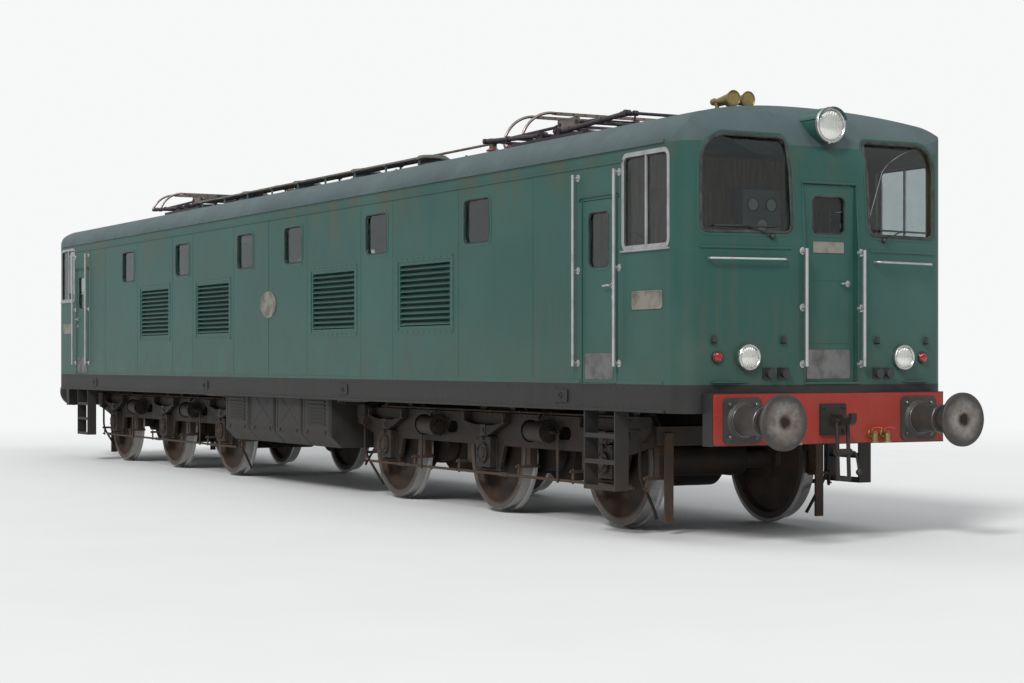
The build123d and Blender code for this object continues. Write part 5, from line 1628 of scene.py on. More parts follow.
@dataclass(frozen=True)
class EndDoor(Assembly):
    """Fittings of the door in one nose: window frame, seal, pane, handle, kick plate and blank plate.

    Args:
        face: X of the leaf's outer face.
        window_z: Height of its window's middle.
        size: Width and height of its window.
    """

    face: float = 9.652
    window_z: float = 2.907
    size: tuple[float, float] = (0.368, 0.334)

    @property
    def body(self) -> str:
        """The door's own body."""
        return f"end_door_{self.end.word}"

    def dress(self) -> None:
        """Put the door's pieces."""
        wide, high = self.size
        middle = (self.face, 0.0, self.window_z)
        frame_ring = trim(
            rounded_outline(wide + 0.03, high + 0.03, 0.07), middle, Y_AXIS, Z_AXIS, 0.030, 0.005
        )
        seal = trim(rounded_outline(wide - 0.004, high - 0.004, 0.055), middle, Y_AXIS, Z_AXIS, 0.014, 0.007)
        outline = rounded_outline(wide + 0.004, high + 0.004, 0.06)
        pane = plate(outline, 0.006, (9.625, 0.0, self.window_z), Y_AXIS, Z_AXIS)
        kick = plate(rounded_outline(0.48, 0.26, 0.02, 4), 0.003, (self.face, 0.0, 1.58), Y_AXIS, Z_AXIS)
        lever = pipe(
            [(self.face, 0.215, 2.30), (9.682, 0.215, 2.30), (9.684, 0.12, 2.30)], 0.009, 0.02, Z_AXIS
        )
        rose = lathe([(0.028, 0), (0.028, 0.006), (0.016, 0.01)], (self.face, 0.215, 2.30), X_AXIS)
        blank = plate(rounded_outline(0.34, 0.10, 0.012, 4), 0.006, (self.face, 0.0, 2.62), Y_AXIS, Z_AXIS)
        panel = trim(
            rounded_outline(0.44, 0.56, 0.03, 5), (self.face, 0.0, 2.05), Y_AXIS, Z_AXIS, 0.014, 0.004
        )
        self.add("end_door_ring", [frame_ring, panel], TRIM_GREEN, "body_green")
        self.add("end_door_seal", [seal], SEAL, "underframe_black")
        self.add("end_door_pane", [pane], GLASS, "window_glass")
        self.add("end_door_kick_plate", [kick], KICK_STEEL, "handrail_steel")
        self.add("end_door_handle", [lever, rose], RAIL, "handrail_steel")
        self.add("end_door_plate", [blank], CAST_PLATE, "conductor")


@dataclass(frozen=True)
class Headstock(Assembly):
    """Buffer beam: red panel, rivets, buffer bolts and collars, coupling screw and cock handles.

    Args:
        face: X of the beam's face.
        buffer: Y and Z of the buffers.
        half: Half the panel's width.
        low: Height of the panel's foot.
        high: Height of its top.
    """

    face: float = 9.7
    buffer: tuple[float, float] = (0.975, 1.09)
    half: float = 1.272
    low: float = 0.878
    high: float = 1.322

    def panel(self) -> list[Shape]:
        """The red panel."""
        outline = rounded_outline(2 * self.half, self.high - self.low, 0.02, 4)
        return [plate(outline, 0.006, (self.face - 0.001, 0, (self.low + self.high) / 2), Y_AXIS, Z_AXIS)]

    def rivets(self) -> list[Shape]:
        """Rivets along the panel's edges."""
        flat = border(2 * self.half - 0.05, self.high - self.low - 0.05, 31, 6)
        spots = np.column_stack([np.full(len(flat), self.face + 0.004), flat[:, 0], flat[:, 1] + 1.10])
        return [repeated(rivet(0.010, X_AXIS), spots)]

    def buffer_fittings(self) -> list[Shape]:
        """Bolts of the foot plates, and rings round the casings."""
        y, z = self.buffer
        spots = lattice([self.face + 0.025], [y - 0.14, y + 0.14], [z - 0.14, z + 0.14])
        ring = collar(0.116, 0.128, 0.33, 0.352, (self.face, y, z), X_AXIS, 36)
        neck = collar(0.128, 0.142, 0.052, 0.068, (self.face, y, z), X_AXIS, 36)
        return [both_sides(together([repeated(bolt(0.016, X_AXIS), spots), ring, neck]))]

    def heads(self) -> list[Shape]:
        """Greased wear ring pressed on each buffer's face."""
        y, z = self.buffer
        return [both_sides(collar(0.100, 0.112, 0.560, 0.580, (self.face, y, z), X_AXIS, 36))]

    def coupling(self) -> list[Shape]:
        """Screw thread, handle with its ball, and hook-plate bolts."""
        x, z = self.face + 0.16, 0.805
        turns = [lathe(
            [(0.020, 0), (0.027, 0.005), (0.020, 0.010)], (x, side * (0.004 + 0.011 * i), z), Y_AXIS, 16
        )
                 for i in range(4) for side in (-1, 1)]
        handle = pipe([(x, 0.085, z), (x + 0.01, 0.135, z), (x + 0.035, 0.15, z - 0.16)], 0.011, 0.03)
        ball = lathe(
            [(0.012, -0.03), (0.028, -0.012), (0.03, 0.004), (0.018, 0.026)], (x + 0.036, 0.151, z - 0.18),
            Z_AXIS
        )
        spots = lattice([self.face + 0.025], [-0.11, 0.11], [0.98, 1.20])
        return [*turns, handle, ball, repeated(bolt(0.014, X_AXIS), spots)]

    def handles(self) -> list[Shape]:
        """Levers on the pipe cocks."""
        shapes = []
        for y in (-0.56, -0.42, 0.42, 0.56):
            path = [(9.745, y, 0.978), (9.745, y, 1.005), (9.765, y + 0.05, 1.015), (9.80, y + 0.075, 1.0)]
            shapes.append(pipe(path, 0.007, 0.012))
            shapes.append(
                lathe([(0.016, -0.004), (0.016, 0.01), (0.010, 0.016)], (9.745, y, 0.984), Z_AXIS, 16)
            )
        return shapes

    def cock_rings(self) -> list[Shape]:
        """Hexagons and end rings of the cocks."""
        shapes = []
        for y in (-0.56, -0.42, 0.42, 0.56):
            shapes.append(
                lathe([(0.036, 0.004), (0.036, 0.022), (0.030, 0.026)], (self.face, y, 0.96), X_AXIS, 6)
            )
            shapes.append(collar(0.022, 0.034, -0.004, 0.016, (9.78, y, 0.88), Z_AXIS, 20))
        return shapes

    def dress(self) -> None:
        """Put the beam's pieces."""
        self.add("beam_panel", self.panel(), RED, "buffer_steel")
        self.add("beam_rivets", self.rivets(), RED, "buffer_steel")
        self.add("buffer_fittings", self.buffer_fittings(), BUFFER_STEEL, "buffer_steel")
        self.add("buffer_wear_rings", self.heads(), FORGED, "buffer_steel")
        self.add("coupling_screw", self.coupling(), FORGED, "coupling_steel")
        self.add("cock_handles", self.handles(), HANDLE_RED, "coupling_steel")
        self.add("cock_rings", self.cock_rings(), BRASS, "horn_brass")


@dataclass(frozen=True)
class Bogie(Assembly):
    """Dress of one bogie: springs, axlebox covers, brake rigging, sanding gear and frame rivets.

    Args:
        place: X of its centre at the front.
        spacing: Distance between axles.
        axle_z: Height of the axles.
        outside: Y of the frame's outer face.
        leaves: Leaves in a spring.
    """

    place: float = 5.17
    spacing: float = 2.451
    axle_z: float = 0.64
    outside: float = 1.030
    leaves: int = 7

    @property
    def body(self) -> str:
        """The bogie's body."""
        return f"bogie_{self.end.word}"

    @property
    def axles(self) -> tuple[float, ...]:
        """X of the three axles at the front."""
        return (self.place - self.spacing, self.place, self.place + self.spacing)

    def spring(self) -> Shape:
        """One leaf spring about its axle: each leaf rises with the square of the way along it."""
        section = rounded_outline(0.088, 0.012, 0.004, 3)
        shapes = []
        for index in range(self.leaves):
            half = 0.12 + 0.0583 * index
            xs = np.linspace(-half, half, 11)
            zs = 0.827 + 0.014 * index + 0.06 * (xs / 0.47) ** 2
            shapes.append(carried(section, np.column_stack([xs, np.full(11, 1.07), zs]), Z_AXIS))
        buckle = slab((-0.062, 1.020, 0.812), (0.062, 1.120, 0.944), 0.006)
        wedge = slab((-0.03, 1.112, 0.85), (0.03, 1.128, 0.90), 0.004)
        for x in (-0.445, 0.445):
            shapes.append(bar((x, 1.022, 0.985), (x, 1.122, 0.985), 0.014))
            shapes.append(bar((x, 1.022, 1.035), (x, 1.122, 1.035), 0.014))
            shapes.append(slab((x - 0.016, 1.112, 0.965), (x + 0.016, 1.119, 1.055), 0.003))
        return together(shapes + [buckle, wedge])

    def box(self) -> Shape:
        """Axlebox details about its axle: cover ring, bolts, boss, oil filler and side liners."""
        z = self.axle_z
        shapes = [collar(0.088, 0.112, -0.002, 0.012, (0, 1.122, z), Y_AXIS, 40)]
        shapes.append(lathe([(0.06, 0), (0.056, 0.012), (0.03, 0.018)], (0, 1.124, z), Y_AXIS, 28))
        shapes.append(repeated(bolt(0.010, Y_AXIS), around((0, 1.132, z), 0.100, 8, Y_AXIS, 0.39)))
        shapes.append(slab((-0.03, 1.100, 0.775), (0.03, 1.135, 0.808), 0.005))
        shapes.append(bar((0, 1.120, 0.808), (0, 1.120, 0.822), 0.016, 6))
        shapes.append(repeated(bolt(0.009, Y_AXIS), lattice([-0.135, 0.135], [1.110], [0.515, 0.785])))
        for sign in (-1, 1):
            x = sign * 0.178
            shapes.append(slab((x - 0.014, 1.026, 0.475), (x + 0.014, 1.046, 0.80), 0.003))
            shapes.append(
                repeated(bolt(0.009, Y_AXIS), lattice([x + sign * 0.04], [1.030], [0.52, 0.62, 0.72]))
            )
        shapes.append(slab((-0.26, 0.992, 0.450), (0.26, 1.034, 0.471), 0.004))
        shapes.append(repeated(bolt(0.012, (0.0, 0.0, -1.0)), lattice([-0.22, 0.22], [1.013], [0.450])))
        return together(shapes)

    def rivets(self) -> list[Shape]:
        """Rivets along the frame plate's top and beside each horn gap."""
        spots = [spaced((self.place - 2.9, self.outside, 1.035), (self.place + 2.9, self.outside, 1.035), 54)]
        for axle in self.axles:
            for x in (axle - 0.29, axle + 0.29):
                spots.append(spaced((x, self.outside, 0.56), (x, self.outside, 0.74), 4))
        for x in (self.place - 1.2255, self.place + 1.2255):
            flat = border(0.30, 0.24, 4, 3)
            spots.append(
                np.column_stack([flat[:, 0] + x, np.full(len(flat), self.outside), flat[:, 1] + 0.89])
            )
        return [both_sides(repeated(rivet(0.010, Y_AXIS), np.vstack(spots)))]

    def cylinders(self) -> list[Shape]:
        """Brake cylinder flanges, bolts, rods and the levers below them."""
        shapes = []
        for sign in (-1, 1):
            x = self.place + sign * 1.2255
            for place, way in ((x - 0.18, -1), (x + 0.18, 1)):
                shapes.append(collar(0.098, 0.116, -0.004, 0.014, (place, 1.12, 0.90), (way, 0.0, 0.0), 36))
                shapes.append(
                    repeated(
                        bolt(0.008, (way, 0.0, 0.0)),
                        around((place + way * 0.012, 1.12, 0.90), 0.106, 8, X_AXIS)
                    )
                )
            way = sign
            shapes.append(bar((x + way * 0.17, 1.12, 0.90), (x + way * 0.33, 1.12, 0.90), 0.016))
            shapes.append(bar((x + way * 0.31, 1.06, 0.90), (x + way * 0.31, 1.15, 0.90), 0.014))
            lever = np.array([(-0.03, 0.03), (-0.018, -0.5), (0.018, -0.5), (0.03, 0.03)])
            shapes.append(
                plate(lever[::-1], 0.014, (x + way * 0.31, 1.078, 0.90), (-1.0, 0.0, 0.0), Z_AXIS, 0.003)
            )
            shapes.append(
                pipe([(x, 1.12, 0.995), (x, 1.12, 1.03), (x - way * 0.08, 1.05, 1.07)], 0.010, 0.02, X_AXIS)
            )
            shapes.append(slab((x - 0.11, 1.028, 0.79), (x + 0.11, 1.10, 0.806), 0.004))
        return [both_sides(together(shapes))]

    def rods(self) -> list[Shape]:
        """Pull rod under the boxes, cross beams between the blocks, and their links."""
        y, z = 1.062, 0.425
        shapes = [bar((self.place - 2.95, y, z), (self.place + 2.95, y, z), 0.015)]
        for axle in self.axles:
            for x in (axle - 0.672, axle + 0.672):
                shapes.append(bar((x, 0.80, 0.520), (x, 1.085, 0.520), 0.016))
                link = rounded_outline(0.045, 0.15, 0.02, 5)
                shapes.append(plate(link, 0.012, (x, 1.045, 0.4725), (-1.0, 0.0, 0.0), Z_AXIS, 0.002))
                shapes.append(bar((x, 1.040, z), (x, 1.085, z), 0.010, 8))
            turn = axle + 0.38
            shapes.append(lathe([(0.024, -0.09), (0.024, 0.09)], (turn, y, z), X_AXIS, 6))
        return [both_sides(together(shapes))]

    def sanding(self) -> list[Shape]:
        """Sandbox lids, clamps and the pipes down to the rail."""
        shapes = []
        for sign in (-1, 1):
            x = self.place + sign * 3.06
            shapes.append(slab((x - 0.108, 1.032, 1.082), (x + 0.108, 1.146, 1.096), 0.004))
            shapes.append(lathe([(0.045, 0), (0.045, 0.012), (0.03, 0.018)], (x, 1.088, 1.094), Z_AXIS, 20))
            shapes.append(slab((x - 0.10, 1.138, 0.95), (x + 0.10, 1.146, 0.975), 0.003))
            shapes.append(collar(0.016, 0.034, 0.0, 0.018, (x, 1.085, 0.845), Z_AXIS, 20))
            path = [
                (x, 1.085, 0.87), (x, 1.085, 0.52), (x - sign * 0.02, 0.93, 0.26),
                (x - sign * 0.05, 0.865, 0.13)
            ]
            shapes.append(pipe(path, 0.016, 0.10))
            shapes.append(
                repeated(bolt(0.008, Y_AXIS), lattice([x - 0.085, x + 0.085], [1.140], [0.885, 1.06]))
            )
        return [both_sides(together(shapes))]

    def piping(self) -> list[Shape]:
        """Air pipe along the frame's top with its clips."""
        path = [
            (self.place - 2.75, 1.005, 1.080), (self.place, 1.005, 1.080), (self.place + 2.75, 1.005, 1.080)
        ]
        shapes = [pipe(path, 0.012)]
        for x in np.linspace(self.place - 2.6, self.place + 2.6, 9):
            shapes.append(slab((x - 0.012, 0.985, 1.058), (x + 0.012, 1.026, 1.096), 0.003))
        return [both_sides(together(shapes))]

    def dress(self) -> None:
        """Put the bogie's pieces."""
        places = np.array([(axle, 0.0, 0.0) for axle in self.axles])
        self.add("leaf_springs", [both_sides(repeated(self.spring(), places))], FORGED, "bogie_black")
        self.add("axlebox_covers", [both_sides(repeated(self.box(), places))], BOGIE, "bogie_black")
        self.add("frame_rivets", self.rivets(), BOGIE, "bogie_black")
        self.add("brake_cylinder_flanges", self.cylinders(), BOGIE, "bogie_black")
        self.add("brake_rods", self.rods(), GEAR, "bogie_black")
        self.add("sanding_gear", self.sanding(), BOGIE, "bogie_black")
        self.add("bogie_pipes", self.piping(), GEAR, "bogie_black")


@dataclass(frozen=True)
class Wheels:
    """The six wheelsets.

    Args:
        bogies: X of the bogie centres.
        spacing: Distance between axles.
        height: Z of the axles.
        face: Y of the wheels' outer faces.
    """

    bogies: tuple[float, float] = (5.17, -5.17)
    spacing: float = 2.451
    height: float = 0.64
    face: float = 0.935

    def places(self) -> list[float]:
        """X of each axle, from the front."""
        return [bogie + step * self.spacing for bogie in self.bogies for step in (1, 0, -1)]

    def finish(self, name: str) -> WheelIron:
        """The finish of one wheelset."""
        place = self.places()[int(name.rsplit("_", 1)[1]) - 1]
        return WheelIron(f"{name}_iron", (0.032, 0.029, 0.027), place=place, height=self.height)

    def dress(self) -> None:
        """Put each wheel's retaining ring and hub bolts."""
        for number, x in enumerate(self.places(), start=1):
            centre = (x, self.face, self.height)
            ring = collar(0.528, 0.545, -0.012, 0.004, centre, Y_AXIS, 56)
            bolts = repeated(
                bolt(0.010, Y_AXIS), around((x, self.face + 0.012, self.height), 0.125, 8, Y_AXIS)
            )
            put(
                f"wheel_rings_{number}", [both_sides(together([ring, bolts]))], GEAR, f"wheelset_{number}",
            )


@dataclass(frozen=True)
class Underfloor:
    """Equipment-box doors, tank straps, solebar rivets and lifting pads.

    Args:
        doors: X of the box doors.
        face: Y of the boxes' outer face.
        middle: Height of the doors' middles.
        size: Width and height of a door.
        tank: Y, Z and radius of the tanks.
    """

    doors: tuple[float, float] = (0.445, 1.335)
    face: float = 1.38
    middle: float = 0.995
    size: tuple[float, float] = (0.82, 0.55)
    tank: Point = (0.33, 0.92, 0.19)

    def door(self, x: float, vented: bool) -> Shape:
        """One door: raised panel, frame, hinges, latches, and louvres or a stiffening cross."""
        wide, high = self.size
        shapes = [side_plate(rounded_outline(wide, high, 0.02, 4), 0.006, x, self.middle, self.face)]
        shapes.append(
            side_trim(
                rounded_outline(wide - 0.07, high - 0.07, 0.02, 4), x, self.middle, 0.02, 0.006,
                self.face + 0.005
            )
        )
        top = self.middle + high / 2 - 0.012
        for place in (x - 0.27, x + 0.27):
            shapes.append(
                bar((place - 0.05, self.face + 0.014, top), (place + 0.05, self.face + 0.014, top), 0.010)
            )
            foot = self.middle - high / 2 + 0.03
            shapes.append(
                lathe(
                    [(0.022, 0), (0.022, 0.008), (0.012, 0.014)], (place, self.face + 0.006, foot), Y_AXIS, 16
                )
            )
            shapes.append(
                slab(
                    (place - 0.032, self.face + 0.018, foot - 0.006),
                    (place + 0.032, self.face + 0.026, foot + 0.006), 0.002
                )
            )
        if vented:
            for z in np.linspace(self.middle - 0.16, self.middle + 0.16, 8):
                ends = spaced((x - 0.27, self.face + 0.006, z), (x + 0.27, self.face + 0.006, z), 2)
                wedge = np.array(
                    [(-0.014, -0.004), (0.014, -0.004), (0.012, 0.002), (-0.010, 0.016), (-0.014, 0.015)]
                )
                shapes.append(carried(wedge, ends, Y_AXIS))
        else:
            for sign in (-1, 1):
                ends = spaced(
                    (x - 0.30, self.face + 0.006, self.middle - sign * 0.17),
                    (x + 0.30, self.face + 0.006, self.middle + sign * 0.17), 2
                )
                shapes.append(strip(ends, Y_AXIS, 0.022, 0.004))
        return together(shapes)

    def box_doors(self) -> list[Shape]:
        """Doors on both sides; the outer ones have louvres."""
        return [four_corners(together([self.door(self.doors[0], False), self.door(self.doors[1], True)]))]

    def straps(self) -> list[Shape]:
        """Straps and end rings of the tanks, and drain cocks."""
        y, z, radius = self.tank
        shapes = [
            collar(radius - 0.002, radius + 0.008, -0.03, 0.03, (x, y, z), X_AXIS, 36) for x in (0.45, 1.15)
        ]
        shapes.append(collar(radius - 0.02, radius + 0.003, -0.008, 0.008, (1.40, y, z), X_AXIS, 36))
        shapes.append(bar((0.8, y, z - radius - 0.05), (0.8, y, z - radius + 0.02), 0.014))
        return [four_corners(together(shapes))]

    def solebar(self) -> list[Shape]:
        """Rivet rows, lower flange and lifting pads along the solebar."""
        rows = np.vstack([spaced((0.06, SIDE_Y, z), (9.18, SIDE_Y, z), 76) for z in (1.205, 1.365)])
        flange = strip(spaced((0.0, SIDE_Y, 1.163), (9.25, SIDE_Y, 1.163), 2), Y_AXIS, 0.026, 0.012)
        shapes = [repeated(rivet(0.008, Y_AXIS), rows), flange]
        for x in (2.35, 7.45):
            shapes.append(side_plate(rounded_outline(0.26, 0.12, 0.02, 4), 0.014, x, 1.28))
            shapes.append(collar(0.020, 0.034, 0.0, 0.010, (x, SIDE_Y + 0.012, 1.28), Y_AXIS, 24))
        return [four_corners(together(shapes))]

    def conduits(self) -> list[Shape]:
        """Pipes under the solebar between the bogies and the boxes."""
        path = [(1.80, 1.30, 1.12), (1.96, 1.36, 1.145), (2.60, 1.36, 1.145), (2.72, 1.36, 1.19)]
        shapes = [pipe([(x, y - 0.045 * i, z) for x, y, z in path], 0.014) for i in range(3)]
        return [four_corners(together(shapes))]

    def dress(self) -> None:
        """Put the underfloor pieces."""
        put("equipment_box_doors", self.box_doors(), UNDERFRAME, "carbody")
        put("tank_straps", self.straps(), FORGED, "carbody")
        put("solebar_rivets", self.solebar(), UNDERFRAME, "carbody")
        put("underfloor_conduits", self.conduits(), GEAR, "carbody")


@dataclass(frozen=True)
class Porcelain:
    """A ribbed post insulator standing upright.

    Args:
        foot: Height of its foot.
        top: Height of its top.
        core: Radius of its core.
        shed: Radius of its sheds.
        sheds: Heights of its sheds.
    """

    foot: float
    top: float
    sheds: tuple[float, ...]
    core: float = 0.045
    shed: float = 0.082

    def shape(self) -> Shape:
        """The turned body about its own axis: each shed is flat below and slopes above."""
        rows = [(self.core, self.foot)]
        for z in self.sheds:
            rows += [(self.core, z - 0.017), (self.shed - 0.003, z - 0.016), (self.shed, z - 0.008)]
            rows += [(0.058, z + 0.012), (self.core, z + 0.016)]
        rows.append((self.core, self.top))
        return lathe(rows, (0, 0, 0), Z_AXIS, 28)


@dataclass(frozen=True)
class Roof:
    """Roof hatches, walkways, vents, conductor insulators, busbars, duckboards and lifting eyes.

    Args:
        seams: X of the hatch seams.
        reach: Half width of the seams.
        posts: X of the conductor's posts.
        conductor: Y and Z of the conductor.
        walkway: Y where the planks start.
        deck: X where the pantograph deck starts and ends.
    """

    seams: tuple[float, ...] = (0.0, 1.9, 3.8)
    reach: float = 1.16
    posts: tuple[float, ...] = (-3.6, -1.8, 0.0, 1.8, 3.6)
    conductor: tuple[float, float] = (-0.15, 4.115)
    walkway: float = 0.86
    deck: tuple[float, float] = (3.95, 7.45)

    def hatch_seams(self) -> list[Shape]:
        """Cover strips over the joints between roof sheets, with bolts."""
        ys = np.linspace(-self.reach, self.reach, 33)
        shapes = []
        for x in self.seams:
            for place in {x, -x}:
                path = np.column_stack([np.full(33, place), ys, roof_z(ys)])
                shapes.append(strip(path, Z_AXIS, 0.070, 0.009))
                spots = np.linspace(-1.1, 1.1, 17)
                for step in (-0.022, 0.022):
                    rows = np.column_stack([np.full(17, place + step), spots, roof_z(spots) + 0.008])
                    shapes.append(repeated(bolt(0.007, Z_AXIS), rows))
        for y in (-0.78, 0.78):
            path = spaced((-3.86, y, float(roof_z(y))), (3.86, y, float(roof_z(y))), 2)
            shapes.append(strip(path, Z_AXIS, 0.045, 0.006))
        return shapes

    def planks(self) -> list[Shape]:
        """Walkway planks along the middle roof and duckboards on the decks."""
        shapes = []
        for y in np.linspace(self.walkway, self.walkway + 0.16, 3):
            for x in (-3.70, -1.23, 1.24):
                shapes.append(slab((x, y, 3.898), (x + 2.46, y + 0.068, 3.922), 0.004))
        low, high = self.deck
        for y in (0.76, 0.86, 0.96):
            shapes.append(slab((low + 0.12, y, 3.792), (high - 0.12, y + 0.085, 3.814), 0.004))
            shapes.append(slab((-high + 0.12, y, 3.792), (-low - 0.12, y + 0.085, 3.814), 0.004))
        return [both_sides(together(shapes))]

    def brackets(self) -> list[Shape]:
        """Brackets under the planks, battens under the duckboards and lifting eyes."""
        shapes = []
        for x in np.linspace(-3.55, 3.55, 9):
            shapes.append(slab((x - 0.02, 0.85, 3.888), (x + 0.02, 1.10, 3.900), 0.003))
            for y in (0.88, 1.07):
                shapes.append(
                    slab((x - 0.02, y - 0.006, float(roof_z(y)) - 0.03), (x + 0.02, y + 0.006, 3.890), 0.002)
                )
        low, high = self.deck
        for x in np.concatenate(
            [np.linspace(low + 0.3, high - 0.3, 6), np.linspace(-high + 0.3, -low - 0.3, 6)]
        ):
            shapes.append(slab((x - 0.03, 0.74, 3.764), (x + 0.03, 1.06, 3.793), 0.003))
        angle = np.linspace(0, 2 * math.pi, 20, endpoint=False)
        for x in (-3.3, -1.4, 1.4, 3.3):
            z = float(roof_z(0.34)) + 0.035
            ring = np.column_stack([x + 0.038 * np.cos(angle), np.full(20, 0.34), z + 0.038 * np.sin(angle)])
            shapes.append(carried(circle(0.009, 8), ring, Y_AXIS, looped=True))
            shapes.append(slab((x - 0.05, 0.31, z - 0.045), (x + 0.05, 0.37, z - 0.028), 0.003))
        return [both_sides(together(shapes))]

    def vents(self) -> list[Shape]:
        """Neck rings, cap lips and bolts of the ventilators."""
        places = lattice([-2.85, -0.95, 0.95, 2.85], [-0.56, 0.56], [0.0])
        ring = collar(0.148, 0.172, 3.888, 3.908, (0, 0, 0), Z_AXIS, 40)
        lip = collar(0.214, 0.236, 3.962, 3.974, (0, 0, 0), Z_AXIS, 48)
        knob = together([lathe([(0.03, 4.018), (0.03, 4.026), (0.018, 4.034)], (0, 0, 0), Z_AXIS, 6)])
        return [repeated(together([ring, lip, knob]), places)]

    def porcelain(self) -> list[Shape]:
        """Porcelain of the conductor's posts, the pantographs' feet and the arresters."""
        y, z = self.conductor
        post = Porcelain(3.915, z - 0.02, (3.9275 + 0.004, 3.985, 4.0425)).shape()
        foot = Porcelain(3.767, 3.909, (3.80125, 3.8375, 3.87375)).shape()
        spots = [
            (sign * 5.7 + x, side, 0.0) for sign in (-1, 1) for x in (-0.72, 0.72) for side in (-0.56, 0.56)
        ]
        arrester = Porcelain(3.92, 4.15, (3.96, 4.00, 4.04, 4.08, 4.12), 0.04, 0.07).shape()
        shapes = [
            repeated(post, np.array([(x, y, 0.0) for x in self.posts])), repeated(foot, np.array(spots))
        ]
        return shapes + [repeated(arrester, np.array([(-3.35, 0.22, 0.0), (3.35, 0.22, 0.0)]))]

    def caps(self) -> list[Shape]:
        """Metal feet and caps of the posts, and the arresters' end plates."""
        y, z = self.conductor
        foot = lathe([(0.075, 3.905), (0.075, 3.922), (0.05, 3.93)], (0, 0, 0), Z_AXIS, 24)
        clamp = slab((-0.05, -0.026, z - 0.03), (0.05, 0.026, z + 0.022), 0.006)
        shapes = [repeated(together([foot, clamp]), np.array([(x, y, 0.0) for x in self.posts]))]
        ends = [
            lathe([(0.06, low), (0.06, low + 0.012), (0.045, low + 0.02)], (0, 0, 0), Z_AXIS, 24)
            for low in (3.905, 4.148)
        ]
        shapes.append(repeated(together(ends), np.array([(-3.35, 0.22, 0.0), (3.35, 0.22, 0.0)])))
        return shapes

    def busbars(self) -> list[Shape]:
        """Bars from the conductor down to each pantograph's frame, and leads to the arresters."""
        y, z = self.conductor
        path = [
            (3.68, y, z), (3.85, y, z), (4.02, y - 0.05, 3.95), (4.6, y - 0.25, 3.93), (4.97, y - 0.25, 3.94)
        ]
        lead = [(3.35, y, z), (3.35, 0.0, 4.18), (3.35, 0.22, 4.165)]
        shape = together([pipe(path, 0.013, 0.08), pipe(lead, 0.008, 0.08, X_AXIS)])
        return [shape, shape.flipped()]

    def dress(self) -> None:
        """Put the roof's pieces."""
        put("roof_seams", self.hatch_seams(), ROOF, "carbody")
        put("roof_planks", self.planks(), PLANK, "carbody")
        put("roof_brackets", self.brackets(), ROOF, "carbody")
        put("ventilator_rings", self.vents(), ROOF, "carbody")
        put("porcelain_insulators", self.porcelain(), PORCELAIN, "carbody")
        put("insulator_caps", self.caps(), FORGED, "carbody")
        put("busbars", self.busbars(), COPPER, "carbody")


@dataclass(frozen=True)
class Horns(Assembly):
    """Flared bells and feet of the air horns.

    Args:
        mouth: X of the bells' mouths.
        height: Z of the horns.
    """

    mouth: float = 9.16
    height: float = 3.965

    def dress(self) -> None:
        """Put the horns' bells, feet and air pipe."""
        shapes = []
        for y in (-0.52, -0.68):
            bell = np.array(
                [
                    (0.052, -0.07), (0.060, -0.03), (0.072, -0.004), (0.074, 0.003), (0.066, 0.004),
                    (0.05, -0.02)
                ]
            )
            shapes.append(lathe(bell, (self.mouth, y, self.height), X_AXIS, 32))
            shapes.append(
                lathe([(0.03, -0.03), (0.034, 0.0), (0.022, 0.02)], (8.86, y, self.height), X_AXIS, 20)
            )
            shapes.append(collar(0.019, 0.030, 0.0, 0.012, (8.90, y, 3.935), Z_AXIS, 20))
        pipes = [pipe([(8.84, -0.52, 3.965), (8.80, -0.60, 3.94), (8.84, -0.68, 3.965)], 0.010, 0.04, Z_AXIS)]
        self.add("horn_bells", shapes, BRASS, "horn_brass")
        self.add("horn_pipes", pipes, FORGED, "horn_brass")


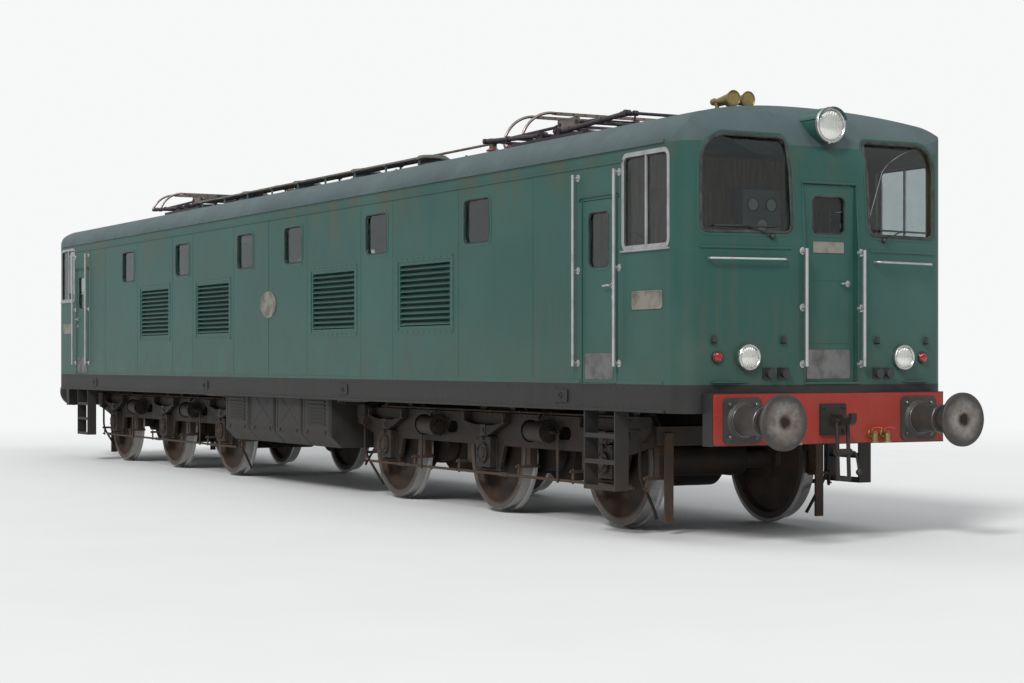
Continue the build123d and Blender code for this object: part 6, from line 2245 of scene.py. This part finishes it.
@dataclass(frozen=True)
class Pantograph:
    """Springs, bearings, braces and ferrules of one folded pantograph.

    Args:
        end: The end it stands at.
        shaft: X of the shafts from its middle.
        arm_z: Height of the shafts.
        lean: Slope of the folded lower arms.
        elbow: X and Z of the elbows.
        apex: X and Z of the apex pins.
        lower_y: Y of the lower arms.
    """

    end: End
    shaft: float = 0.18
    arm_z: float = 4.0
    lean: float = 0.04366
    elbow: tuple[float, float] = (1.4788, 4.0567)
    apex: tuple[float, float] = (0.18, 4.1173)
    lower_y: float = 0.56

    def place(
        self, name: str, shapes: list[Shape], finish: Finish, body: str, slot: str = "pantograph_dark"
    ) -> None:
        """Put pieces built about the pantograph's middle."""
        shape = together(shapes).moved((5.7, 0.0, 0.0))
        put(f"{name}_{self.end.word}", [shape], finish, body, self.end)

    def springs(self) -> list[Shape]:
        """Raising springs with their hooks and rods, on the base frame."""
        shapes = []
        for way in (-1, 1):
            for y in (-0.30, 0.30):
                shapes.append(coil(0.026, (way * 0.63, y, 3.936), (way * 0.33, y, 3.938), 20, 0.005))
                shapes.append(bar((way * 0.70, y, 3.936), (way * 0.62, y, 3.936), 0.008))
                shapes.append(bar((way * 0.34, y, 3.938), (way * 0.20, y, 3.942), 0.008))
                shapes.append(lathe([(0.016, -0.006), (0.016, 0.006)], (way * 0.67, y, 3.936), X_AXIS, 6))
        return shapes

    def base(self) -> list[Shape]:
        """Bearing bolts, frame bolts, and the air cylinder that raises the frame."""
        shapes = [repeated(bolt(0.009, Z_AXIS), lattice([-0.72, 0.72], [-0.59, -0.53, 0.53, 0.59], [3.954]))]
        shapes.append(
            repeated(bolt(0.008, Z_AXIS), lattice([-0.135, -0.225, 0.135, 0.225], [-0.62, 0.62], [3.953]))
        )
        cylinder = np.array(
            [
                (0.058, 0.0), (0.064, 0.004), (0.064, 0.018), (0.055, 0.022), (0.055, 0.25), (0.064, 0.254),
                (0.064, 0.268)
            ]
        )
        shapes.append(lathe(cylinder, (0.30, 0.0, 3.858), X_AXIS, 32))
        shapes.append(bar((0.10, 0.0, 3.858), (0.31, 0.0, 3.858), 0.012))
        shapes.append(slab((0.34, -0.05, 3.764), (0.52, 0.05, 3.81), 0.004))
        shapes.append(pipe([(0.56, 0.0, 3.858), (0.64, 0.0, 3.83), (0.66, 0.08, 3.78)], 0.010, 0.04))
        return shapes

    def lower(self, way: int) -> list[Shape]:
        """Ferrules, gussets, shaft nuts and the crossed braces of one lower frame."""
        shapes = []
        first, second = 0.34, 0.98

        def height(x: float) -> float:
            """Height of the arm's line at a distance from the middle."""
            return self.arm_z + (x - self.shaft) * self.lean

        for side in (-1, 1):
            y = side * self.lower_y
            for start, stop in (
                (self.shaft + 0.03, self.shaft + 0.13), (self.elbow[0] - 0.13, self.elbow[0] - 0.035)
            ):
                shapes.append(bar((way * start, y, height(start)), (way * stop, y, height(stop)), 0.031, 16))
            for x in (first, second):
                shapes.append(
                    collar(0.024, 0.034, -0.02, 0.02, (way * x, y, height(x)), (way, 0.0, self.lean), 20)
                )
            shapes.append(bar((way * first, -y, height(first)), (way * second, y, height(second)), 0.008, 8))
            end = side * 0.640
            shapes.append(
                lathe(
                    [(0.026, 0), (0.026, 0.014), (0.014, 0.018)], (way * self.shaft, end, self.arm_z),
                    (0.0, side, 0.0), 6
                )
            )
        for x in (first, second):
            shapes.append(
                bar((way * x, -self.lower_y, height(x)), (way * x, self.lower_y, height(x)), 0.009, 10)
            )
        return shapes

    def upper(self, way: int) -> list[Shape]:
        """Ferrules and elbow caps of one upper frame."""
        shapes = []
        for side in (-1, 1):
            foot = np.array([way * self.elbow[0], side * 0.47, self.elbow[1]])
            head = np.array([way * self.apex[0], side * 0.33, self.apex[1]])
            for start, stop in ((0.03, 0.10), (0.90, 0.97)):
                shapes.append(
                    bar(tuple(foot + (head - foot) * start), tuple(foot + (head - foot) * stop), 0.0215, 14)
                )
            cap = np.array([(0.026, 0.0), (0.030, 0.006), (0.030, 0.014), (0.016, 0.020)])
            shapes.append(
                lathe(cap, (way * self.elbow[0], side * 0.588, self.elbow[1]), (0.0, side, 0.0), 20)
            )
        return shapes

    def head(self) -> list[Shape]:
        """Side bolts of the strips, horn ferrules and carrier pins of the collector head."""
        shapes = []
        for x in (-0.19, 0.19):
            for y in (-1, 1):
                shapes.append(collar(0.012, 0.0155, 0.0, 0.03, (x, y * 0.645, 4.1863), (0.0, y, -0.1), 16))
            for way in (-1, 1):
                spots = lattice([x + way * 0.022], np.linspace(-0.58, 0.58, 9), [4.186])
                shapes.append(repeated(bolt(0.006, (way, 0.0, 0.0)), spots))
        for y in (-0.381, 0.381):
            way = math.copysign(1.0, y)
            for x in (-self.apex[0], self.apex[0]):
                shapes.append(lathe([(0.024, 0), (0.024, 0.006)], (x, y, self.apex[1]), (0.0, way, 0.0), 20))
        return shapes

    def dress(self) -> None:
        """Put the pantograph's pieces on its bodies."""
        word = self.end.word
        self.place("pantograph_springs", self.springs(), FORGED, "carbody")
        self.place("pantograph_base_fittings", self.base(), PANTOGRAPH, "carbody")
        for letter, way in (("a", 1), ("b", -1)):
            self.place(
                f"lower_frame_fittings_{letter}", self.lower(way), PANTOGRAPH,
                f"pantograph_lower_{letter}_{word}"
            )
            self.place(
                f"upper_frame_fittings_{letter}", self.upper(way), PANTOGRAPH,
                f"pantograph_upper_{letter}_{word}"
            )
        self.place(
            "collector_head_fittings", self.head(), PANTOGRAPH, f"pantograph_head_{word}", "collector_strip"
        )


@dataclass(frozen=True)
class Cab(Assembly):
    """The cab's inside: floor, bulkhead door and lining, instruments, controller and lamp.

    Args:
        wall: X of the bulkhead's cab face.
        floor: Height of the floor.
        desk_y: Y of the desk's middle.
    """

    wall: float = 7.75
    floor: float = 1.40
    desk_y: float = 0.79

    def joinery(self) -> list[Shape]:
        """Door and panel mouldings on the bulkhead, in wood."""
        across, up = Y_AXIS, Z_AXIS
        shapes = [
            plate(rounded_outline(0.66, 1.86, 0.02, 4), 0.024, (self.wall, -0.30, 2.34), across, up, 0.004)
        ]
        for z, high in ((1.92, 0.72), (2.78, 0.66)):
            shapes.append(
                trim(
                    rounded_outline(0.46, high, 0.02, 4), (self.wall + 0.022, -0.30, z), across, up, 0.03,
                    0.012
                )
            )
        for y in (-1.02, 0.42, 1.02):
            shapes.append(
                trim(rounded_outline(0.46, 0.9, 0.02, 4), (self.wall, y, 2.0), across, up, 0.03, 0.012)
            )
        return shapes

    def lining(self) -> list[Shape]:
        """Linoleum on the floor."""
        return [
            slab((self.wall + 0.002, -1.395, self.floor - 0.002), (9.20, 1.395, self.floor + 0.004), 0.002)
        ]

    def cupboard(self) -> list[Shape]:
        """Switch cupboard with dials on the bulkhead behind the driver, and the wall heater."""
        shapes = [slab((self.wall - 0.002, 0.30, 2.62), (self.wall + 0.16, 0.76, 3.30), 0.012)]
        shapes.append(slab((9.05, -1.18, self.floor + 0.06), (9.20, -0.50, self.floor + 0.5), 0.015))
        for y in np.linspace(-1.10, -0.58, 9):
            shapes.append(
                slab((9.040, y - 0.012, self.floor + 0.12), (9.052, y + 0.012, self.floor + 0.44), 0.003)
            )
        return shapes

    def binnacle(self) -> list[Shape]:
        """Instrument housing on top of the desk."""
        return [slab((9.14, self.desk_y - 0.34, 2.44), (9.27, self.desk_y + 0.34, 2.64), 0.02)]

    def dials(self) -> tuple[list[Shape], list[Shape]]:
        """Dial faces and their rims, looking back at the driver and into the cab."""
        faces, rims = [], []
        for y in np.linspace(self.desk_y - 0.27, self.desk_y + 0.27, 5):
            centre = (9.141, float(y), 2.54)
            faces.append(lathe([(0.046, 0.0), (0.046, 0.006)], centre, (-1.0, 0.0, 0.0), 28))
            rims.append(collar(0.044, 0.053, 0.0, 0.012, centre, (-1.0, 0.0, 0.0), 28))
        for y, z in ((0.42, 3.14), (0.64, 3.14), (0.53, 2.94)):
            centre = (self.wall + 0.158, y, z)
            faces.append(lathe([(0.06, 0.0), (0.06, 0.006)], centre, X_AXIS, 28))
            rims.append(collar(0.058, 0.068, 0.0, 0.012, centre, X_AXIS, 28))
        return faces, rims

    def controls(self) -> list[Shape]:
        """Controller wheel with spokes, brake valves, a hand-brake wheel and a cupboard handle."""
        shapes = []
        lean = unit(np.array([-0.47, 0.0, 0.88]))
        centre = np.array([9.03, self.desk_y + 0.02, 2.40])
        shapes.append(
            lathe([(0.05, -0.04), (0.05, 0.0), (0.022, 0.02), (0.022, 0.09)], tuple(centre), tuple(lean), 24)
        )
        hub = centre + lean * 0.09
        ring = around(tuple(hub), 0.13, 36, tuple(lean))
        shapes.append(carried(circle(0.011, 8), ring, tuple(lean), looped=True))
        shapes += [
            bar(tuple(hub), tuple(spot), 0.007, 8) for spot in around(tuple(hub), 0.13, 4, tuple(lean))
        ]
        for y in (self.desk_y + 0.26, self.desk_y + 0.33):
            shapes.append(bar((9.0, y, 2.36), (9.0, y, 2.50), 0.016))
            shapes.append(pipe([(9.0, y, 2.49), (8.96, y, 2.50), (8.89, y - 0.03, 2.50)], 0.009, 0.02))
        shapes.append(bar((9.02, self.desk_y - 0.28, 2.38), (9.0, self.desk_y - 0.28, 2.52), 0.009))
        wheel = (self.wall + 0.10, -0.92, 2.62)
        shapes.append(carried(circle(0.012, 8), around(wheel, 0.20, 40, X_AXIS), X_AXIS, looped=True))
        shapes += [bar(wheel, tuple(spot), 0.009, 8) for spot in around(wheel, 0.20, 5, X_AXIS)]
        shapes.append(bar((self.wall, -0.92, 2.62), (self.wall + 0.12, -0.92, 2.62), 0.02))
        shapes.append(
            pipe(
                [
                    (self.wall + 0.024, -0.06, 2.30), (self.wall + 0.07, -0.06, 2.30),
                    (self.wall + 0.07, -0.16, 2.30)
                ],
                0.009, 0.02
            )
        )
        return shapes

    def lamp(self) -> list[Shape]:
        """Ceiling lamp glass."""
        return [dome(0.11, 0.06, (8.5, 0.0, 3.80), (0.0, 0.0, -1.0))]

    def dress(self) -> None:
        """Put the cab's inside."""
        faces, rims = self.dials()
        self.add("cab_joinery", self.joinery(), VARNISHED, "cab_interior")
        self.add("cab_floor_lino", self.lining(), LINO, "cab_interior")
        self.add("cab_cupboard", self.cupboard(), GREY, "machine_grey")
        self.add("desk_binnacle", self.binnacle(), DESK, "desk_paint")
        self.add("cab_dials", faces, DIAL, "desk_paint")
        self.add("cab_dial_rims", rims, BLACK, "desk_paint")
        self.add("cab_controls", self.controls(), BLACK, "desk_paint")
        self.add("cab_lamp", self.lamp(), LAMP, "lamp_bright")


@dataclass(frozen=True)
class Cushion:
    """A stuffed leathercloth pad: two crowned faces sewn to a border, its sides drawn in.

    Args:
        wide: Size across.
        deep: Size from front to back.
        thick: Thickness at the seams.
        bend: Corner radius.
        draw: How far each side is drawn in mid-way between its corners.
        crown: How far the faces rise in their middles.
        cap: The most that the cloth may move.
    """

    wide: float = 0.45
    deep: float = 0.44
    thick: float = 0.082
    bend: float = 0.06
    draw: float = 0.012
    crown: float = 0.016
    cap: float = 0.014

    def outline(self) -> Array:
        """The seam's outline: each side is drawn in by the square of the way from its corner."""
        flat = rounded_outline(self.wide, self.deep, self.bend, 8)
        loop = np.vstack([flat, flat[:1]])
        rows = [
            spaced((*a, 0), (*b, 0), 13)[:-1, :2] if np.linalg.norm(b - a) > 0.1 else a[None]
            for a, b in zip(loop, loop[1:])
        ]
        points = np.vstack(rows)
        share = np.abs(points) / (np.array([self.wide, self.deep]) / 2)
        pull = np.clip(1 - share[:, ::-1] ** 2, 0, 1) * (share > 0.98)
        return points * (1 - pull * self.draw / (np.array([self.wide, self.deep]) / 2))

    def shape(self) -> Shape:
        """Rings from the lower middle out to the seams, up the border and in to the upper middle.

        A ring at share s of the outline rises by the crown times one less s to the fourth, and the
        border swells by a sine of the way up it.
        """
        seam = self.outline()
        shares = np.linspace(0.06, 1.0, 13)
        lift = self.crown * (1 - shares**4)
        lower = [np.column_stack([seam * s, np.full(len(seam), -0.5 * up)]) for s, up in zip(shares, lift)]
        upper = [
            np.column_stack([seam * s, np.full(len(seam), self.thick + up)]) for s, up in zip(shares, lift)
        ]
        rise = np.linspace(0, 1, 7)[1:-1]
        swell = 1 + 0.018 * np.sin(math.pi * rise)
        sides = [np.column_stack([seam * g, np.full(len(seam), self.thick * t)]) for g, t in zip(swell, rise)]
        return closed(np.array(lower + sides + upper[::-1]))

    def welts(self) -> Shape:
        """Piping sewn round both seams."""
        seam = self.outline() * 1.006
        rings = [np.column_stack([seam, np.full(len(seam), z)]) for z in (0.002, self.thick - 0.002)]
        return together([carried(circle(0.0045, 8), ring, Z_AXIS, looped=True) for ring in rings])

    def blown(self, name: str) -> Shape:
        """The pad after its cover has been blown out by the stuffing, as a cloth under pressure.

        Each point's move is the simulated one, cut to the cap; the seams are pinned.
        """
        mesh = welded(name, self.shape())
        start = np.empty(len(mesh.vertices) * 3)
        mesh.vertices.foreach_get("co", start)
        start = start.reshape(-1, 3)
        points = self.simulated(mesh, start)
        quads = np.array([list(p.vertices) + [p.vertices[-1]] * (4 - len(p.vertices)) for p in mesh.polygons])
        bpy.data.meshes.remove(mesh)
        return Shape(points, quads)

    def simulated(self, mesh: bpy.types.Mesh, start: Array) -> Array:
        """Run the cloth from frame 1 to 20 without gravity and return the capped places."""
        scene = bpy.context.scene
        pad = bpy.data.objects.new(mesh.name, mesh)
        scene.collection.objects.link(pad)
        seam = np.linalg.norm(start[:, :2], axis=1) > 0.9 * np.linalg.norm(self.outline(), axis=1).min()
        edge = np.minimum(np.abs(start[:, 2]), np.abs(start[:, 2] - self.thick)) < 0.001
        pins = pad.vertex_groups.new(name="seams")
        pins.add(np.flatnonzero(seam & edge).tolist(), 1.0, "REPLACE")
        cloth = pad.modifiers.new("cover", "CLOTH")
        cloth.settings.use_pressure = True
        cloth.settings.uniform_pressure_force = 4.0
        cloth.settings.quality = 6
        cloth.settings.mass = 0.3
        cloth.settings.effector_weights.gravity = 0.0
        cloth.settings.vertex_group_mass = "seams"
        cloth.collision_settings.use_collision = False
        cloth.point_cache.frame_end = 20
        for step in range(1, 21):
            scene.frame_set(step)
        graph = bpy.context.evaluated_depsgraph_get()
        done = pad.evaluated_get(graph).to_mesh()
        ended = np.empty(len(done.vertices) * 3)
        done.vertices.foreach_get("co", ended)
        scene.frame_set(1)
        bpy.data.objects.remove(pad)
        move = ended.reshape(-1, 3) - start
        length = np.linalg.norm(move, axis=1, keepdims=True)
        LOG.info("%s: cloth moved %.1f mm at most", mesh.name, 1000 * float(length.max()))
        return start + move * np.minimum(1.0, self.cap / np.maximum(length, 1e-9))


@dataclass(frozen=True)
class Seats:
    """The four cab seats: padded cushions and backs on turned pedestals.

    Args:
        place: X and Y of a seat.
        low: Height of the cushion's underside.
        post: Radius of the pedestal.
    """

    place: tuple[float, float] = (8.62, 0.76)
    low: float = 1.84
    post: float = 0.045

    def frames(self) -> Shape:
        """Pedestal, foot, seat pan, adjusting collar and the back's bracket of one seat."""
        column = [
            (0.17, 1.402), (0.17, 1.416), (0.16, 1.422), (0.06, 1.430), (self.post, 1.45), (self.post, 1.62)
        ]
        column += [(0.06, 1.625), (0.06, 1.66), (0.036, 1.665), (0.036, self.low - 0.02)]
        shapes = [lathe(column, (0, 0, 0), Z_AXIS, 32)]
        shapes.append(slab((-0.19, -0.19, self.low - 0.024), (0.19, 0.19, self.low - 0.004), 0.006))
        for y in (-0.13, 0.13):
            path = [(-0.12, y, self.low - 0.014), (-0.262, y, self.low - 0.014), (-0.262, y, self.low + 0.42)]
            shapes.append(pipe(path, 0.012, 0.08, Y_AXIS))
        shapes.append(bar((0.06, 0.0, 1.64), (0.10, 0.0, 1.64), 0.009))
        return together(shapes)

    def dress(self) -> None:
        """Put the frames, which stand for the plain seats, and the padded pieces."""
        x, y = self.place
        spots = np.array([(x, side * y, 0.0) for side in (-1, 1)])
        frames = repeated(self.frames(), spots)
        piece = put("seat_frames", [frames, frames.turned(End.REAR)], BLACK, "carbody")
        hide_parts("driver_seats")
        seat = Cushion()
        back = Cushion(wide=0.45, deep=0.58, thick=0.062, crown=0.014)
        pad, rest = seat.blown("seat_pad"), back.blown("seat_back")
        for end in End:
            for side in Side:
                word = f"{end.word}_{side.word}"
                at = (x, side.value * end.value * y, self.low)
                behind = (x - 0.245, at[1], self.low + 0.30)
                padding = {"seat_cushion": pad.moved(at), "seat_backrest": rest.stood().moved(behind)}
                for name, shape in padding.items():
                    made = put(f"{name}_{word}", [shape], HIDE, "carbody", end)
                    smoother = made.modifiers.new("smooth", "SUBSURF")
                    smoother.levels = 1
                    smoother.render_levels = 1
                    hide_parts("driver_seats")
                sewn = [seat.welts().moved(at), back.welts().stood().moved(behind)]
                put(f"seat_piping_{word}", sewn, SEAL, "carbody", end)


@dataclass(frozen=True)
class Studio:
    """Floor, lights, world and camera.

    Args:
        floor_tone: Colour of the floor.
        white: Colour of the background.
        eye: Where the camera stands.
        centre_angle: Degrees between its line of sight and the locomotive's length.
        field_angle: Degrees that it takes in.
        rise: How far the picture is shifted up.
        near: Distance from the middle where the floor starts to fade.
        far: Distance where it has faded.
        ambient: Strength of the light from all round.
    """

    floor_tone: Colour = (0.80, 0.80, 0.79)
    white: Colour = (0.93, 0.935, 0.94)
    eye: Point = (24.0, -11.07, 1.60)
    centre_angle: float = 28.7
    field_angle: float = 28.6
    rise: float = 0.02
    near: float = 13.0
    far: float = 26.0
    ambient: float = 0.5

    def floor(self) -> None:
        """A large pale floor that fades into the background's white where only the camera sees it."""
        half = 90.0
        corners = np.array([[-half, -half, 0], [half, -half, 0], [half, half, 0], [-half, half, 0]], float)
        mesh = bpy.data.meshes.new("studio_floor")
        mesh.from_pydata(corners.tolist(), [], [(0, 1, 2, 3)])
        sheet = Sheet("studio_floor")
        tone = sheet.mixed(sheet.patches(0.7, 0.3, 0.7, detail=2), self.floor_tone, (0.78, 0.78, 0.77))
        sheet.join(tone, "Base Color")
        sheet.join(0.7, "Roughness")
        x, y = sheet.axis("X"), sheet.axis("Y")
        radius = sheet.sum("SQRT", sheet.sum("ADD", sheet.times(x, x), sheet.times(y, y)))
        seen = sheet.node("LightPath").outputs["Is Camera Ray"]
        share = sheet.times(sheet.between(radius, self.near, self.far), seen)
        glow = sheet.node("Emission", Color=self.white, Strength=1.0)
        blend = sheet.tree.nodes.new("ShaderNodeMixShader")
        sheet.feed(blend.inputs[0], share)
        sheet.feed(blend.inputs[1], sheet.shader.outputs[0])
        sheet.feed(blend.inputs[2], glow.outputs[0])
        sheet.feed(sheet.tree.nodes["Material Output"].inputs["Surface"], blend.outputs[0])
        mesh.materials.append(sheet.material)
        floor = bpy.data.objects.new("studio_floor", mesh)
        bpy.context.scene.collection.objects.link(floor)

    def sun(self, name: str, towards: Point, spread: float, strength: float) -> None:
        """One soft sun that shines along a direction."""
        data = bpy.data.lights.new(name, "SUN")
        data.angle = math.radians(spread)
        data.energy = strength
        lamp = bpy.data.objects.new(name, data)
        lamp.rotation_euler = Vector(towards).to_track_quat("-Z", "Y").to_euler()
        bpy.context.scene.collection.objects.link(lamp)

    def world(self) -> None:
        """White to the camera, soft grey as a light."""
        world = bpy.data.worlds.new("studio_world")
        bpy.context.scene.world = world
        world.use_nodes = True
        tree = world.node_tree
        tree.nodes.clear()
        path = tree.nodes.new("ShaderNodeLightPath")
        soft = tree.nodes.new("ShaderNodeBackground")
        soft.inputs[0].default_value = (0.94, 0.97, 1.0, 1.0)
        soft.inputs[1].default_value = self.ambient
        white = tree.nodes.new("ShaderNodeBackground")
        white.inputs[0].default_value = (*self.white, 1.0)
        mix = tree.nodes.new("ShaderNodeMixShader")
        tree.links.new(path.outputs["Is Camera Ray"], mix.inputs[0])
        tree.links.new(soft.outputs[0], mix.inputs[1])
        tree.links.new(white.outputs[0], mix.inputs[2])
        out = tree.nodes.new("ShaderNodeOutputWorld")
        tree.links.new(mix.outputs[0], out.inputs[0])

    def camera(self) -> None:
        """A level camera at a standing eye, where the photograph was taken from, turned to the middle."""
        data = bpy.data.cameras.new("camera")
        data.angle = math.radians(self.field_angle)
        data.clip_end = 400
        data.shift_y = self.rise
        camera = bpy.data.objects.new("camera", data)
        camera.location = self.eye
        angle = math.radians(self.centre_angle)
        look = Vector((-math.cos(angle), math.sin(angle), 0.0))
        camera.rotation_euler = look.to_track_quat("-Z", "Y").to_euler()
        bpy.context.scene.collection.objects.link(camera)
        bpy.context.scene.camera = camera

    def build(self) -> None:
        """Set the stage."""
        self.floor()
        self.world()
        self.sun("key", (-0.45, 0.66, -0.70), 16, 2.0)
        self.sun("fill", (-0.75, -0.15, -0.70), 30, 0.6)
        self.sun("back", (0.7, 0.3, -0.8), 30, 0.35)
        self.camera()
        bpy.context.scene.view_settings.view_transform = "Standard"


def main() -> None:
    """Build every sub-assembly in order."""
    logging.basicConfig(level=logging.INFO, format="%(name)s: %(message)s")
    wheels = Wheels()
    dress_nodes(wheels)
    BodySides().dress()
    for end in End:
        Nose(end).dress()
        CabSide(end).dress()
        EndDoor(end).dress()
        for side in Side:
            CabDoor(end, side).dress()
        Headstock(end).dress()
        Bogie(end).dress()
        Horns(end).dress()
        Cab(end).dress()
        Pantograph(end).dress()
    wheels.dress()
    Underfloor().dress()
    Roof().dress()
    Seats().dress()
    Studio().build()


if __name__ == "__main__":
    main()
